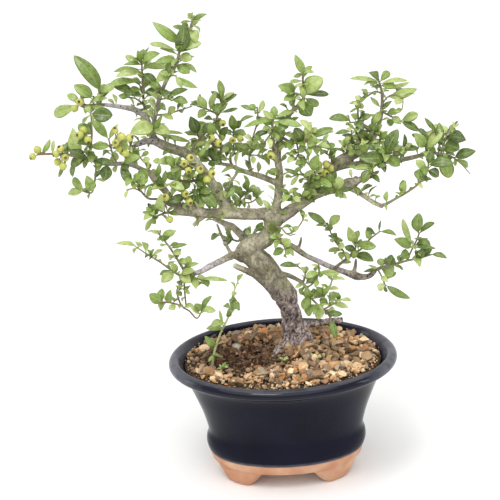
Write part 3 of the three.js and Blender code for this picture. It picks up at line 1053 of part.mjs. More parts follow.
// A blade is { root, tip, normal, width }: a shallow V on top and a keel below, on one to three stations
function bladeSolid({ root, tip, normal, width }, grow = 0) {
  const axis = tip.clone().sub(root);
  const length = axis.length();
  axis.normalize();
  const side = normal.clone().cross(axis).normalize();
  const stations = BLADE_STATIONS.find(([most]) => length <= most)[1];
  const points = [root.clone().addScaledVector(axis, BLADE_ROOT - grow)];
  stations.forEach(([t, share]) => {
    const lift = BLADE_ARCH * length * 4 * t * (1 - t);
    const mid = root.clone().addScaledVector(axis, t * length).addScaledVector(normal, lift);
    const reach = (width / 2) * share + grow;
    const edge = mid.clone().addScaledVector(normal, BLADE_FOLD * reach + grow);
    points.push(edge.clone().addScaledVector(side, reach), edge.clone().addScaledVector(side, -reach),
      mid.clone().addScaledVector(normal, -BLADE_THICKNESS - grow));
  });
  points.push(tip.clone().addScaledVector(axis, grow));
  const triangles = [];
  const end = points.length - 1;
  for (let k = 0; k < 3; k += 1) {
    const next = (k + 1) % 3;
    triangles.push([0, 1 + next, 1 + k], [end, end - 3 + k, end - 3 + next]);
    for (let s = 0; s < stations.length - 1; s += 1) {
      const low = 1 + 3 * s;
      const high = low + 3;
      triangles.push([low + k, low + next, high + next], [low + k, high + next, high + k]);
    }
  }
  return solidOf(points, triangles);
}

function berrySolid(centre, grow = 0) {
  const ball = new THREE.IcosahedronGeometry(BERRY_RADIUS + grow, 0);
  ball.scale(1.04, 1.04, 0.98);
  ball.translate(centre.x, centre.y, centre.z);
  return solidOfGeometry(ball);
}

function nearest(samples, across, up) {
  return samples.reduce((best, p) => (
    Math.hypot(p[0] - across, p[1] - up) < Math.hypot(best[0] - across, best[1] - up) ? p : best));
}

// Room: round samples of everything placed so far, so that each new leaf finds a clear lean
const LEAN_TRIES = [0, 3, -3, 6, -6, 9, -9, 12, -12];
const ROOM = 2.2;
const WOOD_MARGIN = 0.8;
const WIDE_BLADE = 5;
const WIDE_SHARE = 0.36;
const taken = [];

function take(point, radius, owner) {
  taken.push({ x: point.x, y: point.y, z: point.z, radius, owner });
}

// Leaves grow only from what shows of a stem, not from its foot in the limb
function isOutsideWood(sample) {
  const point = place(sample);
  return !taken.some((q) => (
    q.owner === 'wood' && Math.hypot(point.x - q.x, point.y - q.y, point.z - q.z) < q.radius + WOOD_MARGIN));
}

function bladeSamples({ root, tip, normal, width }) {
  const axis = tip.clone().sub(root);
  const length = axis.length();
  const side = axis.clone().cross(normal).normalize();
  const count = Math.max(3, Math.ceil(length / 4));
  const samples = [];
  for (let i = 0; i <= count; i += 1) {
    const t = 0.35 + (0.65 * i) / count;
    const lift = BLADE_ARCH * length * 4 * t * (1 - t);
    const mid = root.clone().addScaledVector(axis, t).addScaledVector(normal, lift);
    samples.push(mid);
    if (width > WIDE_BLADE && i > 0 && i < count) {
      samples.push(mid.clone().addScaledVector(side, width * WIDE_SHARE));
      samples.push(mid.clone().addScaledVector(side, -width * WIDE_SHARE));
    }
  }
  return samples;
}

function roomAround(blade, owner) {
  let room = 99;
  bladeSamples(blade).forEach((p) => {
    taken.forEach((q) => {
      const [dx, dy, dz] = [p.x - q.x, p.y - q.y, p.z - q.z];
      if (Math.abs(dx) < 20 && Math.abs(dy) < 20 && Math.abs(dz) < 20) {
        const gap = Math.sqrt(dx * dx + dy * dy + dz * dz) - q.radius;
        room = Math.min(room, q.owner === owner ? gap * 2 : gap);
      }
    });
  });
  return room;
}

function bladeBetween(root, tip, width, random) {
  const axis = tip.clone().sub(root).normalize();
  const facing = new THREE.Vector3(0.6 * (random() - 0.5), -0.8, 0.6 + 0.7 * (random() - 0.5));
  const normal = facing.addScaledVector(axis, -facing.dot(axis)).normalize();
  return { root, tip, normal, width };
}

// Every leaf of a spray, first those of the table and then smaller ones towards back and front
function settleSpray(name, { stems, leaves, fill }, seed) {
  const random = randomFrom(seed);
  const samples = stems.flatMap((stem) => along(stem, STEM_STEP, SEAT_SPACING).slice(0, -1).filter(isOutsideWood));
  const blades = [];
  leaves.forEach(([fromAcross, fromUp, toAcross, toUp, width, lean]) => {
    const foot = nearest(samples, fromAcross, fromUp);
    const root = place(foot);
    const twist = [random(), random()];
    let best = null;
    let bestRoom = -99;
    for (const extra of LEAN_TRIES) {
      const draws = [...twist];
      const tip = place([toAcross, toUp, foot[2] + lean + extra]);
      const blade = bladeBetween(root, tip, width, () => draws.shift());
      const room = roomAround(blade, name);
      if (room > bestRoom) {
        best = blade;
        bestRoom = room;
      }
      if (room > ROOM) {
        break;
      }
    }
    blades.push(best);
    bladeSamples(best).forEach((p) => take(p, 0, name));
  });
  for (let i = 0; i < fill * FILL_TRIES; i += 1) {
    const foot = samples[Math.floor(random() * samples.length)];
    const root = place(foot);
    const length = 8 + 7 * random();
    const toward = new THREE.Vector3(random() - 0.5, i % 2 === 0 ? 1 : -1, random() - 0.3).normalize();
    const tip = root.clone().addScaledVector(toward, length);
    const axis = toward.clone();
    const facing = new THREE.Vector3(random() - 0.5, 0, 1);
    const normal = facing.addScaledVector(axis, -facing.dot(axis)).normalize();
    const blade = { root, tip, normal, width: 0.45 * length };
    if (roomAround(blade, name) > ROOM) {
      blades.push({ ...blade, spare: i % SPARE_SHARE !== 0 });
      bladeSamples(blade).forEach((p) => take(p, 0, name));
    }
  }
  return blades;
}

function takeRoute(route, owner) {
  smooth(route, 3).forEach((p) => take(place(p), p[3], owner));
}

// Whole tree

function woodSolid(grow = 0) {
  const trunk = tube(TRUNK, TRUNK_SIDES, LIMB_STEP, grow, TRUNK_LUMPS);
  const limbs = LIMBS.map((limb) => {
    const sides = Math.max(...limb.map((point) => point[3])) > THIN_LIMB ? LIMB_SIDES : THIN_LIMB_SIDES;
    return tube(limb, sides, LIMB_STEP, grow);
  });
  return Manifold.union([trunk, ...limbs]);
}

function spraySolid({ stems }, blades, grow = 0) {
  const twigs = stems.map((stem) => tube(stem, STEM_SIDES, STEM_STEP, grow));
  const built = blades.filter(({ root, tip, width, spare }) => (
    !spare && (width > BUILT_WIDTH || root.distanceTo(tip) > BUILT_LENGTH)));
  return Manifold.union([...twigs, ...built.map((blade) => bladeSolid(blade, grow))]);
}

function bunchSolid({ stalk, berries }, grow = 0) {
  const samples = along(stalk, STEM_STEP, SEAT_SPACING);
  const parts = [tube(stalk, STEM_SIDES, STEM_STEP, grow)];
  berries.forEach((berry) => {
    const foot = nearest(samples, berry[0], berry[1]);
    parts.push(berrySolid(place(berry), grow));
    parts.push(tube([[...foot.slice(0, 3), BERRY_STALK], [...berry, BERRY_STALK]], STEM_SIDES, 40, grow));
  });
  return Manifold.union(parts);
}

function touches(a, b) {
  const p = a.boundingBox();
  const q = b.boundingBox();
  return [0, 1, 2].every((i) => p.min[i] < q.max[i] && q.min[i] < p.max[i]);
}

// What would cross an earlier piece is cut clear of it, and a loose scrap is dropped
function cleared(solid, others) {
  const near = others.filter((other) => touches(solid, other));
  const cut = near.reduce((rest, other) => rest.subtract(other), solid);
  return largestBody(cut.simplify(TIDY));
}

// Every spray and bunch with its stems seated on what carries them
const carriers = LIMBS.flatMap((limb) => along(limb, LIMB_STEP, SEAT_SPACING));
const sprays = {};
Object.entries(SPRAYS).forEach(([name, spray]) => {
  const stems = seatedStems(spray.stems);
  sprays[name] = { ...spray, stems };
  carriers.push(...stems.flatMap((stem) => along(stem, STEM_STEP, SEAT_SPACING)));
});
const bunches = {};
Object.entries(BUNCHES).forEach(([name, { stalk, berries }]) => {
  const seat = [...seatOn(carriers, stalk[0]), stalk[0][3]];
  bunches[name] = { stalk: [seat, ...stalk], berries };
});

const wood = woodSolid();
const woodGrown = woodSolid(FIT_GAP);
[TRUNK, ...LIMBS].forEach((limb) => takeRoute(limb, 'wood'));
Object.entries(sprays).forEach(([name, spray]) => spray.stems.forEach((stem) => takeRoute(stem, name)));
Object.entries(bunches).forEach(([name, bunch]) => (
  bunch.berries.forEach((berry) => take(place(berry), BERRY_RADIUS, name))));

const solids = {};
const grown = [woodGrown];
Object.entries(sprays).forEach(([name, spray], i) => {
  const blades = settleSpray(name, spray, 100 + i);
  solids[name] = cleared(spraySolid(spray, blades), grown);
  grown.push(spraySolid(spray, blades, FIT_GAP));
});
Object.entries(bunches).forEach(([name, bunch]) => {
  solids[name] = cleared(bunchSolid(bunch), grown);
  grown.push(bunchSolid(bunch, FIT_GAP));
});

const basalGrown = grown[1 + Object.keys(SPRAYS).indexOf('basal_shoot')];
const soil = cleared(soilSolid(), [woodGrown, basalGrown]);

// Materials and nodes

function material(color, roughness, metalness = 0) {
  return new THREE.MeshStandardMaterial({ color, roughness, metalness, flatShading: true });
}

const GLAZE = material(0x1b2233, 0.25);
const SOIL = material(0x9c7f5c, 0.95);
const MESH = material(0x2b2b2b, 0.7);
const BARK = material(0x8a8175, 0.9);
const LEAF = material(0x7aa24a, 0.55);
const BERRY = material(0xc4c552, 0.5);

const tree = new THREE.Group();

function add(name, geometry, finish) {
  const mesh = new THREE.Mesh(geometry, finish);
  mesh.name = name;
  tree.add(mesh);
}

add('pot', geometryOf(potSolid()), GLAZE);
add('soil', geometryOf(soil), SOIL);
add('drain_mesh_left', geometryOf(drainMeshSolid(-DRAIN_HOLE_OFFSET)), MESH);
add('drain_mesh_right', geometryOf(drainMeshSolid(DRAIN_HOLE_OFFSET)), MESH);
add('trunk_and_branches', geometryOf(largestBody(wood.simplify(WOOD_TIDY))), BARK);
Object.keys(SPRAYS).forEach((name) => add(name, geometryOf(solids[name]), LEAF));
Object.keys(BUNCHES).forEach((name) => add(name, geometryOf(solids[name]), BERRY));

// The frame's origin is under the middle of the whole object, on the surface it stands on
const box = new THREE.Box3().setFromObject(tree);
const middle = box.getCenter(new THREE.Vector3());
tree.position.set(-middle.x, -middle.y, -box.min.z);

export default tree;
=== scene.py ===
# Firethorn bonsai in an oval glazed pot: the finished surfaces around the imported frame.
# The tree is set out on a drawing sheet, in millimetres: every point is [across, up, back],
# and place() puts it in the round. Blender's own objects are in metres.

import math

import bmesh
import bpy
import numpy as np
from mathutils import Matrix, Vector, kdtree, noise


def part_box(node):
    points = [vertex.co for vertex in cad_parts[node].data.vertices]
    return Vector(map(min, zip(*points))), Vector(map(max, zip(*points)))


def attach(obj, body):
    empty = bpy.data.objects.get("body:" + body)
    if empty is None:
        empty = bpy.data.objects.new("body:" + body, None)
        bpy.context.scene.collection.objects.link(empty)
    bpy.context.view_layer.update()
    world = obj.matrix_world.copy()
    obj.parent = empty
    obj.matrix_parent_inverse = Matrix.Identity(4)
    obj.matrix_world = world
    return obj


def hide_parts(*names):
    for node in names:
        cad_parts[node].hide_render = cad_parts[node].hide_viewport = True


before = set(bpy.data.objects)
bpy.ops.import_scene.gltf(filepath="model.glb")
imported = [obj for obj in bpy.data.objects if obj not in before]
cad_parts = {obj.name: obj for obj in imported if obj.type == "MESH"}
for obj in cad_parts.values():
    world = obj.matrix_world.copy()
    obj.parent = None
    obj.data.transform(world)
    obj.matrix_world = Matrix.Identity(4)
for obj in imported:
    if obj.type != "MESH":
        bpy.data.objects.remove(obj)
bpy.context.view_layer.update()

# Drawing sheet and frame
MM = 0.001
SHEET_TILT = math.radians(22.63)
SHEET_DISTANCE = 1400
SHEET_HEIGHT = 185
POT_LOW, POT_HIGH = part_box("pot")
POT_AXIS = np.array([(POT_LOW.x + POT_HIGH.x) / 2, (POT_LOW.y + POT_HIGH.y) / 2, 0])

# Pot wall and clay base: [level, half length, half width]
# The wall runs from the glaze's lower edge up, over the lip and down inside
POT_SEGMENTS = 144
POT_WALL = [
    [22.6, 60.6, 38.4], [23.4, 61.5, 39.1], [26, 62.6, 40.1], [30, 63.6, 41], [33.5, 63.6, 41],
    [36.5, 63.1, 40.8], [39, 62, 40.4], [42, 61.5, 40.4], [48, 62.6, 42], [60, 65.8, 46.4],
    [72, 70.3, 50.9], [82, 74.2, 54.8], [88.5, 77.4, 57.9], [92, 79.8, 60.4], [92.8, 80.8, 61.4],
    [93.1, 81.8, 62.2], [93.9, 82.3, 62.6], [94.7, 83, 63.2], [95, 84.6, 64.6], [95.6, 87.2, 67.2],
    [97.2, 89.4, 69.4], [99.5, 90, 70], [101.6, 89.2, 69.2], [103.2, 87.4, 67.4], [104, 85, 65],
    [103.7, 83.4, 63.4], [102.4, 81.9, 61.9], [99.5, 80, 60], [92, 74.5, 55], [75, 65.4, 46],
    [45, 57, 36.4], [22.6, 54, 32.6],
]
BASE_WALL = [[14, 56, 35], [15.2, 58.2, 36.8], [18, 60, 38], [21.5, 60.8, 38.6], [23.6, 60.4, 38.4]]
LIP_RIM_LEVEL = 103.6
# Painted sheen on the lip's outer top starts this far along the oval from the middle
LIP_SHEEN_FROM = 58

# Feet: the underside as [degrees round the oval, level], and the section as [share of the
# foot's span, share of the height between the underside and the top of the foot]
FOOT_SOLES = [
    [14, 13], [17, 8], [22, 3], [27, 0.3], [32, 0], [38, 0], [44, 0], [50, 0.3], [55, 3], [61, 8], [66, 13],
]
FOOT_TOP = 17
FOOT_SPAN = [58, 36]
FOOT_SECTION = [
    [0.985, 1], [0.7, 1], [0.72, 0.5], [0.75, 0.12], [0.765, 0], [0.81, 0], [0.865, 0], [0.9, 0.06],
    [0.94, 0.25], [0.975, 0.55], [0.99, 0.8],
]
DRAIN_HOLE_RADIUS = 7
DRAIN_HOLE_OFFSET = 27
DRAIN_HOLE_LEVEL = 18
DRAIN_CUTTER_LENGTH = 30

# Soil: a bed that fills the pot, stones in three sizes on it, and a damp hollow left of the trunk
SOIL_LEVEL = 99
SOIL_MOUND = 3
SOIL_MOUND_REACH = 30
SOIL_HEAP = 1.6
SOIL_HALF = [78, 58.6]
BED_SEGMENTS = 96
BED_BOTTOM = [53, 31.6]
BED_WALL = [[45, 56.2, 35.6], [75, 64.6, 45.2], [92, 73.7, 54.2], [97, 77.4, 57.8]]
BED_SHARES = [0.97, 0.9, 0.8, 0.68, 0.55, 0.42, 0.3, 0.18, 0.07]
DAMP_SPOT = [-33, -1]
DAMP_REACH = [46, 34]
TRUNK_CLEARING = 10
STONE_KINDS = 14
STONE_CUTS = (0.35, 0.72)
# Name, count, [smallest, largest], subdivisions and flat sides of a stone
STONE_LAYERS = [
    ["soil_grit", 520, [4.6, 10.2], 2, 9],
    ["soil_small_grit", 1000, [2.8, 5], 1, 5],
    ["soil_fines", 1700, [1.0, 2.4], 0, 2],
]
CHIP_COUNT = 46
CHIP_SIZES = (5, 10)
CUT_TWIG = [-35.6, 15, 102.6]
CUT_TWIG_RADIUS = 3.3
CUT_TWIG_LENGTH = 11
CUT_TWIG_SIDES = 20
SEEDLINGS = [[26, -12], [1, -11], [-47, -20]]
SEEDLING_LEAVES = 6

# Wood: VOXEL is in metres, and each spot is [across, up, back, reach]
VOXEL = 0.00075
THIN_WOOD = 2
BARK_STRETCH = 0.42
OLD_BARK_TOP = 168
OLD_BARK_FADE = 26
CUT_ENDS = [[-86, 57, -11], [-90, 93.5, 17], [47, -50, 31], [-80, 38.5, -15], [71, 80, 28], [-34, -4.5, -9]]
CUT_REACH = 3.4
MOSS_SPOTS = [[-3, 15, -3, 11], [-4, 23, -2, 9], [28, 48, 2, 10], [38, 49, 3, 10], [0, 60, 4, 9]]
LICHEN_SPOTS = [[6, -20, 2, 9], [20, 41, 0, 8], [-40, 35, -6, 8]]
LILAC_SPOTS = [
    [-105, 92, 12, 22], [-125, 123, 15, 26], [-60, -6, -25, 26], [35, -7, 28, 24], [-100, 116, 20, 14]]
# Buds: [across, up] of the foot and of the tip, and the radius
BUDS = [[130.5, 96.5, 137.5, 105, 2], [-64.5, 186, -62, 190.5, 1.1]]

# Sprays and bunches: how their stems are sampled, and how leaves keep clear of their neighbours
STEM_STEP = 14
SEAT_SPACING = 1
LIMB_STEP = 13
FILL_TRIES = 2
LEAN_TRIES = [0, 3, -3, 6, -6, 9, -9, 12, -12]
ROOM = 2.2
ROOM_POINTS = 20000
WOOD_MARGIN = 0.8
NEAR = 20
FAR = 99

# Leaves: the places along and across a blade where its surface is worked out
LEAF_ACROSS = np.array([-1, -0.66, -0.33, 0, 0.33, 0.66, 1, 0.66, 0.33, 0, -0.33, -0.66])
LEAF_FACE = np.array([0, 1, 1, 1, 1, 1, 0, -1, -1, -1, -1, -1])
LEAF_ALONG = np.array([0, 0.05, 0.1, 0.155, 0.23, 0.33, 0.45, 0.57, 0.68, 0.78, 0.865, 0.93, 0.975])
LEAF_SIDES = len(LEAF_ACROSS)
LEAF_TOP_SIDES = 6
LEAF_TURN = 2.4
PETIOLE = 0.1
PETIOLE_HALF = 0.33
SMALL_LEAF = 12
YOUNG_LEAF = 9
BLADE_ARCH = 0.1
WIDE_BLADE = 5
WIDE_SHARE = 0.36
SAMPLE_LENGTH = 4

# Small leaves in tufts along the twigs and on spurs of the limbs, which the solids leave out
TUFT_GAP = 8
TUFT_LEAF = (6, 12.5)
SPARSE = 2.8
SPUR_UP = 30
SPUR_WOOD = 4.6
SPUR_GAP = 9.5

# Twigs: how much thinner than the solids they are drawn
THIN_TWIG = 1.3
THIN_TWIG_SHARE = 0.78
THICK_TWIG_SHARE = 0.92
SHOOT_SHARE = 0.6
TUBE_CAP = [(-0.75, 0.55), (-0.4, 0.87)]

# Berries: shares of a berry's radius, and the radius of the little stalk at foot, sag and berry
BERRY_RADIUS = 2.9
BERRY_AROUND = 20
BERRY_ROWS = 14
BERRY_SQUASH = 0.96
DIMPLE_WIDTH = 0.42
DIMPLE_DEPTH = 0.2
DIMPLE_FLOOR = 0.62
SEPALS = 5
SEPAL_HALF = 0.17
SEPAL_THICK = 0.09
BERRY_STALK = [0.42, 0.36, 0.45]
BERRY_SAG = 0.8

# Colours, as linear red, green and blue; a pair is the darker and the paler shade of a mottle
LEAF_UPPER = ((0.042, 0.075, 0.013), (0.215, 0.31, 0.06), (0.55, 0.61, 0.25))
LEAF_UNDER = ((0.16, 0.22, 0.06), (0.32, 0.40, 0.14), (0.54, 0.60, 0.27))
LEAF_DRY_EDGE = (0.18, 0.09, 0.03)
TWIG_YOUNG = ((0.27, 0.28, 0.10), (0.24, 0.13, 0.075))
TWIG_OLD = (0.30, 0.265, 0.22)
TWIG_STREAK = (0.09, 0.065, 0.045)
SHOOT_GREEN = (0.50, 0.56, 0.25)
LIMB_BARK = ((0.28, 0.255, 0.155), (0.55, 0.51, 0.37))
LIMB_PATCH = (0.19, 0.17, 0.115)
LILAC_BARK = (0.60, 0.54, 0.55)
TRUNK_BARK = ((0.34, 0.27, 0.25), (0.62, 0.51, 0.47))
TRUNK_PATCH = (0.78, 0.70, 0.64)
BARK_GRAIN = (0.07, 0.055, 0.05)
BARK_CRACK = (0.04, 0.029, 0.027)
BARK_PIT = (0.03, 0.024, 0.02)
# Painted shade for the undersides of trunk and limbs
PAINTED_UNDERSIDE_SHADE = (0.075, 0.062, 0.052)
MOSS = (0.12, 0.16, 0.03)
LICHEN = (0.44, 0.44, 0.22)
CUT_WOOD = (0.62, 0.55, 0.42)
GLAZE = ((0.0026, 0.0028, 0.010), (0.0055, 0.006, 0.018))
# Paler glaze where it runs thin, also used as painted sheen on the lip's left and right ends
THIN_GLAZE_AND_PAINTED_SHEEN = (0.15, 0.15, 0.175)
CLAY = ((0.52, 0.245, 0.14), (0.62, 0.35, 0.215))
CLAY_SPECK = (0.42, 0.22, 0.14)
CLAY_PALE = (0.72, 0.52, 0.38)
NET = ((0.012, 0.012, 0.012), (0.03, 0.03, 0.03))
# Fine soil seen in the gaps between stones: its own dark brown, deepened as painted shade
FINE_SOIL_AND_PAINTED_GAP_SHADE = ((0.035, 0.02, 0.011), (0.15, 0.10, 0.06))
GRIT_DIRT = (0.12, 0.085, 0.055)
GRIT_DUST = (0.72, 0.62, 0.47)
GRIT_TINT = np.array([1.1, 1, 0.88])
DAMP_GRIT = np.array([0.105, 0.038, 0.016])
CHIP = np.array([0.16, 0.085, 0.05])
# Stones: a colour, and how many in a hundred have it
GRIT_COLORS = [
    ([0.60, 0.43, 0.26], 24), ([0.76, 0.62, 0.44], 18), ([0.50, 0.34, 0.20], 16), ([0.66, 0.40, 0.20], 10),
    ([0.68, 0.33, 0.13], 6), ([0.40, 0.35, 0.28], 10), ([0.28, 0.20, 0.13], 11), ([0.56, 0.42, 0.36], 6),
    ([0.12, 0.07, 0.04], 8),
]
BERRY_SKIN = ((0.41, 0.44, 0.085), (0.55, 0.54, 0.13))
BERRY_BLUSH = (0.34, 0.24, 0.05)
BERRY_SPECK = (0.70, 0.68, 0.30)
CALYX = ((0.035, 0.018, 0.008), (0.10, 0.06, 0.03))
PINK_BUD = ((0.42, 0.22, 0.17), (0.55, 0.36, 0.24))
FLOOR = ((0.90, 0.90, 0.895), (0.92, 0.92, 0.915))

# Stage and camera, in metres; a lamp is its name, place, [width, height] and power
STAGE_HALF = 8
WORLD_STRENGTH = 0.78
AIM = (0, 0, 0.16)
LAMPS = [
    ["key", (-0.25, -0.6, 1.4), (0.4, 0.4), 5],
    ["side", (1.1, -0.35, 0.55), (0.2, 0.7), 1.5],
    ["left", (-1.2, 0.1, 0.55), (0.25, 0.7), 1],
]
SKY_PLACE = (-0.1, -0.55, 1.3)
SKY_POWER = 1.5
SKY_ANGLE = math.radians(70)
LENS = 131.25
LENS_SHIFT = (-0.0566, 0.015)
CAMERA_ROLL = math.radians(-2.6)

# Bare wood: trunk, limbs and cut stubs, as [across, up, back, radius]
TRUNK = [
    [14, -85, 26, 11],
    [14, -77, 25, 14],
    [13, -69, 23, 13.4],
    [11, -60, 21, 11.6],
    [9, -50, 19, 8.6],
    [7, -40, 16, 7.6],
    [3, -30, 13, 8],
    [-2.6, -20, 10, 9.2],
    [-9, -10, 7, 9.8],
    [-16, -1, 5, 9.4],
    [-23, 4, 4, 7.6],
]
LIMBS = [
    [[-28, 3, 4, 6.4], [-24, 8, 4, 7.6], [-16, 12, 4, 7.4], [-8, 16, 4, 6.8], [-4, 22, 4, 6.2],
        [-4.5, 30, 4, 5.8], [-6, 37, 4, 5]],
    [[-14, 3, -3, 2.8], [-6, -6, 0, 3.2], [1, -14.5, 4, 3.6], [5, -21.5, 8, 4], [9, -28.5, 11, 4.8],
        [9.5, -37, 14, 3.6]],
    [[12, -62, 17, 5], [2, -68, 12, 4.4], [-5, -73, 6, 2.8], [-9, -77, 2, 1.6]],
    [[13, -64, 22, 5], [24, -71, 16, 4.4], [31, -77, 11, 2.6], [35, -81, 8, 1.4]],
    [[11, -60, 28, 5], [0, -60, 38, 3.8], [-7, -59, 46, 2]],
    [[-5, 34, 4, 5], [-15, 34, 3, 4.7], [-30, 35, 0, 4.5], [-45, 36, -4, 4.2], [-60, 37, -8, 3.5],
        [-71, 38, -12, 2.9], [-80, 38.5, -15, 1.8]],
    [[-57, 39, -7, 3], [-66, 42, -9, 2.7], [-75, 43.5, -11, 2.6], [-82, 45, -14, 2], [-87, 48, -16, 1.5]],
    [[-37, 38, 0, 4.2], [-42, 46, 4, 4], [-46, 54, 8, 4], [-50, 62, 12, 4], [-56, 70, 15, 4],
        [-62, 78, 17, 4], [-69, 84, 18, 4.1], [-80, 88, 18, 3.9], [-90, 93.5, 17, 3.4]],
    [[-88, 93, 17, 3], [-97, 94, 13, 2.7], [-106, 91, 9, 2]],
    [[-89, 93, 17, 3], [-94, 101, 20, 2.7], [-96, 111, 21, 2.5], [-104, 118, 20, 2.3], [-115, 121, 18, 1.9],
        [-128, 123.3, 14, 1.5]],
    [[-75, 43, -11, 2.6], [-81, 50, -11, 2.6], [-86, 57, -11, 2.9], [-92, 64, -12, 2.6], [-96, 70, -13, 2.4],
        [-101, 71.5, -15, 2.2]],
    [[-28, 5, 1, 3.4], [-38, 2, -6, 2.8], [-45, -1, -13, 2.6], [-52, -4, -19, 2.4], [-60, -8, -25, 2.2],
        [-69, -10, -30, 1.9]],
    [[-21, 12, 8, 3.6], [-28, 19, 22, 3], [-34, 25, 34, 2.8], [-40, 28, 46, 2.4], [-48, 32, 58, 1.8]],
    [[-9, -21, 8, 3.4], [-18, -13, 1, 2.8], [-26, -8.5, -5, 2.4], [-34, -4.5, -9, 2.2]],
    [[13, -53, 20, 3.2], [28, -51.5, 25, 2.9], [40, -50.5, 29, 2.8], [47, -50, 31, 2.6]],
    [[-3, 30, 4, 4.4], [1, 42, 6, 3.4], [3, 55, 8, 3.1], [4, 65, 10, 3], [3, 74, 12, 2.9], [3.5, 83, 14, 2.7],
        [6, 93, 15, 2.5], [9, 102, 15, 2.2], [14, 110, 15, 2], [22, 116.5, 14, 1.7]],
    [[2.5, 77, 12, 2.3], [0, 87, 9, 1.9], [0, 94, 8, 1.6]],
    [[1.5, 57, 8, 2.5], [-6, 61, 12, 2.4], [-15, 64.5, 17, 2.2], [-25, 68, 23, 2], [-33, 72, 28, 1.7],
        [-41, 74, 32, 1.4]],
    [[-4, 25, 4, 5.4], [4, 31, 4, 5], [12, 36, 5, 4.8], [20, 41, 6, 4.4], [30, 47, 8, 4], [40, 50, 9, 3.8],
        [50, 52, 9, 4.3], [58, 54, 8, 5.2], [64, 56.5, 6, 2.8], [71, 59, 4, 2.3], [77, 60, 3, 2.1]],
    [[57, 51, 7, 2.2], [66, 45.5, 2, 1.9], [75, 39, -5, 1.8], [82, 35.5, -10, 1.8]],
    [[22, 42, 7, 3.8], [28, 51, 11, 3.8], [34, 58, 14, 3.8], [41, 65, 18, 4], [50, 71, 22, 4.5],
        [60, 76, 26, 4.1], [71, 80, 28, 3.2]],
    [[41, 65, 18, 2.8], [55, 68, 20, 2.5], [70, 69.5, 20, 2.3], [90, 70, 16, 2.1], [103, 71.5, 12, 1.9],
        [116, 74, 8, 1.6]],
    [[65, 77, 27, 1.8], [65, 88, 26, 1.5], [63.5, 96, 25, 1.1]],
    [[70, 79, 28, 2.4], [75, 86, 29, 2.2], [76, 93, 30, 1.9], [72, 97, 31, 1.7], [68, 100, 32, 1.5]],
    [[74, 84, 29, 2.2], [79, 91, 31, 2], [82, 99, 33, 1.9], [84, 107, 34, 1.8]],
    [[-6, 16, 8, 3.2], [4, 12, 15, 2.7], [12, 7.5, 20, 2.4], [20, 1.5, 24, 2.2], [30, -4, 27, 2.2],
        [40, -9, 29, 2.2], [52, -14, 30, 2.5], [58, -16.5, 30, 3.4], [64, -18, 29, 2.7], [70, -17, 28, 2.2],
        [74, -13, 26, 1.9]],
    [[57, -15, 30, 2], [59, -9, 29, 1.5], [59.5, -4, 27, 1.1]],
    [[0, -12, 5, 2.3], [7, -14, 0, 2], [12, -16.5, -5, 1.7], [17, -19.5, -9, 1.6]],
    [[-54, 35, -7, 1.9], [-60, 31, -9, 1.6], [-64, 27.5, -10, 1.7]],
    [[-36, 4, -3, 1.6], [-42, 17, 6, 1.3], [-46, 28, 14, 1]],
    [[15, 5, 22, 1.5], [17, 9, 21, 1.3], [18.5, 15, 19, 1]],
    [[-27, 69, 24, 1.3], [-34, 59, 20, 1.1], [-40, 51, 17, 0.8]],
    [[-18, 65.5, 18, 1.4], [-18.5, 72, 16, 1.2], [-19, 79, 14, 0.9]],
]

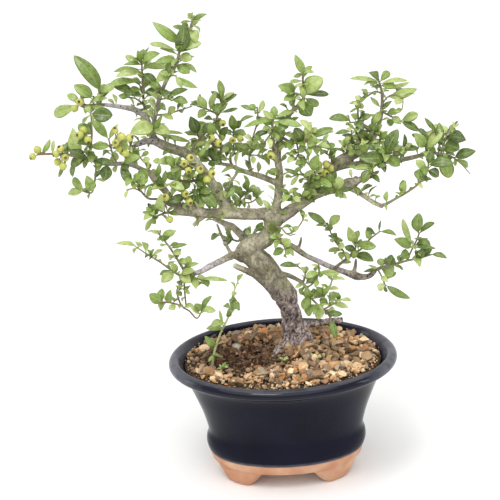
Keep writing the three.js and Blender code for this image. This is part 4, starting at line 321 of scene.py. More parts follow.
# Leafy sprays. A stem is a list of [across, up, back, radius] a leaf is
# [root across, root up, tip across, tip up, width, lean], with lean the depth of tip past root.
SPRAYS = {
    "spray_far_left": {
        "stems": [
            [[-99, 71, -14, 1.9], [-112, 77, -19, 1.8], [-130, 78, -25, 1.6], [-148, 84, -32, 1.4],
              [-165, 87, -38, 1.2], [-181, 87.5, -43, 1]],
            [[-137, 79, -27, 1.1], [-138, 66, -29, 1], [-141, 56, -31, 0.8], [-148, 58, -31, 0.7]],
            [[-120, 77.3, -22, 1], [-124, 87, -24, 0.9], [-126, 97, -24, 0.7]],
            [[-143, 82, -30, 0.9], [-140, 91, -32, 0.8], [-138.5, 103, -34, 0.8], [-139, 118, -36, 0.6]],
        ],
        "leaves": [
            [-148, 84, -153.5, 106, 10, -6], [-146, 83, -158, 90, 7, -9], [-144, 82, -156, 77, 8, -6],
            [-139, 100, -149, 109, 8, -5], [-137, 95, -150, 95, 7, -8], [-139, 91, -126, 91, 5, -5],
            [-126, 96, -139, 112, 7, 6], [-139, 118, -122.5, 115, 11, -5], [-138.5, 116, -146, 109, 4, 3],
            [-126, 97, -118.5, 108, 4, 4], [-116, 77.5, -103.5, 83, 8, -7], [-112, 77, -119, 101, 7, 9],
            [-178, 87.5, -171, 99, 4, -4], [-170, 87, -168, 98, 3, 5], [-162, 86.5, -156, 97, 3, 7],
            [-116, 77, -112, 73, 6, -5], [-138, 80, -124, 79, 6, -6], [-148, 58, -159.5, 56, 7, -2],
            [-146, 57.5, -154.5, 68.5, 6, 4], [-141, 57, -144, 69.5, 8, -5], [-150, 84, -155, 69, 4, 7],
            [-128, 78, -131, 65, 9, -7], [-158, 85, -166, 69, 3, -4], [-120, 77, -124, 71, 4, 4],
            [-118, 77, -113, 63, 7, -8], [-110, 76, -116, 66, 5, 6], [-137, 66, -130, 64, 2.5, 4],
            [-104, 73, -98, 63, 8, -7], [-103, 73, -109, 80, 5, 5], [-133, 78, -142, 88, 6, 9],
            [-125, 88, -132, 84, 5, 8], [-152, 85, -142, 80, 5, 9], [-127, 78, -119, 86, 6, 10],
            [-142, 84, -146, 75, 4, -6], [-140, 92, -148, 101, 7, 8], [-124, 90, -116, 89, 5, 8],
        ],
        "fill": 10,
    },
    "spray_upper_left_tip": {
        "stems": [
            [[-126, 123, 15, 1.5], [-133, 123.5, 13, 1.3], [-140, 123.5, 10, 1.1], [-147, 124.5, 8, 0.9]],
            [[-131, 123.5, 14, 1], [-130, 129, 12, 0.9], [-131, 134, 10, 0.7]],
            [[-136, 123.5, 11, 0.9], [-136, 130, 7, 0.8]],
        ],
        "leaves": [
            [-131, 133, -149, 161, 11, -6], [-146, 124.3, -168.5, 117.5, 9, -6],
            [-134, 130, -150, 139, 9, -5],
            [-146, 124.5, -156, 133, 6, 4], [-136, 130, -147, 131, 7, 6], [-140, 123.5, -127, 129, 5, -5],
            [-139, 123, -128, 121, 4, -3], [-131, 132, -119.5, 138.5, 7, 3], [-130, 126, -124, 134, 3, 6],
            [-141, 123.5, -143, 117, 4, -5], [-133, 124, -140, 117.5, 5, 7], [-133, 128, -128, 140, 6, 8],
        ],
        "fill": 4,
    },
    "spray_upper_left_shoot": {
        "stems": [
            [[-96, 110, 22, 1.6], [-97, 118, 25, 1.4], [-98, 128, 24, 1.2], [-98, 143, 22, 1],
             [-98, 156, 20, 0.8]],
            [[-97.5, 122, 25, 1], [-104, 127, 22, 0.8], [-110, 128, 19, 0.7]],
        ],
        "leaves": [
            [-98, 145, -118, 145, 6, -6], [-98, 149, -121, 149, 4, 5], [-98, 152, -112, 153.5, 4, -6],
            [-98, 155, -110.5, 160, 5, 4], [-98, 156, -101, 164, 5, -3], [-98, 156, -96, 165, 5, 4],
            [-97, 154, -84, 161, 8, -5], [-98, 150, -76, 151, 6, 6], [-98, 147, -87, 136, 9, -7],
            [-97.5, 133, -109, 133, 5, 6], [-98, 139, -124, 138, 7, -9], [-104, 127, -121, 138, 7, -5],
            [-98, 131, -81, 134, 6, -6], [-97.5, 127, -107, 131, 6, 8], [-110, 128, -117, 130, 5, -2],
            [-97.5, 137, -108, 141, 5, 9], [-98, 148, -91, 156, 5, 9], [-97.5, 135, -91, 141, 6, 8],
            [-98, 142, -103, 149, 4, -8], [-98, 157, -92, 166, 2.5, 3], [-97, 120, -105, 113, 5, 8],
        ],
        "fill": 6,
    },
    "spray_leader": {
        "stems": [
            [[-92, 96, 17, 2], [-90.5, 109, 13, 1.8], [-86, 125, 9, 1.7], [-80, 139, 7, 1.5],
             [-72, 151, 6, 1.4],
              [-68, 163, 6, 1.2], [-61, 176, 6, 1.1], [-57, 186, 6, 0.9]],
            [[-88, 113, 12, 1], [-80, 114, 10, 0.9], [-72, 116, 8, 0.8], [-61, 119, 6, 0.6]],
            [[-81, 138, 7, 0.9], [-77, 143, 2, 0.8], [-72, 143, -2, 0.7]],
            [[-85, 125, 9, 0.9], [-80, 126, 5, 0.8], [-76, 124, 2, 0.7]],
        ],
        "leaves": [
            [-71, 156, -88, 154, 6, -7], [-70, 159, -84, 165, 4, 6], [-69, 161, -91.5, 169, 4, 8],
            [-66, 167, -88, 185, 8, -3], [-69.5, 159, -64, 181, 11, -9], [-68, 163, -52.5, 167.5, 8, -6],
            [-69, 160, -54, 166, 5, 6], [-70, 156, -59.5, 155, 8, -6], [-70.5, 155, -57, 157.5, 3, 7],
            [-60, 178, -55, 168.5, 8, -6], [-62, 173, -64, 185, 5, 5], [-61, 178, -73, 181, 4, -5],
            [-58, 184, -67, 184, 2.5, 4], [-57, 185, -46.5, 189.5, 4.5, -3], [-57, 184, -50.5, 185, 3, 5],
            [-57.5, 184, -61, 187.5, 3, -4], [-57, 186, -56.5, 189, 2.5, 2], [-58, 181, -51.5, 175, 2.5, 4],
            [-74, 149, -87.5, 140, 8, -7], [-72, 151, -61.5, 145, 8, -5], [-71.5, 152, -55, 145, 5, 6],
            [-72, 143, -56, 133, 5, -3], [-72, 143, -68, 134, 4, -6], [-78, 143, -75, 151.5, 5, 9],
            [-79, 127, -65, 133, 6, -5], [-76, 124, -64, 122, 6.5, -5], [-85.5, 123, -91, 131, 11, -9],
            [-89, 112, -93, 126, 8, -8], [-80, 114, -74, 119, 6, -5], [-84, 114, -76, 110, 5, -5],
            [-90.5, 107, -108.5, 101, 12, -12], [-90, 105, -79, 100, 9, -9], [-91, 100, -84, 112, 4, -8],
            [-91, 99, -68, 99, 3, 7], [-91.5, 97, -63.5, 92, 4, 10], [-90.5, 103, -96, 98, 6, -9],
            [-83, 133, -92, 139, 6, 8], [-88, 119, -80, 118, 5, 9], [-77, 143, -84, 146, 5, -4],
            [-64, 170, -71, 174, 5, 8], [-72, 149, -80, 153, 5, 8],
        ],
        "fill": 8,
    },
    "spray_upper_left_stub": {
        "stems": [
            [[-103, 92.5, 10, 1.4], [-110, 90, 7, 1.2], [-116, 91, 4, 1]],
            [[-107, 91, 8, 0.9], [-104, 84, 6, 0.8], [-100, 78, 5, 0.7]],
        ],
        "leaves": [
            [-110, 90, -103.5, 80, 8, -6], [-104, 84, -108, 76, 5, -4], [-101, 80, -95, 80, 5, -4],
            [-108, 91, -107, 98, 4, -5], [-114, 91, -118, 84, 5, 5], [-102, 82, -96, 86, 4, 5],
            [-100, 78, -95, 73, 5, 4], [-112, 90.5, -117, 97, 5, 7],
        ],
        "fill": 3,
    },
    "spray_left_tip": {
        "stems": [
            [[-78, 38.6, -14, 1.3], [-86, 38, -17, 1.1], [-92, 36, -20, 0.9], [-97, 38, -23, 0.7]],
            [[-85, 38, -17, 0.8], [-87, 43, -20, 0.7]],
        ],
        "leaves": [
            [-94, 37, -103, 40, 3, 4], [-95, 37, -99, 43, 5, -4], [-94, 37, -90, 45, 7, -3],
            [-93, 36, -101, 25, 4, -4], [-93, 36, -95.5, 30, 5, 4], [-86, 41, -88, 52, 8, -5],
            [-86, 40, -92, 43, 4, 5], [-82, 38.3, -75, 36, 4, -5], [-84, 38, -78, 42, 3, -6],
            [-89, 37.5, -84, 33, 3, 5],
        ],
        "fill": 2,
    },
    "spray_left_twig": {
        "stems": [
            [[-85, 47, -15, 1.4], [-91, 49, -20, 1.2], [-98, 50, -25, 1.1], [-104, 57, -29, 0.9],
              [-110, 65, -32, 0.7]],
            [[-102, 54, -28, 0.8], [-108, 58, -33, 0.7], [-114, 57, -36, 0.6]],
        ],
        "leaves": [
            [-112, 57.5, -115.5, 51, 3, -2], [-106, 60, -99, 58, 5, -3], [-109, 64, -103, 69, 6, -4],
            [-110, 65, -117, 69, 6, -4], [-108, 63, -97, 64, 7, 5], [-98, 51, -96, 60, 4, -5],
            [-107, 61, -112, 66, 4, 6],
        ],
        "fill": 2,
    },
    "spray_left_cluster": {
        "stems": [
            [[-52, 66, 10, 1.6], [-60, 62, 2, 1.4], [-70, 62, -4, 1.2], [-80, 60, -9, 1],
             [-90, 60, -14, 0.8]],
            [[-62, 62, 1, 1], [-68, 70, -3, 0.9], [-76, 75, -7, 0.8], [-86, 77, -10, 0.7]],
            [[-56, 64, 5, 1], [-60, 55, -3, 0.9], [-70, 50, -8, 0.8]],
        ],
        "leaves": [
            [-80, 60, -98, 56, 6, -7], [-82, 60, -70, 56, 7, -8], [-62, 53, -50, 52, 7, -9],
            [-60, 55, -46, 42, 10, -12], [-64, 53, -55, 42, 9, -6], [-70, 50, -82, 46, 7, -5],
            [-70, 50, -60, 44, 6, -4], [-76, 75, -90, 77.5, 6, -6], [-72, 73, -74, 80, 6, -6],
            [-75, 75, -84, 82, 7, -4], [-74, 74, -78, 67, 7, -5], [-86, 77, -93, 79, 5, 4],
            [-70, 62, -84, 68, 7, 6], [-66, 62, -61, 70, 7, -6], [-62, 62, -52, 67, 7, -9],
            [-76, 61, -72, 70, 8, -7], [-88, 60, -94, 72, 6, 5], [-64, 62, -72, 56, 7, -8],
            [-84, 60, -88, 67, 6, -5], [-58, 63, -53, 56, 5, -8], [-68, 70, -76, 72, 5, 8],
            [-72, 61.8, -64, 68, 6, 9], [-57, 60, -47, 62, 5, 8], [-68, 51, -76, 56, 6, 7],
            [-80, 76, -70, 78, 6, 6], [-68, 70, -60, 75, 5, -8],
        ],
        "fill": 8,
    },
    "spray_lower_left": {
        "stems": [
            [[-66, -9.5, -28, 1.6], [-73, -11, -33, 1.4], [-80, -8, -37, 1.1], [-90, 0, -41, 0.9],
              [-99, 6, -44, 0.8], [-110, 14, -47, 0.6]],
            [[-71, -10.5, -31, 1.3], [-78, 3, -34, 1.1], [-84, 13, -36, 1], [-92, 24, -38, 0.8]],
            [[-73, -11, -33, 1], [-73, -22, -35, 0.9], [-72.5, -33, -37, 0.8]],
            [[-72, -11, -32.3, 1], [-66, -13, -34, 1], [-61, -14, -34, 0.9], [-56, -18, -34, 0.7]],
        ],
        "leaves": [
            [-80, -8, -90.5, -15, 8, -6], [-78, -9, -68, -16, 8, -6], [-82, -6, -92, -9, 4, 4],
            [-79, -8, -82, -1, 6, -5], [-76, -10, -65, -7, 7, -7], [-70, -11, -62, -17, 6, -6],
            [-64, -10, -57, -12, 5, 5], [-60, -14, -53.5, -18.5, 7, -5], [-58, -16, -66, -20, 6, 4],
            [-62, -12, -40, -15.5, 3.5, -5], [-97, 5, -95, 11, 2.5, -3], [-98, 5.5, -100, 11, 2.5, 3],
            [-97, 5, -88.5, 10.5, 3, 5], [-108, 12.5, -124, 16.5, 3.5, -4], [-108, 12, -104.5, 15.5, 3.5, 3],
            [-108, 12.5, -111.5, 8.5, 3, 2], [-81, 8, -75, 6, 6, -4], [-79, 5, -84.5, 3, 5, 4],
            [-83, 12, -76, 15, 4, 4], [-82, 11, -69.5, 13.5, 3.5, -4], [-85, 14, -91, 14, 2.5, 4],
            [-86, 16, -83, 20, 5, -4], [-88, 19, -78.5, 22.5, 3.5, 5], [-89, 20, -77.5, 24, 5, -5],
            [-91, 23, -96, 23.5, 4.5, -3], [-90, 22, -92, 26, 4, 4], [-87, 18, -93, 18.5, 3.5, 4],
            [-76, -2, -67, 3.5, 6, 5], [-74.5, -6, -62, -1.5, 4, -4], [-73, -14, -78, -18, 6, 4],
            [-73, -20, -69, -25, 3.5, -3], [-73, -27, -76.5, -29.5, 3, 2], [-77, 1, -70, -1, 5, -5],
            [-64, -10, -70, -4, 5, 8], [-70, -10, -76, -16, 6, 8],
        ],
        "fill": 8,
    },
    "spray_lower_left_pendant": {
        "stems": [
            [[-73, -13, -33.5, 1], [-75, -16, -38, 1], [-79, -22, -42, 0.9], [-76, -33.5, -45, 0.9],
             [-70, -38, -46, 0.8],
              [-64.5, -44, -47, 0.8], [-60, -37, -48, 0.6]],
            [[-76, -33, -45, 0.8], [-84, -31, -47, 0.8], [-92, -30, -49, 0.7]],
        ],
        "leaves": [
            [-90, -30, -100, -24, 8, -4], [-88, -30.5, -94, -35, 6, 4], [-86, -31, -84, -21.5, 6, -4],
            [-90, -30, -90.5, -19.5, 6, 5], [-74, -35, -67, -34, 4.5, -4], [-61, -38, -65.5, -33, 6, -4],
            [-60.5, -37, -52.5, -27, 4.5, 3], [-60.5, -38, -50, -38.5, 5.5, -4], [-61, -38, -57, -32, 4, 5],
            [-80, -32, -86, -36, 5, -4],
        ],
        "fill": 2,
    },
    "basal_shoot": {
        "stems": [
            [[-55, -88, -14, 1.6], [-54, -78, -14, 1.5], [-51, -66, -14, 1.4], [-46, -54, -15, 1.3],
              [-41, -45, -16, 1.2], [-38, -33, -17, 1.1], [-35, -24, -18, 1], [-31, -15, -19, 0.8]],
            [[-41.5, -46, -16, 0.8], [-37, -40, -19, 0.7], [-34, -37, -21, 0.6]],
        ],
        "leaves": [
            [-51, -66, -59, -58, 6, -3], [-46, -54, -58, -52, 5, 4], [-43, -48, -54, -49.5, 7, -4],
            [-34, -37, -33, -32.5, 4.5, -1], [-39, -38, -43, -34, 5, 3], [-40, -44, -40, -38, 4.5, -4],
            [-38, -34, -36, -30, 4, -3], [-53, -72, -57, -77, 3, -3], [-53, -73, -48.5, -73.5, 3, -3],
            [-45, -51, -47, -38.5, 2.5, 5], [-32, -17, -28, -12, 3.5, -3], [-33, -19, -31, -18, 2.5, 3],
        ],
        "fill": 2,
    },
    "spray_crotch": {
        "stems": [
            [[-3, 16, -2, 1.4], [1, 14, -7, 1.1], [5, 8, -10, 0.9], [6, 3, -11, 0.7]],
        ],
        "leaves": [
            [5, 8, 9.5, 13.5, 9, -3], [4, 6, -4, 2.5, 6.5, -3], [6, 3, 8.5, 2, 4, -2],
            [6, 3, 5.5, -0.5, 3, 2],
            [0, 14, -6, 15.5, 5, -3], [1, 14, 4, 18, 5, 2], [0, 15, -2, 19, 4, -2], [2, 12, -3, 11, 4, -4],
        ],
        "fill": 1,
    },
    "spray_low_right_bush": {
        "stems": [
            [[15, -18.5, -8, 1.5], [19, -22, -13, 1.3], [23, -31, -17, 1.2], [29, -38, -20, 1],
             [35, -43, -22, 0.9],
              [38, -49, -24, 0.8]],
            [[20, -25, -14, 1], [27, -20, -15, 0.9], [31, -12, -16, 0.8], [30.5, -6, -17, 0.7]],
            [[33, -41, -21, 0.9], [40, -38, -24, 0.8], [46, -34, -27, 0.7]],
            [[24, -33, -17, 0.8], [34, -31, -20, 0.8], [38, -25, -22, 0.7], [41, -18, -24, 0.6]],
            [[18, -21, -12, 0.9], [20, -13, -10, 0.8], [14, -7, -8, 0.7]],
        ],
        "leaves": [
            [16, -8, 1, -6, 4.5, -3], [20, -12, 17, -9, 5, -4], [31, -12, 46.5, -14.5, 5.5, -4],
            [30.5, -7, 27, -11, 3, 3], [22, -22, 17, -31, 7, 5], [20, -22, 30, -14, 7, 5],
            [24, -31, 20, -24, 7, -6], [26, -33, 33, -27, 7, 5], [22, -29, 18, -41, 8, -5],
            [28, -37, 19, -44, 8, 5], [30, -38, 36, -33, 6, 6], [27, -36, 30, -46, 9, -7],
            [34, -42, 27, -48, 8, -6], [35, -43, 42, -42, 5, 5], [36, -44, 47, -45.5, 5, -3],
            [37, -48, 41.5, -64.5, 6, -4], [40, -38, 52, -41, 4.5, -4], [44, -35, 55, -35, 3.5, 3],
            [46, -34, 45.5, -30, 3.5, -3], [41, -18, 45, -18, 5, -3], [40, -20, 38.5, -16, 4, 3],
            [34, -31, 39.5, -23, 4, -4], [31, -31, 37, -38, 3, 5], [33, -31, 28, -24, 5, -5],
            [31, -11, 33, -17, 4, 4], [30, -13, 21, -16, 6, -5], [19, -21, 12, -24, 3.5, -5],
            [20, -17, 26, -22, 6, 6], [22, -27, 29, -31, 6, 7], [33, -41, 40, -47, 6, 4],
        ],
        "fill": 8,
    },
    "spray_back_pale": {
        "stems": [
            [[-45, 31, 55, 1.6], [-36, 39, 60, 1.3], [-27, 47, 64, 1.1], [-20, 53, 66, 0.9]],
            [[-30, 44.5, 63, 0.9], [-20, 43, 60, 0.8], [-13, 47, 57, 0.7]],
            [[-38, 37, 60, 0.9], [-40, 47, 64, 0.8], [-38, 55, 66, 0.7]],
        ],
        "leaves": [
            [-26, 48, -33, 57, 6, 4], [-22, 52, -21, 60, 6, -4], [-20, 53, -11, 52, 6, 4],
            [-27, 47, -27, 54, 5, -5], [-16, 45, -10, 41, 5, 4], [-14, 46.5, -17, 52, 4, -4],
            [-29, 45, -28, 40, 5, -4], [-21, 43, -22, 38.5, 3, 4], [-20, 52, -29, 50, 5, 7],
            [-39, 50, -46, 53, 6, 5], [-38, 55, -33, 61, 6, -4], [-36, 39, -45, 41, 6, 6],
            [-32, 42, -38, 45, 6, -5], [-23, 51, -15, 57, 5, 6],
        ],
        "fill": 6,
    },
    "spray_back_low": {
        "stems": [
            [[-28, 18, 24, 1.2], [-30, 14, 33, 1.1], [-36, 16, 42, 1], [-44, 19.5, 50, 0.8]],
            [[-30, 14, 33, 0.9], [-22, 17, 42, 0.9], [-14, 22, 50, 0.7]],
        ],
        "leaves": [
            [-36, 16, -36, 21.5, 4, -4], [-42, 18.5, -46, 20, 3, 3], [-24, 16, -22, 22, 4, 4],
            [-16, 20.5, -11, 27, 6, -4], [-20, 18, -27, 21, 5, 6], [-44, 19.5, -52, 17, 6, 5],
            [-34, 15.5, -42, 12, 6, 6], [-14, 22, -8, 20, 6, 5], [-28, 15, -22, 10, 6, 7],
        ],
        "fill": 4,
    },
    "spray_centre_left": {
        "stems": [
            [[-39, 73.6, 31, 1.3], [-47, 75, 35, 1.1], [-54, 82, 36, 1], [-56, 92, 34, 0.9],
             [-58, 98, 31, 0.8]],
            [[-44, 74.5, 34, 1], [-40, 84, 33, 0.9], [-41, 96, 29, 0.8]],
            [[-48, 76, 35, 0.9], [-46, 86, 28, 0.8], [-47, 95, 24, 0.7]],
        ],
        "leaves": [
            [-58, 97, -62.5, 111, 9, -4], [-57.5, 96, -52, 107, 10, 4], [-57, 94, -50, 94, 5, -4],
            [-56, 90, -63, 92, 7, -5], [-54, 84, -64, 84, 6, -5], [-41, 95, -45, 109.5, 4.5, 4],
            [-46.5, 94, -47, 105.5, 8, -4], [-41, 94, -34, 102, 6, -5], [-40, 88, -46, 88, 6, -6],
            [-46, 90, -51, 98, 5, 5], [-47, 85, -43, 90, 5, -5], [-55, 87, -51, 80, 7, -5],
            [-40, 82, -34, 86, 5, 5], [-50, 79, -57, 77, 7, -6], [-49, 77, -46, 72, 6, -5],
            [-41, 92, -48, 90, 5, 7], [-56, 88, -60, 82, 6, 6], [-58, 97, -66, 99, 5, 4],
            [-52, 80, -46, 83, 6, 7], [-40, 80, -36, 76, 5, 6],
        ],
        "fill": 7,
    },
    "spray_centre_back": {
        "stems": [
            [[-31, 71, 28, 1.2], [-34, 77, 36, 1.1], [-30, 81, 42, 1], [-22, 83.5, 46, 0.8],
             [-16, 86, 49, 0.7]],
            [[-32, 80, 40, 1], [-30, 90, 44, 0.9], [-30, 99, 46, 0.8], [-26, 104, 48, 0.6]],
            [[-34, 77, 36, 0.8], [-42, 79, 42, 0.8], [-49, 79, 47, 0.6]],
        ],
        "leaves": [
            [-30, 98, -31, 111, 7, -4], [-27, 103, -14, 110, 3.5, 4], [-29, 100, -23, 106, 6, -4],
            [-30, 99, -20, 96, 6, 4], [-30, 97, -41, 98, 5, 5], [-30, 90, -23, 83, 7, -4],
            [-24, 83, -17, 79, 5, -4], [-20, 84, -17, 91, 6, 4], [-30, 88, -37, 84, 5, -4],
            [-28, 82, -24, 90, 5, 6], [-16, 86, -10, 88, 5, 3], [-42, 79, -46, 85, 6, 5],
            [-30, 93, -25, 96, 5, 6], [-30, 84, -36, 91, 6, 7], [-46, 79, -52, 84, 6, 4],
        ],
        "fill": 6,
    },
    "spray_upper_centre": {
        "stems": [
            [[-64.5, 80.5, 21, 1.4], [-60, 90, 26, 1.2], [-50, 100, 30, 1.1], [-42, 110, 33, 1],
              [-46, 114.5, 35, 0.9], [-57, 119, 37, 0.6]],
            [[-42, 110.5, 33, 0.8], [-38, 116, 34, 0.7], [-38, 123, 35, 0.6]],
        ],
        "leaves": [
            [-49, 116, -55.5, 126, 6.5, -4], [-47, 115, -42, 129.5, 5, -3], [-42, 112, -46, 123, 4, 4],
            [-38, 122, -39, 138, 5.5, -3], [-38, 118, -26, 127, 4.5, 4], [-38, 117, -37, 128, 4, 5],
            [-40, 113, -33.5, 120, 3, -4], [-40, 112.5, -25.5, 116, 3, 4], [-46, 104, -39, 105, 5, 6],
            [-53, 97, -49, 106, 6, 6], [-60, 90, -68, 89, 5, 5], [-44, 107, -52, 110, 5, 7],
        ],
        "fill": 4,
    },
    "spray_centre_mid": {
        "stems": [
            [[-19, 77, 14, 0.9], [-17, 85, 12, 0.9], [-15, 94, 10, 0.8], [-11, 106, 8, 0.8],
             [-11, 116, 6, 0.7]],
            [[-18, 80, 13, 0.7], [-13, 79, 8, 0.7], [-8, 76, 4, 0.6]],
        ],
        "leaves": [
            [-11, 115, -18, 117, 5, -3], [-11.5, 113, -24, 118, 3.5, 4], [-15.5, 92, -3, 97, 5.5, -4],
            [-11, 105, -4, 108, 3, 4], [-16, 90, -22, 95, 4, 5], [-17, 86, -9, 84, 5, -5],
            [-16, 79.5, -16, 73, 4, -4], [-12, 78.5, -3, 71, 4, 3], [-17, 84, -26, 87, 6, -5],
            [-8, 76, -4, 79, 4, -3], [-18, 82, -25, 79, 5, 5],
        ],
        "fill": 3,
    },
    "spray_crown": {
        "stems": [
            [[0, 92, 8.5, 1.4], [0, 100, 6, 1.2], [1, 107, 3, 1]],
            [[0, 96, 7, 1], [-5, 91, 1, 0.8], [-8, 87, -3, 0.7]],
        ],
        "leaves": [
            [1, 106, -6.5, 113.5, 5.5, -3], [1, 107, 2, 116.5, 6, 3], [0, 105, -22, 101, 4.5, -7],
            [1, 104, 23, 100, 6, -7], [1, 106, 12, 107, 3.5, 5], [0, 99, 12, 100, 7, -6],
            [-5, 91, -11, 85, 5, -2], [0, 99, -8, 99, 5, 6], [0, 98, 4, 90, 5, -8], [-4, 92, -2, 84, 5, -6],
            [0, 102, -7, 105, 4, 8], [1, 106, 16, 112, 5, 8], [0, 96, 8, 93, 5, 7],
        ],
        "fill": 4,
    },
    "spray_centre_top": {
        "stems": [
            [[20, 115.5, 14, 1.6], [25, 121, 12, 1.4], [25, 131, 10, 1.1], [25, 141, 8, 0.9]],
            [[24, 120, 13, 0.9], [19, 122, 18, 0.8], [17, 126, 22, 0.7]],
        ],
        "leaves": [
            [25, 139, 20, 154, 6.5, -5], [25, 140, 18, 138, 3.5, -3], [25, 140, 34, 141, 3, 3],
            [25, 135, 15, 135, 3.5, 4], [18, 124, 6, 132, 9, -5], [19, 122, 10, 121, 7.5, -6],
            [24.5, 121, 23, 131, 5, -6], [25, 123, 39, 136, 13, -7], [25, 124, 45, 123.5, 5, 7],
            [24, 120, 30, 107.5, 12, -7], [25, 122, 37.5, 115, 6, 6], [25, 132, 20, 131, 3, -4],
            [17, 126, 14, 134, 6, 5], [25, 128, 32, 131, 5, 8], [20, 122, 13, 117, 5, 7],
        ],
        "fill": 4,
    },
    "spray_centre_right": {
        "stems": [
            [[7, 92, 14, 1.4], [14, 88, 8, 1.2], [22, 87, 3, 1.1], [28, 90, -1, 0.9], [31, 95, -4, 0.7]],
            [[18, 87, 6, 0.9], [19, 79, 2, 0.8], [16, 74, 0, 0.7]],
            [[25, 88.5, 1, 0.9], [30, 84, -4, 0.8], [38, 83, -8, 0.7], [46, 80, -10, 0.6]],
        ],
        "leaves": [
            [24, 88, 30, 103, 6, -4], [28, 90, 46, 97, 6, -4], [28, 89, 35, 88, 11, -6],
            [31, 94, 47, 95, 4, 4],
            [22, 88, 17, 99, 8, -5], [22, 87, 9, 95, 5.5, -5], [30, 94, 22, 105, 5, 4],
            [34, 83.5, 43, 83, 5, -4], [42, 82, 47, 85, 5, -3], [16, 88, 12, 82, 6, -5],
            [19, 81, 25, 84, 6, -5], [19, 80, 12, 79, 5, -4], [17, 76, 10, 73, 5, -4],
            [18, 78, 24, 73, 6, -4],
            [20, 87, 22, 79, 6, -5], [28, 85, 34, 78, 7, -4], [26, 87, 20, 91, 6, 6], [14, 88, 8, 84, 5, 6],
            [30, 84, 26, 77, 6, 5], [36, 83, 37, 77, 4, 4], [24, 88, 31, 85, 6, 7], [28, 91, 34, 99, 5, 7],
            [17, 75, 22, 69, 5, 4],
        ],
        "fill": 8,
    },
    "spray_right_inner_high": {
        "stems": [
            [[26, 45, 8, 1.2], [26, 52, 3, 1.1], [25, 60, 0, 1], [19, 63, -3, 0.8], [12, 61, -5, 0.7]],
            [[26, 54, 2, 0.9], [32, 60, -2, 0.9], [27, 70, -4, 0.8], [22, 75, -4, 0.6]],
        ],
        "leaves": [
            [20, 62.5, 8, 68, 3.5, -3], [14, 61.5, 8, 62, 3, 3], [15, 62, 22, 69, 3.5, -4],
            [22, 62, 31, 66, 4, -4], [19, 63, 12, 55, 3.5, -4], [24, 61, 18, 57, 3.5, 4],
            [29, 57, 37, 55, 8, -5], [32, 60, 43, 53, 7, -5], [30, 64, 35, 78, 8, 5], [27, 55, 21, 53, 4, -4],
            [26, 50, 32, 47, 5, -5], [30, 63, 38, 66, 5, -5], [24, 73, 16, 71, 4, 4],
        ],
        "fill": 4,
    },
    "spray_right_inner_low": {
        "stems": [
            [[24, 43.5, 6, 1.1], [20, 46, 1, 0.9], [14, 46, -2, 0.8], [8, 47, -4, 0.7]],
        ],
        "leaves": [
            [15, 46, 6, 44.5, 6, -4], [19, 46, 14, 51, 4, -4], [20, 46, 27, 49, 5, -4],
            [10, 47, 5, 53, 4, -3],
            [9, 47, 18, 52.5, 4, 3], [17, 46, 12, 42, 5, -5], [22, 45, 30, 41, 5, -4],
            [12, 46, 19, 42, 5, -4],
        ],
        "fill": 2,
    },
    "spray_right_fork": {
        "stems": [
            [[38, 49, 8, 1.1], [44, 53, 2, 0.9], [50, 47, -2, 0.7]],
        ],
        "leaves": [
            [44, 53, 43, 62.5, 7, -4], [48, 50, 49, 60, 9, -5], [50, 47, 54.5, 43, 4, -3],
            [50, 47, 46, 45, 3, 3], [49, 48, 60, 51, 4, 4], [42, 52, 34, 50, 5, -4],
        ],
        "fill": 2,
    },
    "spray_right_arch": {
        "stems": [
            [[80, 36.5, -9, 1.5], [84, 37, -12, 1.4], [92, 41, -16, 1.2], [100, 45, -19, 1.1],
             [110, 51.5, -22, 1],
              [117, 60, -24, 0.9], [118.5, 68, -25, 0.7]],
        ],
        "leaves": [
            [98.5, 44.5, 100, 55, 6, -3], [102, 46, 106, 49, 2, 4], [82, 36, 85, 33, 2.5, -3],
            [91, 41, 94, 43.5, 3, 3], [110, 52, 113, 48, 3, -3], [112, 54, 121, 54.5, 3, 4],
            [118, 62, 126, 57, 8, -5], [118.3, 65, 137, 67, 9, -7], [117, 60, 112, 64, 7, -5],
            [117, 62, 109, 70, 7, 4], [118.5, 68, 121, 76, 7, -4], [110, 52, 110, 57, 2, 4],
        ],
        "fill": 3,
    },
    "spray_right_end": {
        "stems": [
            [[114, 73.7, 8, 1.5], [122, 74.5, 5, 1.3], [131, 73.5, 2, 1.1], [139, 70, 0, 0.9]],
            [[118, 74, 7, 1], [117, 83, 3, 0.9], [122, 90, 0, 0.8], [127, 92, -2, 0.7]],
            [[128, 74, 3, 0.9], [132, 84, -2, 0.8], [135, 92, -5, 0.7], [142, 98, -8, 1]],
            [[137, 71, 0, 0.6], [144, 65, -2, 0.6], [150, 57.5, -4, 0.5]],
        ],
        "leaves": [
            [127, 92, 118, 102, 4, -4], [131, 80, 128, 98, 7, 4], [118, 77, 130, 92, 12, -7],
            [117, 79, 109, 90, 9, -6], [117, 82, 119, 91, 5, 5], [134, 88, 131, 96, 4, 4],
            [134, 84, 148, 84, 11, -5], [132, 79, 142, 77, 13, -9], [138, 70, 155, 75, 8, -4],
            [138, 70, 128, 69, 6, -5], [139, 70, 149, 63, 5, 4], [124, 74.5, 129, 67, 8, 5],
            [122, 74.5, 118, 67, 7, -4], [128, 74, 134, 55, 11, -9], [120, 87, 112, 94, 4.5, 4],
            [124, 91, 124, 96, 4, 4], [136, 93, 141, 91, 4, 4], [132, 82, 127, 78, 6, 6],
            [118, 80, 107, 91, 5, 8], [139, 70, 139, 64, 3, -3], [126, 74, 120, 80, 6, 8],
            [131, 74, 140, 73, 6, 8],
        ],
        "fill": 6,
    },
    "spray_right_mid": {
        "stems": [
            [[84, 70, 17.5, 1.2], [85, 72, 11, 1.1], [86, 75, 5, 1], [88, 78, 1, 0.8]],
            [[85, 72, 10, 0.8], [79, 68, 4, 0.8], [74, 64, 0, 0.7]],
            [[86, 75, 5, 0.8], [95, 77, 2, 0.8], [104, 79, -1, 0.7]],
        ],
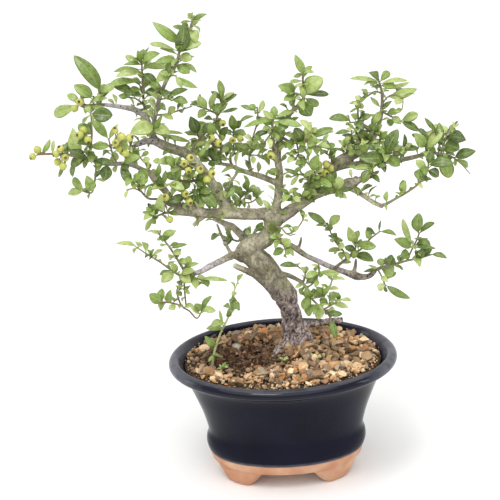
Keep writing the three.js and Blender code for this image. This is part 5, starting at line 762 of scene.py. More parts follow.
        "leaves": [
            [86, 76, 96, 94, 10, -6], [85, 73, 66, 74, 11, -7], [87, 76, 80, 80, 5, 4],
            [87, 74, 96.5, 66, 9, -5], [75, 65, 67, 54, 8, -5], [88, 77, 101, 80, 5, -3],
            [98, 77.5, 112, 79, 5, -3], [104, 79, 107, 83, 4, 3], [84, 71, 75, 69, 5, 5],
            [88, 78, 97, 85, 3, 3], [79, 68, 60, 66, 5, -4], [86, 74, 93, 71, 6, 6], [76, 66, 70, 60, 5, 6],
            [86, 75, 82, 82, 6, 6], [78, 67.5, 86, 67, 5, -6], [96, 77, 97, 70, 5, 5],
        ],
        "fill": 5,
    },
    "spray_right_crown": {
        "stems": [
            [[83.5, 104, 33.5, 1.7], [85, 113, 33, 1.5], [85, 124, 30, 1.2], [83, 133, 28, 1]],
            [[85, 122, 31, 0.9], [80, 124, 34, 0.9], [73, 120, 37, 0.8], [67, 116, 39, 0.7]],
            [[84, 109, 34, 1], [92, 104, 30, 0.9], [99, 100, 26, 0.7]],
            [[85, 114, 33, 0.8], [89, 119, 28, 0.7], [95, 121, 23, 0.6], [101, 117, 20, 0.5],
             [100, 109, 19, 0.5]],
        ],
        "leaves": [
            [83, 132, 76, 139, 6, -4], [83, 133, 61, 135, 4, 4], [83, 132.5, 79, 138, 3, 4],
            [84, 126, 78, 128, 3.5, -4], [84, 128, 96, 127, 8, -6], [84, 130, 92, 139, 6, 5],
            [84, 129, 105, 132, 4, -4], [84.5, 126, 107, 130, 3.5, 5], [89, 119, 112, 125, 7.5, -4],
            [90, 119.5, 99, 121, 5, 4], [99, 100, 112, 105.5, 7.5, -3], [98, 100, 113, 92, 6, -4],
            [92, 104, 99, 98, 6, -5], [88, 106, 97, 107, 6, -4], [86, 110, 92, 116, 4, -5],
            [67, 116, 60, 116, 3, -3], [68, 117, 65, 121.5, 5, 3], [70, 118, 74, 122, 3, -3],
            [67, 116, 70, 111, 4.5, -3], [95, 102.5, 88, 98, 6, 4], [85, 119, 89, 117, 4, 5],
            [84, 131, 76, 130, 5, 6], [99, 110, 94, 108, 4, -3], [84, 107, 78, 99, 6, -5],
        ],
        "fill": 5,
    },
    "spray_right_inner": {
        "stems": [
            [[69, 99.3, 32, 1.3], [66.5, 101, 32, 1.1], [66, 108, 30, 1], [66.5, 114, 28, 0.8]],
            [[66.3, 102, 32, 0.8], [60, 101, 29, 0.8], [59, 106, 27, 0.6]],
        ],
        "leaves": [
            [59, 102, 44, 105, 7, -4], [60, 101, 56, 99.5, 2.5, 3], [66.5, 104, 76, 106, 5.5, -4],
            [66.3, 110, 71, 109, 2, 3], [66.5, 113, 63, 117, 3, 3], [66.4, 112, 60, 109, 2, -4],
        ],
        "fill": 2,
    },
    "spray_right_heart": {
        "stems": [
            [[77, 92, 30, 1.2], [82, 90, 25, 1], [82, 84, 20, 0.8]],
        ],
        "leaves": [
            [82, 86, 88, 92, 6, -4], [82, 88, 77, 83, 7, -4], [80, 91, 84, 98, 6, -6],
            [81, 90.5, 75, 99, 6, -6], [82, 85, 87, 85, 4, -4], [82, 84, 76, 79, 6, 4],
        ],
        "fill": 3,
    },
    "spray_right_pocket": {
        "stems": [
            [[75, 89, 29, 1.1], [70, 86, 22, 0.9], [69, 82, 19, 0.7]],
        ],
        "leaves": [
            [72, 87, 69, 94, 9, -5], [70, 86, 66, 92, 5, 5], [69, 83, 78, 83, 7, -5], [70, 86, 76, 80, 6, -6],
            [72, 87, 76, 92, 6, -8],
        ],
        "fill": 2,
    },
    "spray_right_top_twigs": {
        "stems": [
            [[57, 75, 25, 1.2], [56, 80, 21, 1], [54.5, 84, 18, 0.8]],
            [[56.2, 79.5, 21.5, 0.9], [61, 80, 15, 0.9], [66, 80, 9, 0.8]],
        ],
        "leaves": [
            [55, 83, 58.5, 90, 5, -2], [54.5, 84, 51, 86.5, 4, -3], [56, 80, 52, 81, 2.5, 3],
            [60.5, 80, 68, 77, 6, -4], [64, 80, 57, 76, 5, -4], [66, 80, 73, 83, 6, -3],
            [56, 80, 62, 84, 5, 6],
        ],
        "fill": 1,
    },
    "spray_right_top_leaf": {
        "stems": [
            [[63, 78, 26, 1.1], [60, 88, 22, 0.9], [61, 95, 20, 0.7]],
        ],
        "leaves": [
            [60, 94, 48, 93, 3.5, -3], [61, 95, 57, 97, 3, 3], [60, 92, 66, 88, 5, 6],
            [60, 90, 55, 87, 5, -4],
        ],
        "fill": 1,
    },
    "spray_right_low_twig": {
        "stems": [
            [[45, 68, 20, 1.1], [44, 75, 14, 0.9], [39, 79, 10, 0.7]],
        ],
        "leaves": [
            [41, 78, 36, 81, 3, -3], [44, 75, 48, 79, 3, 4], [43, 77, 49, 82, 5, -4],
        ],
        "fill": 1,
    },
    "spray_lower_right_end": {
        "stems": [
            [[73, -13.5, 26.5, 1.6], [78, -11.5, 23, 1.5], [88, -9.5, 18, 1.3], [98, -7, 14, 1.1],
              [108, -5.5, 10, 0.9], [118, -3, 7, 0.7]],
            [[99, -7, 14, 0.9], [102, 0, 9, 0.8], [107, 9, 5, 0.8], [109, 14, 3, 0.7]],
            [[76, -12.5, 24.5, 0.9], [79, -19, 20, 0.8], [81, -25, 17, 0.7]],
        ],
        "leaves": [
            [108.5, 13, 109, 28.5, 9, -3], [104, 4, 97, 25, 5, 4], [108.5, 12, 121, 21.5, 5, 3],
            [103, 2, 90, 10, 8, -5], [101, -1, 94, -3, 7.5, -4], [107, 9, 117, 4, 6, -5],
            [104, 3, 118, 5, 4, 4], [105, 5, 122, 2, 3.5, 7], [112, -4.5, 118, 1, 6, -4],
            [106, -6, 113, 2, 7, -4], [117, -3, 129.5, -6, 4.5, -3], [102, -6.5, 108, -4, 5, 5],
            [84, -10.5, 87, -2, 8, -4], [80, -11, 78, -4, 7, 4], [77, -12, 88, -17, 12, -7],
            [80, -21, 90, -15, 4, 4], [81, -24, 100, -36, 6, -5], [79, -18, 83, -22, 5, -5],
            [80, -23, 76, -29, 6, -3], [81, -25, 82, -31, 3, 3], [75.5, -13, 65, -14, 3, -4],
            [90, -9, 95.5, -14, 2.5, -3], [76, -12.5, 69, -9, 2.5, 4], [98, -7, 99, -3, 4, -3],
            [112, -4.7, 107, 0, 5, 5], [86, -10, 80, -6, 6, 6],
        ],
        "fill": 6,
    },
    "spray_lower_right_twig": {
        "stems": [
            [[43, -10, 28, 1.5], [50, -5, 24, 1.3], [58, 0, 20, 1.2], [65, 4.5, 16, 1], [71, 11, 12, 0.9],
              [79, 16.5, 8, 0.7]],
            [[52, -3.5, 23, 1], [50, 3, 20, 0.9], [45, 9, 17, 0.8], [41.5, 16, 15, 0.7], [39, 24, 13, 0.6]],
            [[58, 0, 20, 0.8], [60, 6, 16, 0.8], [59, 10, 14, 0.6]],
        ],
        "leaves": [
            [59, 9, 55, 20.5, 7.5, -3], [59.5, 9, 62.5, 18, 5, 3], [59, 7, 75.5, 5, 7.5, -5],
            [56, 0, 73, -6, 7.5, -6], [60, 2, 52, 6, 6, -4], [50, 2, 48, -3, 6, -4], [50, 3, 38, 3.5, 4, 4],
            [46, 8, 51, 6, 6, -4], [43, 13, 41, 10, 4, -3], [39.3, 23, 25.5, 33.5, 6, -4],
            [39.3, 22, 49, 30, 7, 3], [39.5, 22, 29.5, 24, 3, 4], [40, 21, 42.5, 24, 4.5, -4],
            [40.5, 19, 36, 20, 3, 3], [71, 11, 68, 18, 5, -3], [76, 15, 68.5, 20, 5, 4],
            [79, 16.5, 91.5, 13, 4, -3], [79, 16.5, 80, 25, 2, 3], [47, -7, 56, -6, 4, -5],
            [62, 3, 57, -3, 6, -5], [66, 5.5, 60, 10, 6, 6], [48, 5, 44, 2, 5, 5], [54, -2, 60, 3, 5, 7],
            [45, 9, 50, 12, 5, 6],
        ],
        "fill": 6,
    },
    "spray_inner_curl": {
        "stems": [
            [[-1, 24, 0, 1.1], [4, 22, -5, 0.9], [7, 18, -7, 0.8], [13, 19.5, -9, 0.8], [19, 26, -10, 0.7],
              [22, 32, -10, 0.6]],
            [[7.5, 18, -7, 0.6], [10, 16.5, -8, 0.6], [14, 17.5, -8, 0.5]],
        ],
        "leaves": [
            [21, 30, 24, 31, 3.5, -2], [22, 32, 19, 34, 3, 2], [20, 28, 24.5, 27, 2, 2],
        ],
        "fill": 1,
    },
}

# Berry bunches: the stalk's route from its spray, and the middle of each berry
BUNCHES = {
    "berries_far_left_tip": {
        "stalk": [[-176, 88.5, -43, 0.9], [-180, 88, -46, 0.8]],
        "berries": [[-185, 86, -48], [-181, 91, -45]],
    },
    "berries_far_left": {
        "stalk": [[-158, 88.5, -36, 0.9], [-163, 86, -43, 0.8]],
        "berries": [[-163.5, 91, -43], [-167, 87, -45], [-160, 84, -45], [-166, 81, -42], [-162, 77.5, -46]],
    },
    "berries_upper_left_tip": {
        "stalk": [[-144, 122, 5, 0.9], [-147, 124, 2, 0.8]],
        "berries": [[-147, 126, -1], [-151, 121.5, 3]],
    },
    "berries_left_inner": {
        "stalk": [[-139.5, 99, -38, 0.8], [-144, 99, -40, 0.8]],
        "berries": [[-148, 101, -42], [-142, 97, -43], [-145, 104.5, -38]],
    },
    "berries_left_upper": {
        "stalk": [[-125.5, 92, -28, 0.8], [-117, 93, -32, 0.8]],
        "berries": [
            [-121, 103, -32], [-116, 98.5, -34], [-110, 97, -33], [-121, 93.5, -35], [-118, 89, -31],
            [-113.5, 85, -34],
        ],
    },
    "berries_left_low": {
        "stalk": [[-85, 44, -19, 0.8], [-84, 42, -23, 0.8]],
        "berries": [[-82, 33, -24], [-84.5, 50, -25]],
    },
    "berries_left_middle": {
        "stalk": [[-70, 53, -11, 0.8], [-68, 54, -15, 0.8]],
        "berries": [[-69, 52, -19], [-66.5, 46, -17]],
    },
    "berries_left_heart": {
        "stalk": [[-68, 72, -6, 0.8], [-65, 74, -11, 0.8], [-60, 71, -13, 0.8], [-52, 68, -13, 0.8]],
        "berries": [
            [-64, 79.5, -12], [-69, 75.5, -13], [-66, 70, -15], [-57, 70, -17], [-48, 67, -14],
            [-52, 62.5, -14],
        ],
    },
    "berries_centre_left": {
        "stalk": [[-46.5, 90, 23, 0.8], [-45, 93, 18, 0.8]],
        "berries": [[-47, 94, 14], [-42, 90, 17]],
    },
    "berries_centre_back": {
        "stalk": [[-30.5, 93, 42, 0.8], [-29, 94, 37, 0.8]],
        "berries": [[-31, 91.5, 34], [-25, 92.5, 35]],
    },
    "berries_upper_centre": {
        "stalk": [[-40, 108, 31, 0.8], [-39, 107, 28, 0.8]],
        "berries": [[-38, 105, 25]],
    },
    "berries_centre": {
        "stalk": [[1, 82, 5, 0.8], [-1, 81, 1, 0.8]],
        "berries": [[-2, 78.5, -2]],
    },
    "berries_right": {
        "stalk": [[35, 61, 9, 0.9], [36, 66, 4, 0.9]],
        "berries": [[34, 70, 2], [40, 70, 1], [43.5, 66.5, 3], [39, 63, -1], [35.5, 64, 0]],
    },
}


# Places, curves and random draws

def unit(vector):
    return vector / np.linalg.norm(vector)


def upright(facing, axis):
    """The direction square to an axis that is nearest to the one asked for."""
    return unit(facing - axis * facing.dot(axis))


def turns(count):
    return 2 * math.pi * np.arange(count) / count


def place(points):
    """Points [across, up, back] of the drawing sheet, in the round, in millimetres."""
    points = np.asarray(points, float)
    across, up, back = points[..., 0], points[..., 1], points[..., 2]
    c, s = math.cos(SHEET_TILT), math.sin(SHEET_TILT)
    rise = (up * (1 + back * c / SHEET_DISTANCE) - back * s) / (c + up * s / SHEET_DISTANCE)
    nearer = rise * s - back * c
    return np.stack([across * (1 - nearer / SHEET_DISTANCE), back, SHEET_HEIGHT + rise], -1)


def to_frame(points):
    """Millimetres round the pot's axis, as metres of the frame."""
    return (np.asarray(points) + POT_AXIS / MM) * MM


def random_from(seed):
    state = seed

    def draw():
        nonlocal state
        state = (state * 1664525 + 1013904223) % 4294967296
        return state / 4294967296

    return draw


def smooth(route, step):
    """Points on a smooth curve through all the route's points, about one step apart."""
    points = []
    last = len(route) - 1
    for i in range(last):
        a, b, c, d = (np.array(route[k], float) for k in (max(i - 1, 0), i, i + 1, min(i + 2, last)))
        count = max(1, math.floor(np.linalg.norm((c - b)[:3]) / step + 0.5))
        for t in np.arange(count) / count:
            points.append(0.5 * (2 * b + (c - a) * t + (2 * a - 5 * b + 4 * c - d) * t * t
                                 + (3 * b - a - 3 * c + d) * t * t * t))
    points.append(np.array(route[-1], float))
    return np.array(points)


def along(route, step, spacing):
    """Points a spacing apart on the straight stretches between a curve's points."""
    line = smooth(route, step)
    points = []
    for start, end in zip(line, line[1:]):
        count = max(1, math.ceil(np.linalg.norm((end - start)[:3]) / spacing))
        points += [start + (end - start) * k / count for k in range(count)]
    points.append(line[-1])
    return points


def nearest_on_sheet(samples, point):
    far = np.array(samples)[:, :2] - np.array(point[:2])
    return samples[int(np.argmin(np.hypot(*far.T)))]


def seat_on(samples, point):
    """The point moved to the nearest sample, with its own radius."""
    far = np.linalg.norm(np.array(samples)[:, :3] - np.array(point[:3]), axis=1)
    return list(samples[int(np.argmin(far))][:3]) + [point[3]]


def seated_stems(stems):
    """Side stems start on the middle line of an earlier stem of their spray."""
    seated = []
    for stem in stems:
        samples = [p for earlier in seated for p in along(earlier, STEM_STEP, SEAT_SPACING)]
        start = seat_on(samples, stem[0]) if samples else stem[0]
        seated.append([start] + stem[1:])
    return seated


# Room for the leaves: each new one leans until it is clear of what is there

class Room:
    def __init__(self):
        self.points = np.zeros((ROOM_POINTS, 3))
        self.radius = np.zeros(ROOM_POINTS)
        self.owner = np.zeros(ROOM_POINTS, int)
        self.count = 0
        self.names = {"wood": 0}

    def take(self, points, radius, owner):
        points = np.atleast_2d(points)
        end = self.count + len(points)
        self.points[self.count:end] = points
        self.radius[self.count:end] = radius
        self.owner[self.count:end] = self.names.setdefault(owner, len(self.names))
        self.count = end

    def around(self, samples, owner):
        """The smallest gap to what is there, where a spray's own leaves count as twice as far."""
        points = self.points[:self.count]
        low, high = samples.min(0) - NEAR, samples.max(0) + NEAR
        near = np.all((points > low) & (points < high), axis=1)
        if not near.any():
            return FAR
        delta = samples[:, None, :] - points[near][None, :, :]
        gap = np.sqrt((delta ** 2).sum(-1)) - self.radius[:self.count][near]
        own = self.owner[:self.count][near] == self.names.get(owner, -1)
        gap = np.where(own[None, :], gap * 2, gap)
        gap[np.any(np.abs(delta) >= NEAR, axis=-1)] = FAR
        return min(FAR, gap.min())

    def outside_wood(self, point):
        wood = self.owner[:self.count] == 0
        far = np.linalg.norm(self.points[:self.count][wood] - point, axis=1)
        return bool((far >= self.radius[:self.count][wood] + WOOD_MARGIN).all())


def blade_samples(blade):
    """Points on a leaf's middle line, and beside it on a wide leaf."""
    axis = blade["tip"] - blade["root"]
    length = np.linalg.norm(axis)
    side = unit(np.cross(axis, blade["normal"]))
    count = max(3, math.ceil(length / SAMPLE_LENGTH))
    samples = []
    for i in range(count + 1):
        t = 0.35 + 0.65 * i / count
        mid = blade["root"] + axis * t + blade["normal"] * BLADE_ARCH * length * 4 * t * (1 - t)
        samples.append(mid)
        if blade["width"] > WIDE_BLADE and 0 < i < count:
            samples += [mid + side * blade["width"] * WIDE_SHARE, mid - side * blade["width"] * WIDE_SHARE]
    return np.array(samples)


def blade_between(root, tip, width, twist):
    facing = np.array([0.6 * (twist[0] - 0.5), -0.8, 0.6 + 0.7 * (twist[1] - 0.5)])
    return {"root": root, "tip": tip, "normal": upright(facing, unit(tip - root)), "width": width}


def table_blade(row, foot, twist, room, name):
    """A leaf of the table, leant forwards or back until it has room or all the tries are used up."""
    best, best_room = None, -FAR
    for extra in LEAN_TRIES:
        tip = place([row[2], row[3], foot[2] + row[5] + extra])
        blade = blade_between(place(foot), tip, row[4], twist)
        free = room.around(blade_samples(blade), name)
        if free > best_room:
            best, best_room = blade, free
        if free > ROOM:
            break
    return best


def fill_blade(foot, random, i):
    length = 8 + 7 * random()
    toward = unit(np.array([random() - 0.5, 1 if i % 2 == 0 else -1, random() - 0.3]))
    root = place(foot)
    normal = upright(np.array([random() - 0.5, 0, 1]), toward)
    return {"root": root, "tip": root + toward * length, "normal": normal, "width": 0.45 * length}


def settle_spray(name, spray, seed, room):
    """Every leaf of a spray, first those of the table and then smaller ones to the back and front."""
    random = random_from(seed)
    samples = [p for stem in spray["stems"] for p in along(stem, STEM_STEP, SEAT_SPACING)[:-1]]
    samples = [p for p in samples if room.outside_wood(place(p))]
    blades = []
    for row in spray["leaves"]:
        foot = nearest_on_sheet(samples, row)
        blade = table_blade(row, foot, [random(), random()], room, name)
        blades.append(blade)
        room.take(blade_samples(blade), 0, name)
    for i in range(spray["fill"] * FILL_TRIES):
        foot = samples[math.floor(random() * len(samples))]
        blade = fill_blade(foot, random, i)
        if room.around(blade_samples(blade), name) > ROOM:
            blades.append(blade)
            room.take(blade_samples(blade), 0, name)
    return blades


# Meshes

class Heap:
    """Gathers the points and faces of many small bodies for one mesh."""

    def __init__(self):
        self.parts = []
        self.faces = []
        self.count = 0

    def add(self, points, faces):
        self.faces += [tuple(self.count + i for i in face) for face in faces]
        self.parts.append(points)
        self.count += len(points)

    def points(self):
        return np.concatenate(self.parts)


def in_scene(name, data):
    thing = bpy.data.objects.new(name, data)
    bpy.context.scene.collection.objects.link(thing)
    return thing


def new_piece(name, verts, faces, materials, replaces=(), smooth_faces=True):
    mesh = bpy.data.meshes.new(name)
    mesh.from_pydata([tuple(v) for v in verts], [], faces)
    mesh.validate()
    for material in materials:
        mesh.materials.append(material)
    mesh.polygons.foreach_set("use_smooth", [smooth_faces] * len(mesh.polygons))
    piece = in_scene(name, mesh)
    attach(piece, "root")
    if replaces:
        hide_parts(*replaces)
    return piece


def set_attribute(mesh, name, values, kind="FLOAT"):
    attribute = mesh.attributes.new(name, kind, "POINT")
    field = "value" if kind == "FLOAT" else "vector"
    attribute.data.foreach_set(field, np.asarray(values, np.float32).ravel())


def neighbours(count):
    return [(i, (i + 1) % count) for i in range(count)]


def ring_faces(rings, sides, close=False):
    """Quads between rings; with close, the last ring joins the first, otherwise both ends are capped."""
    faces = []
    for r in range(rings if close else rings - 1):
        low, high = r * sides, ((r + 1) % rings) * sides
        faces += [(low + i, low + j, high + j, high + i) for i, j in neighbours(sides)]
    if not close:
        faces.append(tuple(reversed(range(sides))))
        faces.append(tuple((rings - 1) * sides + i for i in range(sides)))
    return faces


def tube(route, sides, step, taper=1.0):
    """Points, faces and radii of a tube along a route of the drawing sheet, rounded at both ends."""
    line = smooth(route, step)
    centres = to_frame(place(line[:, :3]))
    radii = line[:, 3] * MM
    tangents = np.gradient(centres, axis=0)
    tangents /= np.linalg.norm(tangents, axis=1)[:, None]
    normal = np.array([0.3, 1, 0.2])
    angles = turns(sides)
    rows = [(0, back, share) for back, share in TUBE_CAP] + [(i, 0, 1) for i in range(len(line))]
    rows += [(len(line) - 1, -back * taper, share) for back, share in reversed(TUBE_CAP)]
    rings = []
    for i, shift, share in rows:
        normal = upright(normal, tangents[i])
        binormal = np.cross(tangents[i], normal)
        circle = np.outer(np.cos(angles), normal) + np.outer(np.sin(angles), binormal)
        rings.append(centres[i] + tangents[i] * shift * radii[i] + radii[i] * share * circle)
    row_radii = np.repeat([radii[i] for i, _, _ in rows], sides)
    return np.concatenate(rings), ring_faces(len(rows), sides), row_radii / MM


def joined(tubes):
    heap = Heap()
    for points, faces, _ in tubes:
        heap.add(points, faces)
    return heap.points(), heap.faces, np.concatenate([radii for _, _, radii in tubes])


# Materials

class Nodes:
    """A material in the making: it adds shader nodes and joins them."""

    def __init__(self, name):
        self.material = bpy.data.materials.new(name)
        self.material.use_nodes = True
        self.tree = self.material.node_tree
        self.shader = self.tree.nodes["Principled BSDF"]

    def add(self, kind, inputs=(), **settings):
        node = self.tree.nodes.new(kind)
        for key, value in settings.items():
            setattr(node, key, value)
        for key, value in dict(inputs).items():
            self.give(node.inputs[key], value)
        return node

    def give(self, socket, value):
        if isinstance(value, bpy.types.NodeSocket):
            self.tree.links.new(value, socket)
        elif isinstance(value, bpy.types.Node):
            self.tree.links.new(value.outputs[0], socket)
        else:
            socket.default_value = value

    def attribute(self, name, output="Fac"):
        return self.add("ShaderNodeAttribute", attribute_name=name).outputs[output]

    def noise(self, scale, detail=3, stretch=(1, 1, 1), rough=0.5):
        place_node = self.add("ShaderNodeTexCoord").outputs["Object"]
        mapped = self.add("ShaderNodeMapping", {"Vector": place_node, "Scale": stretch})
        inputs = {"Vector": mapped, "Scale": scale, "Detail": detail, "Roughness": rough}
        return self.add("ShaderNodeTexNoise", inputs).outputs["Fac"]

    def cells(self, scale):
        place_node = self.add("ShaderNodeTexCoord").outputs["Object"]
        return self.add("ShaderNodeTexVoronoi", {"Vector": place_node, "Scale": scale}).outputs["Distance"]

    def math(self, operation, a, b=0.0):
        node = self.add("ShaderNodeMath", operation=operation)
        self.give(node.inputs[0], a)
        self.give(node.inputs[1], b)
        return node.outputs[0]

    def ramp(self, value, low, high, start=0.0, end=1.0):
        inputs = {"Value": value, "From Min": low, "From Max": high, "To Min": start, "To Max": end}
        return self.add("ShaderNodeMapRange", inputs, clamp=True).outputs[0]

    def mix(self, share, a, b):
        node = self.add("ShaderNodeMix", data_type="RGBA")
        self.give(node.inputs["Factor"], share)
        for key, value in (("A", a), ("B", b)):
            socket = next(s for s in node.inputs if s.name == key and s.type == "RGBA")
            self.give(socket, value if isinstance(value, bpy.types.NodeSocket) else (*value, 1))
        return next(s for s in node.outputs if s.type == "RGBA")

    def let_light_in(self, weight, radius):
        self.shader.inputs["Subsurface Weight"].default_value = weight
        self.shader.inputs["Subsurface Radius"].default_value = radius
        self.shader.inputs["Subsurface Scale"].default_value = MM

    def finish(self, color, roughness, bump=None, bump_size=0.0003, strength=1.0, specular=0.5):
        self.give(self.shader.inputs["Base Color"], color)
        self.give(self.shader.inputs["Roughness"], roughness)
        self.shader.inputs["Specular IOR Level"].default_value = specular
        if bump is not None:
            inputs = {"Height": bump, "Distance": bump_size, "Strength": strength}
            self.give(self.shader.inputs["Normal"], self.add("ShaderNodeBump", inputs))
        return self.material


def leaf_material(name, shades, rough):
    """A leaf in three shades, with a pale midrib and side veins, and a dry edge on a few leaves."""
    dark, mid, pale = shades
    n = Nodes(name)
    tone = n.attribute("leaf_tone")
    where = n.add("ShaderNodeSeparateXYZ", {"Vector": n.attribute("leaf_place", "Vector")})
    far, chance = where.outputs[0], where.outputs[2]
    side = n.math("ABSOLUTE", where.outputs[1])
    mottle = n.noise(350, 4)
    shade = n.math("ADD", tone, n.ramp(mottle, 0.3, 0.7, -0.12, 0.12))
    color = n.mix(n.ramp(shade, 0, 0.5), dark, mid)
    color = n.mix(n.ramp(shade, 0.5, 1), color, pale)
    midrib = n.ramp(side, 0.02, 0.1, 1, 0)
    lateral = n.math("SINE", n.math("SUBTRACT", n.math("MULTIPLY", far, 62), n.math("MULTIPLY", side, 13)))
    veins = n.math("MAXIMUM", midrib, n.ramp(lateral, 0.8, 1, 0, 0.45))
    color = n.mix(n.math("MULTIPLY", veins, 0.35), color, pale)
    rim = n.ramp(n.math("ADD", side, n.math("MULTIPLY", mottle, 0.4)), 0.9, 1.15)
    color = n.mix(n.math("MULTIPLY", n.ramp(chance, 0.955, 0.965), rim), color, LEAF_DRY_EDGE)
    n.let_light_in(0.12, (0.6, 1.0, 0.25))
    return n.finish(color, n.ramp(mottle, 0.3, 0.7, rough - 0.06, rough + 0.08), veins, 0.00012, 0.6)


def twig_material():
    n = Nodes("young bark")
    age = n.ramp(n.attribute("radius"), 0.65, 1.5)
    streak = n.noise(500, 4, (1, 1, 0.4))
    color = n.mix(age, n.mix(n.ramp(n.noise(45, 2), 0.42, 0.62), *TWIG_YOUNG), TWIG_OLD)
    color = n.mix(n.ramp(streak, 0.35, 0.7, 0.0, 0.55), color, TWIG_STREAK)
    color = n.mix(n.math("MULTIPLY", n.attribute("fresh"), 0.88), color, SHOOT_GREEN)
    return n.finish(color, 0.62, streak, 0.0002, 0.6)


def bark_material():
    """Smooth olive bark on the limbs and cracked lilac-brown bark on the old trunk, with painted shade on the
    undersides.
    """
    n = Nodes("bark")
    old = n.attribute("bark_old")
    fine = n.noise(520, 6, (1, 1, 0.6), 0.65)
    broad = n.ramp(n.noise(75, 4), 0.35, 0.65)
    limb = n.mix(broad, *LIMB_BARK)
    limb = n.mix(n.ramp(n.noise(110, 5), 0.5, 0.62, 0, 0.6), limb, LIMB_PATCH)
    limb = n.mix(n.attribute("bark_lilac"), limb, LILAC_BARK)
    trunk = n.mix(broad, *TRUNK_BARK)
    trunk = n.mix(n.ramp(n.noise(230, 5), 0.5, 0.66, 0, 0.85), trunk, TRUNK_PATCH)
    color = n.mix(old, limb, trunk)
    grain = n.math("MULTIPLY", n.ramp(fine, 0.38, 0.54, 1, 0), n.ramp(old, 0, 1, 0.5, 0.6))
    color = n.mix(grain, color, BARK_GRAIN)
    color = n.mix(n.ramp(n.attribute("bark_depth"), 0, 0.75, 0, 0.88), color, BARK_CRACK)
    pits = n.math("MULTIPLY", n.ramp(n.cells(230), 0.12, 0.22, 0.9, 0), n.ramp(n.noise(60), 0.42, 0.5))
    color = n.mix(pits, color, BARK_PIT)
    # Painted shade: the parts of the wood that face down are darkened
    color = n.mix(n.ramp(n.attribute("painted_underside_shade"), 0.15, 0.85, 0, 0.66), color, PAINTED_UNDERSIDE_SHADE)
    moss = n.math("MULTIPLY", n.attribute("bark_moss"), n.ramp(n.noise(230, 4), 0.35, 0.55))
    color = n.mix(moss, color, MOSS)
    lichen = n.math("MULTIPLY", n.attribute("bark_lichen"), n.ramp(n.noise(260, 4), 0.38, 0.5))
    color = n.mix(n.math("MULTIPLY", lichen, 0.6), color, LICHEN)
    color = n.mix(n.attribute("bark_cut"), color, CUT_WOOD)
    return n.finish(color, n.ramp(fine, 0.3, 0.7, 0.7, 0.92), fine, 0.0012, 0.9, 0.3)


def glaze_material():
    """Navy glaze, thin and grey at its lower edge and on the lip's rim, with painted sheen, a reflection
    painted as paler glaze, on the lip's left and right ends; glossiest on the lip.
    """
    n = Nodes("navy glaze")
    place_node = n.add("ShaderNodeTexCoord").outputs["Object"]
    height = n.add("ShaderNodeSeparateXYZ", {"Vector": place_node}).outputs[2]
    cloud = n.noise(28, 3)
    color = n.mix(n.ramp(cloud, 0.35, 0.7), *GLAZE)
    # Paler glaze at the thin lower edge and the lip's rim, and painted sheen, a reflection painted as paler
    # glaze, on the lip's ends
    thin_glaze_and_painted_sheen = n.math("ADD", n.ramp(height, 0.0225, 0.0262, 1, 0), n.ramp(n.attribute("lip_thin_glaze_and_painted_sheen"), 0.1, 1))
    color = n.mix(n.math("MULTIPLY", thin_glaze_and_painted_sheen, n.ramp(n.noise(120, 3), 0.3, 0.6, 0.55, 1)), color, THIN_GLAZE_AND_PAINTED_SHEEN)
    n.give(n.shader.inputs["Coat Weight"], n.ramp(height, 0.0925, 0.094, 0.12, 0.45))
    n.shader.inputs["Coat Roughness"].default_value = 0.04
    return n.finish(color, n.ramp(cloud, 0.3, 0.7, 0.14, 0.24), n.noise(150, 2), 0.00025, 0.35, 0.05)


def clay_material():
    n = Nodes("bare clay")
    color = n.mix(n.ramp(n.noise(70, 4), 0.35, 0.65), *CLAY)
    color = n.mix(n.ramp(n.noise(900, 3), 0.55, 0.75, 0, 0.5), color, CLAY_SPECK)
    color = n.mix(n.ramp(n.noise(38, 2), 0.5, 0.7, 0, 0.45), color, CLAY_PALE)
    return n.finish(color, 0.85, n.noise(1200, 3), 0.00012, 0.7, 0.3)


def grit_material():
    n = Nodes("grit")
    fine = n.noise(900, 5, rough=0.7)
    color = n.mix(n.ramp(fine, 0.35, 0.65, 0.35, 0), n.attribute("grit_color", "Color"), GRIT_DIRT)
    color = n.mix(n.ramp(n.noise(420, 3), 0.55, 0.75, 0, 0.35), color, GRIT_DUST)
    return n.finish(color, 0.92, fine, 0.0005, 0.8, 0.25)


def bed_material():
    n = Nodes("fine soil and painted gap shade")
    # The bed is dark enough to be painted shade in the gaps between the stones as well as the soil's own dark
    # brown
    color = n.mix(n.ramp(n.noise(500, 5), 0.35, 0.65), *FINE_SOIL_AND_PAINTED_GAP_SHADE)
    return n.finish(color, 0.95, n.noise(900, 5), 0.0012, 1.0, 0.2)


def berry_material():
    n = Nodes("berry skin")
    blush = n.noise(90, 3)
    color = n.mix(n.ramp(blush, 0.4, 0.65), *BERRY_SKIN)
    color = n.mix(n.ramp(n.attribute("berry_end"), 0.72, 0.95, 0, 0.55), color, BERRY_BLUSH)
    color = n.mix(n.ramp(n.noise(1500, 2), 0.62, 0.75, 0, 0.35), color, BERRY_SPECK)
    n.let_light_in(0.15, (1.0, 0.9, 0.3))
    return n.finish(color, 0.34, blush, 0.0002, 0.3)


def plain_material(name, pair, scale, rough):
    n = Nodes(name)
    speck = n.noise(scale, 4)
    return n.finish(n.mix(n.ramp(speck, 0.35, 0.65), *pair), rough, speck, 0.0003, 0.5, 0.3)


# Leaves and twigs

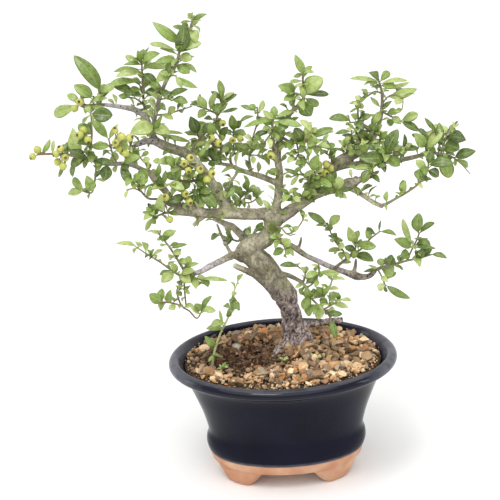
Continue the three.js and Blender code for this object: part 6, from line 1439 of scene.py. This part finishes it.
def leaf_shape(blade, rng):
    """Rings of a closed leaf, a petiole and a cupped blade, with its tip point last; and their stations."""
    axis = blade["tip"] - blade["root"]
    length = np.linalg.norm(axis)
    stations = LEAF_ALONG if length > SMALL_LEAF else LEAF_ALONG[::2]
    axis = axis / length
    side = unit(np.cross(blade["normal"], axis))
    t = stations[:, None]
    b = np.clip((t - PETIOLE) / (1 - PETIOLE), 0, 1)
    swell, blunt = rng.uniform(0.7, 1.05), rng.uniform(0.6, 0.95)
    peak = swell / (swell + blunt)
    outline = b ** swell * (1 - b) ** blunt / (peak ** swell * (1 - peak) ** blunt)
    half = np.maximum(blade["width"] / 2 * outline, np.minimum(PETIOLE_HALF, blade["width"] / 4))
    arch = BLADE_ARCH + rng.uniform(-0.04, 0.1)
    bend = rng.uniform(-0.08, 0.08)
    fold = rng.uniform(0.12, 0.55)
    curl = rng.uniform(0, 0.35)
    phase = rng.uniform(0, 2 * math.pi)
    turn = rng.uniform(-0.45, 0.45) * (t - 0.4)
    hump = 4 * t * (1 - t)
    middle = blade["root"] + axis * length * t + side * length * bend * hump
    middle = middle + blade["normal"] * length * (arch * hump - curl * np.maximum(0, t - 0.6))
    side_t = side * np.cos(turn) + blade["normal"] * np.sin(turn)
    up_t = blade["normal"] * np.cos(turn) - side * np.sin(turn)
    s = LEAF_ACROSS[None, :]
    face = LEAF_FACE[None, :]
    thick = np.where(b > 0, 0.1 + 0.12 * (1 - np.abs(s)), PETIOLE_HALF) * face
    rib = np.where((np.abs(s) < 0.1) & (face < 0) & (b > 0), -0.16 * (1 - b), 0)
    wave = 0.07 * np.sin(phase + 9 * b + s) * s * s
    lift = (fold * np.abs(s) + wave - 0.12 * s * s * (1 - fold)) * half + thick + rib
    rings = middle[:, None, :] + (s * half)[..., None] * side_t[:, None, :]
    rings = rings + lift[..., None] * up_t[:, None, :]
    tip = blade["root"] + axis * length - blade["normal"] * length * curl * 0.4
    return np.vstack([rings.reshape(-1, 3), tip]), stations


def leaf_faces(rings):
    """Faces of one leaf, and for each face whether it is on the underside."""
    last = (rings - 1) * LEAF_SIDES
    faces = []
    for low in range(0, last, LEAF_SIDES):
        high = low + LEAF_SIDES
        faces += [(low + i, low + j, high + j, high + i) for i, j in neighbours(LEAF_SIDES)]
    faces += [(last + i, last + j, last + LEAF_SIDES) for i, j in neighbours(LEAF_SIDES)]
    under = [i >= LEAF_TOP_SIDES for _ in range(rings) for i in range(LEAF_SIDES)]
    faces.append(tuple(reversed(range(LEAF_SIDES))))
    return faces, under + [True]


def leaf_piece(name, blades, materials, rng, replaces):
    heap, under, tone, where = Heap(), [], [], []
    for blade in blades:
        points, stations = leaf_shape(blade, rng)
        faces, below = leaf_faces(len(stations))
        heap.add(points, faces)
        under += below
        young = 0.2 if np.linalg.norm(blade["tip"] - blade["root"]) < YOUNG_LEAF else 0
        shade = np.clip(0.45 + rng.uniform(-0.38, 0.34) + young, 0, 1)
        tone.append(np.full(len(points), shade))
        along_leaf = np.append(np.repeat(stations, LEAF_SIDES), 1)
        across_leaf = np.append(np.tile(LEAF_ACROSS, len(stations)), 0)
        chance = np.full(len(points), rng.uniform())
        where.append(np.stack([along_leaf, across_leaf, chance], -1))
    piece = new_piece(name, to_frame(heap.points()), heap.faces, materials, replaces)
    piece.data.polygons.foreach_set("material_index", np.array(under, int))
    set_attribute(piece.data, "leaf_tone", np.concatenate(tone))
    set_attribute(piece.data, "leaf_place", np.concatenate(where), "FLOAT_VECTOR")


def slimmed(name, stem):
    """A stem with its radii cut down; the shoot from the soil is the slimmest of all."""
    if name == "basal_shoot":
        return [[*p[:3], p[3] * SHOOT_SHARE] for p in stem]
    return [[*p[:3], p[3] * (THIN_TWIG_SHARE if p[3] < THIN_TWIG else THICK_TWIG_SHARE)] for p in stem]


def twig_piece(name, stems, material, replaces):
    verts, faces, radii = joined([tube(stem, 8, 3) for stem in stems])
    piece = new_piece(name, verts, faces, [material], replaces)
    set_attribute(piece.data, "radius", radii)
    set_attribute(piece.data, "fresh", np.full(len(verts), float(name.startswith("basal"))))


def tuft_blades(line, gap, leaves, rng):
    """Small leaves, so many [from, to] at a time, along a smooth line of [across, up, back, radius]."""
    blades = []
    travelled, wait = 0.0, rng.uniform(0.3, 1) * gap
    points = place(line[:, :3])
    for i in range(1, len(line) - 1):
        travelled += np.linalg.norm(points[i] - points[i - 1])
        if travelled < wait:
            continue
        travelled, wait = 0.0, gap * rng.uniform(0.6, 1.4)
        heading = unit(points[i + 1] - points[i - 1])
        spin = rng.uniform(0, 2 * math.pi)
        side = upright(np.array([0.2, -0.3, 1.0]), heading)
        for k in range(int(rng.integers(leaves[0], leaves[1] + 1))):
            angle = spin + k * LEAF_TURN
            out = math.cos(angle) * side + math.sin(angle) * np.cross(heading, side)
            if out[2] < -0.55:
                continue
            length = rng.uniform(*TUFT_LEAF)
            way = unit(heading * rng.uniform(0.1, 0.9) + out + np.array([0, 0, 0.3]))
            root = points[i] + out * line[i, 3] * 0.8
            normal = upright(np.array([rng.uniform(-0.5, 0.5), rng.uniform(-0.9, 0.1), 1.0]), way)
            blades.append({"root": root, "tip": root + way * length, "normal": normal,
                           "width": length * rng.uniform(0.34, 0.46)})
    return blades


# Berries

def sepal(axis, out, size, rng):
    """A flat three-cornered flap that leans in over the dimple at a berry's end."""
    wide = np.cross(axis, out) * size * SEPAL_HALF
    foot = axis * size * 0.88 + out * size * 0.33
    tip = axis * size * 0.8 + out * size * rng.uniform(0.04, 0.14)
    lift = axis * size * SEPAL_THICK
    points = [foot + wide, foot - wide, tip]
    faces = [(0, 1, 2), (5, 4, 3), (0, 3, 4, 1), (1, 4, 5, 2), (2, 5, 3, 0)]
    return points + [p + lift for p in points], faces


def berry_mesh(centre, axis, rng):
    """A berry with a dimple at its end and sepals round it: points, skin, sepals and nearness to the end."""
    axis = unit(axis)
    side = upright(np.array([0.31, 0.2, 1.0]), axis)
    across = np.cross(axis, side)
    size = BERRY_RADIUS * rng.uniform(0.92, 1.04)
    polar = math.pi * np.arange(1, BERRY_ROWS) / BERRY_ROWS
    around = turns(BERRY_AROUND)
    dip = np.exp(-((polar / DIMPLE_WIDTH) ** 2))
    radii = np.sin(polar) * size * (1 - 0.06 * dip)
    rises = np.cos(polar) * size * BERRY_SQUASH - dip * size * DIMPLE_DEPTH
    verts = [axis * DIMPLE_FLOOR * size]
    for radius, rise in zip(radii, rises):
        ribs = radius * (1 + 0.015 * np.cos(SEPALS * around))
        ring = np.outer(ribs * np.cos(around), side) + np.outer(ribs * np.sin(around), across)
        verts += list(axis * rise + ring)
    verts.append(-axis * BERRY_SQUASH * size)
    last = len(verts) - 1
    skin = [(0, 1 + i, 1 + j) for i, j in neighbours(BERRY_AROUND)]
    for low in range(1, last - BERRY_AROUND, BERRY_AROUND):
        high = low + BERRY_AROUND
        skin += [(low + i, high + i, high + j, low + j) for i, j in neighbours(BERRY_AROUND)]
    skin += [(last, last - BERRY_AROUND + j, last - BERRY_AROUND + i) for i, j in neighbours(BERRY_AROUND)]
    ends = [1.0] + [math.cos(p) for p in np.repeat(polar, BERRY_AROUND)] + [-1.0]
    sepals = []
    for k in range(SEPALS):
        angle = 2 * math.pi * (k + rng.uniform(-0.1, 0.1)) / SEPALS
        points, faces = sepal(axis, math.cos(angle) * side + math.sin(angle) * across, size, rng)
        sepals += [tuple(len(verts) + i for i in face) for face in faces]
        verts += points
        ends += [1.0] * len(points)
    return np.array(verts) + centre, skin, sepals, ends


def berry_piece(name, bunch, materials, rng, replaces):
    samples = along(bunch["stalk"], STEM_STEP, SEAT_SPACING)
    heap, kinds, ends = Heap(), [], []
    tubes = [tube(bunch["stalk"], 8, 3)]
    for berry in bunch["berries"]:
        foot = nearest_on_sheet(samples, berry)[:3]
        sag = [(a + b) / 2 for a, b in zip(foot, berry)]
        sag[1] -= BERRY_SAG
        tubes.append(tube([[*p, radius] for p, radius in zip((foot, sag, berry), BERRY_STALK)], 6, 2))
        axis = place(berry) - place(foot) + rng.normal(size=3) * 2.2 + np.array([0, -1.5, -1])
        points, skin, sepals, end = berry_mesh(place(berry), axis, rng)
        heap.add(to_frame(points), skin + sepals)
        kinds += [0] * len(skin) + [1] * len(sepals)
        ends += end
    stalks, stalk_faces, radii = joined(tubes)
    radii = np.concatenate([np.full(heap.count, 1.0), radii])
    heap.add(stalks, stalk_faces)
    kinds += [2] * len(stalk_faces)
    ends += [0.0] * len(stalks)
    piece = new_piece(name, heap.points(), heap.faces, materials, replaces)
    piece.data.polygons.foreach_set("material_index", np.array(kinds, int))
    set_attribute(piece.data, "berry_end", ends)
    set_attribute(piece.data, "radius", radii)


# Wood

def wood_mesh():
    """Trunk and limbs as tubes, fused into one closed skin and softened where they meet."""
    tubes = [tube(limb, 28 if limb is TRUNK else 16, 4, taper=0.25) for limb in [TRUNK] + LIMBS]
    verts, faces, _ = joined(tubes)
    mesh = bpy.data.meshes.new("wood_tubes")
    mesh.from_pydata([tuple(v) for v in verts], [], faces)
    tubes_object = in_scene("wood_tubes", mesh)
    remesh = tubes_object.modifiers.new("fuse", "REMESH")
    remesh.mode = "VOXEL"
    remesh.voxel_size = VOXEL
    soften = tubes_object.modifiers.new("soften", "SMOOTH")
    soften.factor = 0.5
    soften.iterations = 5
    fused = bpy.data.meshes.new_from_object(tubes_object.evaluated_get(bpy.context.evaluated_depsgraph_get()))
    bpy.data.objects.remove(tubes_object)
    return fused


def wood_radius(points):
    """The radius of the nearest trunk or limb at each point."""
    samples = np.concatenate([smooth(limb, 2) for limb in [TRUNK] + LIMBS])
    tree = kdtree.KDTree(len(samples))
    for i, centre in enumerate(place(samples[:, :3])):
        tree.insert(centre, i)
    tree.balance()
    return np.array([samples[tree.find(p)[1], 3] for p in points])


def near_spots(points, spots):
    """How near each point is to a list of [across, up, back, reach], from 0 to 1."""
    share = np.zeros(len(points))
    for spot in spots:
        far = np.linalg.norm(points - place(spot[:3]), axis=1)
        share = np.maximum(share, np.clip(1.4 - 1.4 * far / spot[3], 0, 1))
    return share


def bark_relief(point, radius, old):
    """How far the bark stands out at a point, and how deep the point is in a crack."""
    warp = noise.noise_vector(Vector(point) * 0.22) * 2.4
    at = Vector((point[0], point[1], point[2] * BARK_STRETCH)) + warp
    plates = noise.noise(at * 0.5)
    ridge = 1 - abs(noise.noise(at * 0.33 + Vector((7, 3, 1)))) * 3.1
    cross = 1 - abs(noise.noise(at * 0.8 + Vector((1, 8, 5)))) * 3.6
    crack = max(0, ridge - 0.4) + 0.5 * max(0, cross - 0.5)
    rough = (0.07 + 0.15 * old) * (0.8 * plates - crack)
    out = radius * (rough + 0.1 * noise.noise(at * 0.13) + 0.03 * noise.noise(at * 1.1))
    return out, crack * (0.55 + old)


def wood_piece(material):
    fused = wood_mesh()
    points = np.zeros(len(fused.vertices) * 3)
    normals = np.zeros(len(fused.vertices) * 3)
    fused.vertices.foreach_get("co", points)
    fused.vertex_normals.foreach_get("vector", normals)
    points, normals = (points.reshape(-1, 3) - POT_AXIS) / MM, normals.reshape(-1, 3)
    old = np.clip((OLD_BARK_TOP - points[:, 2]) / OLD_BARK_FADE, 0, 1)
    radius = wood_radius(points)
    relief = np.zeros((len(points), 2))
    for i in np.flatnonzero(radius >= THIN_WOOD):
        relief[i] = bark_relief(points[i], radius[i], old[i])
    cut = near_spots(points, [[*end, CUT_REACH] for end in CUT_ENDS])
    points = points + normals * (relief[:, 0] * (1 - cut))[:, None]
    fused.vertices.foreach_set("co", to_frame(points).ravel())
    fused.update()
    piece = in_scene("wood", fused)
    fused.materials.clear()
    fused.materials.append(material)
    fused.polygons.foreach_set("use_smooth", [True] * len(fused.polygons))
    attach(piece, "root")
    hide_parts("trunk_and_branches")
    set_attribute(fused, "bark_old", old)
    set_attribute(fused, "bark_depth", np.clip(relief[:, 1], 0, 1))
    # Painted shade: how far each point of the wood faces down
    set_attribute(fused, "painted_underside_shade", np.clip(-normals[:, 2], 0, 1))
    set_attribute(fused, "bark_cut", np.clip(cut * 2 - 0.7, 0, 1))
    set_attribute(fused, "bark_moss", near_spots(points, MOSS_SPOTS))
    set_attribute(fused, "bark_lichen", near_spots(points, LICHEN_SPOTS))
    set_attribute(fused, "bark_lilac", near_spots(points, LILAC_SPOTS))


# Pot

def oval_rings(levels, count=POT_SEGMENTS):
    angles = turns(count)
    rings = [np.stack([a * np.cos(angles), b * np.sin(angles), np.full(count, z)], -1) for z, a, b in levels]
    return np.concatenate(rings)


def softened(levels, passes):
    """More levels between the given ones, rounded off like thrown and glazed clay."""
    points = np.array(levels, float)
    for _ in range(passes):
        fresh = [points[0]]
        for a, b in zip(points, points[1:]):
            fresh += [a * 0.75 + b * 0.25, a * 0.25 + b * 0.75]
        points = np.array(fresh + [points[-1]])
    return points


def pot_wall(material):
    levels = softened(POT_WALL, 2)
    verts = oval_rings(levels)
    faces = ring_faces(len(levels), POT_SEGMENTS, close=True)
    piece = new_piece("pot_glazed_wall", to_frame(verts), faces, [material], ["pot"])
    # The lip's rim is marked for thin glaze, and its left and right ends for painted sheen, a reflection
    # painted in as paler glaze
    rim = 0.5 * np.exp(-(((levels[:, 0] - LIP_RIM_LEVEL) / 1.1) ** 2)) * (levels[:, 1] < 88)
    ends = np.clip((np.abs(verts[:, 0]) - LIP_SHEEN_FROM) / 32, 0, 1) * np.clip((verts[:, 2] - 96) / 3, 0, 1)
    set_attribute(piece.data, "lip_thin_glaze_and_painted_sheen", np.maximum(np.repeat(rim, POT_SEGMENTS), ends))


def foot_rings(sign_x, sign_y):
    rings = []
    soles = smooth([[a, s, 0, 0] for a, s in FOOT_SOLES], 1.6)[:, :2]
    for degrees, sole in soles:
        x = sign_x * FOOT_SPAN[0] * math.cos(math.radians(degrees))
        y = sign_y * FOOT_SPAN[1] * math.sin(math.radians(degrees))
        low = max(sole, 0)
        ring = [[x * share, y * share, low + (FOOT_TOP - low) * height] for share, height in FOOT_SECTION]
        rings.append(ring if sign_x * sign_y < 0 else ring[::-1])
    return np.array(rings).reshape(-1, 3), ring_faces(len(soles), len(FOOT_SECTION))


def drill(piece, offset):
    bpy.ops.mesh.primitive_cylinder_add(vertices=40, radius=DRAIN_HOLE_RADIUS * MM,
                                        depth=DRAIN_CUTTER_LENGTH * MM,
                                        location=to_frame([offset, 0, DRAIN_HOLE_LEVEL]))
    hole = bpy.context.object
    cut = piece.modifiers.new("hole", "BOOLEAN")
    cut.object = hole
    cut.operation = "DIFFERENCE"
    cut.solver = "EXACT"
    piece.data = bpy.data.meshes.new_from_object(piece.evaluated_get(bpy.context.evaluated_depsgraph_get()))
    piece.modifiers.clear()
    bpy.data.objects.remove(hole)


def pot_base(material):
    levels = softened(BASE_WALL, 1)
    faces = ring_faces(len(levels), POT_SEGMENTS)
    base = new_piece("pot_clay_base", to_frame(oval_rings(levels)), faces, [material], ["pot"])
    for offset in (-DRAIN_HOLE_OFFSET, DRAIN_HOLE_OFFSET):
        drill(base, offset)
    for k, (x, y) in enumerate([(-1, -1), (1, -1), (1, 1), (-1, 1)]):
        verts, faces = foot_rings(x, y)
        new_piece(f"pot_foot_{k}", to_frame(verts), faces, [material], ["pot"])


# Soil

def soil_height(x, y):
    crown = place(TRUNK[2][:3])
    far = np.hypot(x - crown[0], y - crown[1])
    heap = SOIL_HEAP * np.clip((y + 12) / 50, 0, 1)
    return SOIL_LEVEL + SOIL_MOUND * np.exp(-far / SOIL_MOUND_REACH) + heap


def damp_share(x, y):
    far = np.hypot((x - DAMP_SPOT[0]) / DAMP_REACH[0], (y - DAMP_SPOT[1]) / DAMP_REACH[1])
    return np.clip(1.9 - 1.9 * far, 0, 1)


def soil_bed(material):
    low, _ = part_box("soil")
    levels = [[low.z / MM, *BED_BOTTOM]] + BED_WALL
    rings = [oval_rings(levels, BED_SEGMENTS)]
    angles = turns(BED_SEGMENTS)
    for share in BED_SHARES:
        x, y = BED_WALL[-1][1] * share * np.cos(angles), BED_WALL[-1][2] * share * np.sin(angles)
        z = soil_height(x, y) + 0.8 * np.sin(x * 0.9 + y) * np.cos(y * 1.1) - 0.6
        rings.append(np.stack([x, y, z], -1))
    faces = ring_faces(len(levels) + len(BED_SHARES), BED_SEGMENTS)
    new_piece("soil_bed", to_frame(np.concatenate(rings)), faces, [material], ["soil"])


def stone_kinds(rng, subdivisions, planes):
    """Shapes of stones about one unit in radius: balls with flat sides cut off them."""
    kinds = []
    for _ in range(STONE_KINDS):
        mesh = bmesh.new()
        bmesh.ops.create_icosphere(mesh, subdivisions=subdivisions + 1, radius=1)
        points = np.array([v.co[:] for v in mesh.verts])
        faces = [tuple(v.index for v in f.verts) for f in mesh.faces]
        mesh.free()
        for _ in range(planes):
            normal = unit(rng.normal(size=3))
            over = np.maximum(points @ normal - rng.uniform(*STONE_CUTS), 0)
            points = points - over[:, None] * normal
        kinds.append((points * np.array([1, rng.uniform(0.7, 0.95), rng.uniform(0.5, 0.8)]), faces))
    return kinds


def turned(rng):
    return np.array(Matrix.Rotation(rng.uniform(0, 6.28), 3, Vector(unit(rng.normal(size=3)))))


def stone_piece(name, heap, colors, material):
    piece = new_piece(name, to_frame(heap.points()), heap.faces, [material], (), False)
    colors = [np.tile(color, (len(part), 1)) for color, part in zip(colors, heap.parts)]
    set_attribute(piece.data, "grit_color", np.concatenate(colors), "FLOAT_VECTOR")


def grit_piece(name, count, sizes, material, rng, subdivisions, planes):
    """Stones strewn over the soil; in the damp hollow they are darker and mostly small."""
    kinds = stone_kinds(rng, subdivisions, planes)
    shares = np.array([share for _, share in GRIT_COLORS], float)
    foot = place(TRUNK[2][:3])
    heap, colors = Heap(), []
    while len(colors) < count:
        x, y = rng.uniform(-1, 1, 2) * SOIL_HALF
        size = sizes[0] + (sizes[1] - sizes[0]) * rng.uniform() ** 1.6
        if math.hypot(x / (SOIL_HALF[0] - size), y / (SOIL_HALF[1] - size)) > 1:
            continue
        if math.hypot(x - foot[0], y - foot[1]) < TRUNK_CLEARING:
            continue
        damp = float(damp_share(x, y))
        if damp > 0.4 and size > 2.4 and rng.uniform() < 0.8:
            size *= 0.45
        points, shape = kinds[int(rng.integers(STONE_KINDS))]
        centre = np.array([x, y, soil_height(x, y) + size * 0.3 + rng.uniform(-0.6, 1.6)])
        heap.add(points @ turned(rng).T * size / 2 * 1.15 + centre, shape)
        color = np.array(GRIT_COLORS[int(rng.choice(len(shares), p=shares / shares.sum()))][0])
        color = color * rng.uniform(0.5, 1.4) * GRIT_TINT
        wet = damp * (0.95 if rng.uniform() < 0.9 else 0.3)
        colors.append(color * (1 - wet) + DAMP_GRIT * wet)
    stone_piece(name, heap, colors, material)


def bark_chips(material, rng):
    kinds = stone_kinds(rng, 1, 6)
    heap, colors = Heap(), []
    while len(colors) < CHIP_COUNT:
        x, y = np.array(DAMP_SPOT) + rng.normal(size=2) * np.array(DAMP_REACH) * 0.42
        if damp_share(x, y) < 0.3:
            continue
        points, shape = kinds[int(rng.integers(STONE_KINDS))]
        flat = points * np.array([1, 0.5, 0.28]) * rng.uniform(*CHIP_SIZES) / 2
        tilt = Matrix.Rotation(rng.normal() * 0.35, 3, "X") @ Matrix.Rotation(rng.normal() * 0.35, 3, "Y")
        spin = Matrix.Rotation(rng.uniform(0, 6.28), 3, "Z")
        centre = np.array([x, y, soil_height(x, y) + rng.uniform(1.2, 3)])
        heap.add(flat @ np.array(spin @ tilt).T + centre, shape)
        colors.append(CHIP * rng.uniform(0.3, 1.3))
    stone_piece("soil_bark_chips", heap, colors, material)


# Small things on the soil and the twigs

def cut_twig(material):
    angles = turns(CUT_TWIG_SIDES)
    rings = []
    for share, along_twig in ((0.2, 0), (0.85, 0), (1, 0.5), (1.03, 3), (0.97, 7), (1, CUT_TWIG_LENGTH)):
        radius = CUT_TWIG_RADIUS * share * (1 + 0.05 * np.sin(3 * angles))
        level = np.full(CUT_TWIG_SIDES, float(along_twig))
        rings.append(np.stack([radius * np.cos(angles), level, radius * np.sin(angles)], -1))
    lean = np.array(Matrix.Rotation(-0.35, 3, "X") @ Matrix.Rotation(0.2, 3, "Z"))
    verts = np.concatenate(rings) @ lean.T + np.array(CUT_TWIG)
    faces = ring_faces(len(rings), CUT_TWIG_SIDES)
    piece = new_piece("cut_twig_on_soil", to_frame(verts), faces, [material])
    set_attribute(piece.data, "bark_cut", np.repeat([1.0, 0.55, 0, 0, 0, 0], CUT_TWIG_SIDES))
    set_attribute(piece.data, "bark_old", np.ones(len(verts)))


def seedlings(materials, rng):
    blades = []
    for x, y in SEEDLINGS:
        for k in range(SEEDLING_LEAVES):
            angle = k * LEAF_TURN
            way = unit(np.array([math.cos(angle), math.sin(angle), rng.uniform(0.5, 1.4)]))
            root = np.array([x, y, soil_height(x, y) + 1.2])
            length = rng.uniform(4.5, 7.5)
            normal = upright(np.array([0.0, -0.2, 1.0]), way)
            blades.append({"root": root, "tip": root + way * length, "normal": normal,
                           "width": length * 0.42})
    leaf_piece("seedlings", blades, materials, rng, [])


def buds(carriers, material):
    for k, (across, up, tip_across, tip_up, radius) in enumerate(BUDS):
        foot = seat_on(carriers, [across, up, 0, radius])
        middle = [(foot[0] + tip_across) / 2, (foot[1] + tip_up) / 2, foot[2], radius]
        route = [[*foot[:3], radius * 0.5], middle, [tip_across, tip_up, foot[2], radius * 0.35]]
        verts, faces, _ = tube(route, 12, 0.8)
        new_piece(f"bud_{k}", to_frame(verts), faces, [material])


# Stage, lights and camera

def aim(thing, eye):
    thing.location = eye
    thing.rotation_euler = (Vector(AIM) - Vector(eye)).to_track_quat("-Z", "Y").to_euler()


def make_lamps():
    for name, eye, (width, height), power in LAMPS:
        light = bpy.data.lights.new(name, "AREA")
        light.shape = "RECTANGLE"
        light.size = width
        light.size_y = height
        light.energy = power
        aim(in_scene(name, light), eye)
    sky = bpy.data.lights.new("sky", "SUN")
    sky.energy = SKY_POWER
    sky.angle = SKY_ANGLE
    aim(in_scene("sky", sky), SKY_PLACE)


def make_stage():
    n = Nodes("studio floor")
    n.finish(n.mix(n.noise(3, 2), *FLOOR), 0.7, specular=0.1)
    h = STAGE_HALF
    mesh = bpy.data.meshes.new("studio_floor")
    mesh.from_pydata([(-h, -h, 0), (h, -h, 0), (h, h, 0), (-h, h, 0)], [], [(0, 1, 2, 3)])
    mesh.materials.append(n.material)
    floor = in_scene("studio_floor", mesh)
    world = bpy.data.worlds.new("studio")
    bpy.context.scene.world = world
    world.use_nodes = True
    background = world.node_tree.nodes["Background"]
    background.inputs["Color"].default_value = (1, 1, 1, 1)
    background.inputs["Strength"].default_value = WORLD_STRENGTH


def make_camera():
    """The camera looks square at the drawing sheet, from the sheet's own distance."""
    centre = Vector(to_frame([0, 0, SHEET_HEIGHT]))
    back = Vector((0, -math.cos(SHEET_TILT), math.sin(SHEET_TILT)))
    data = bpy.data.cameras.new("camera")
    data.sensor_width = 36
    data.lens = LENS
    data.shift_x, data.shift_y = LENS_SHIFT
    data.clip_start = 0.05
    data.clip_end = 50
    camera = in_scene("camera", data)
    roll = Matrix.Rotation(CAMERA_ROLL, 4, "Z")
    facing = (-back).to_track_quat("-Z", "Y").to_matrix().to_4x4()
    camera.matrix_world = Matrix.Translation(centre + back * SHEET_DISTANCE * MM) @ facing @ roll
    bpy.context.scene.camera = camera


# Whole object

def seated_tree():
    """Sprays and bunches with their stems seated on the wood, and all the points that carry them."""
    carriers = [p for limb in LIMBS for p in along(limb, LIMB_STEP, SEAT_SPACING)]
    sprays, bunches = {}, {}
    for name, spray in SPRAYS.items():
        sprays[name] = {**spray, "stems": seated_stems(spray["stems"])}
        carriers += [p for stem in sprays[name]["stems"] for p in along(stem, STEM_STEP, SEAT_SPACING)]
    for name, bunch in BUNCHES.items():
        bunches[name] = {**bunch, "stalk": [seat_on(carriers, bunch["stalk"][0])] + bunch["stalk"]}
    return sprays, bunches, carriers


def taken_room(sprays, bunches):
    """The room that the wood, the stems and the berries take up before any leaf is set."""
    room = Room()
    owned = [("wood", limb) for limb in [TRUNK] + LIMBS]
    owned += [(name, stem) for name, spray in sprays.items() for stem in spray["stems"]]
    for name, route in owned:
        line = smooth(route, 3)
        room.take(place(line[:, :3]), line[:, 3], name)
    for name, bunch in bunches.items():
        room.take(place(np.array(bunch["berries"], float)), BERRY_RADIUS, name)
    return room


def make_sprays(sprays, room, leaf, twig):
    for i, (name, spray) in enumerate(sprays.items()):
        blades = settle_spray(name, spray, 100 + i, room)
        rng = np.random.default_rng(500 + i)
        gap = TUFT_GAP * (SPARSE if "lower" in name or name == "basal_shoot" else 1)
        stems = [slimmed(name, stem) for stem in spray["stems"]]
        for stem in stems:
            blades += tuft_blades(smooth(stem, 1.5), gap, (1, 2), rng)
        leaf_piece(name + "_leaves", blades, leaf, rng, [name])
        twig_piece(name + "_twigs", stems, twig, [name])


def spur_blades(rng):
    """Tufts on the thinner wood of the crown."""
    blades = []
    for limb in LIMBS:
        line = smooth(limb, 1.5)
        leafy = line[(line[:, 1] > SPUR_UP) & (line[:, 3] < SPUR_WOOD)]
        if len(leafy) > 4:
            blades += tuft_blades(leafy, SPUR_GAP, (2, 4), rng)
    return blades


def make_tree():
    bark = bark_material()
    twig = twig_material()
    leaf = [leaf_material("leaf upper side", LEAF_UPPER, 0.29),
            leaf_material("leaf underside", LEAF_UNDER, 0.6)]
    berry = [berry_material(), plain_material("calyx", CALYX, 900, 0.8), twig]
    sprays, bunches, carriers = seated_tree()
    room = taken_room(sprays, bunches)
    wood_piece(bark)
    make_sprays(sprays, room, leaf, twig)
    rng = np.random.default_rng(640)
    leaf_piece("spur_leaves", spur_blades(rng), leaf, rng, [])
    seedlings(leaf, rng)
    buds(carriers, plain_material("pink bud", PINK_BUD, 300, 0.6))
    cut_twig(bark)
    for i, (name, bunch) in enumerate(bunches.items()):
        berry_piece(name + "_fruit", bunch, berry, np.random.default_rng(800 + i), [name])


def make_pot():
    pot_wall(glaze_material())
    pot_base(clay_material())
    net = plain_material("black net", NET, 700, 0.6)
    for name in ("drain_mesh_left", "drain_mesh_right"):
        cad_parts[name].data.materials.clear()
        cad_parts[name].data.materials.append(net)


def make_soil():
    soil_bed(bed_material())
    grit = grit_material()
    for i, (name, count, sizes, fineness, planes) in enumerate(STONE_LAYERS):
        grit_piece(name, count, sizes, grit, np.random.default_rng(71 + i), fineness, planes)
    bark_chips(grit, np.random.default_rng(75))


make_camera()
make_stage()
make_lamps()
make_pot()
make_soil()
make_tree()

view = bpy.context.scene.view_settings
view.view_transform = "Standard"
view.look = "None"
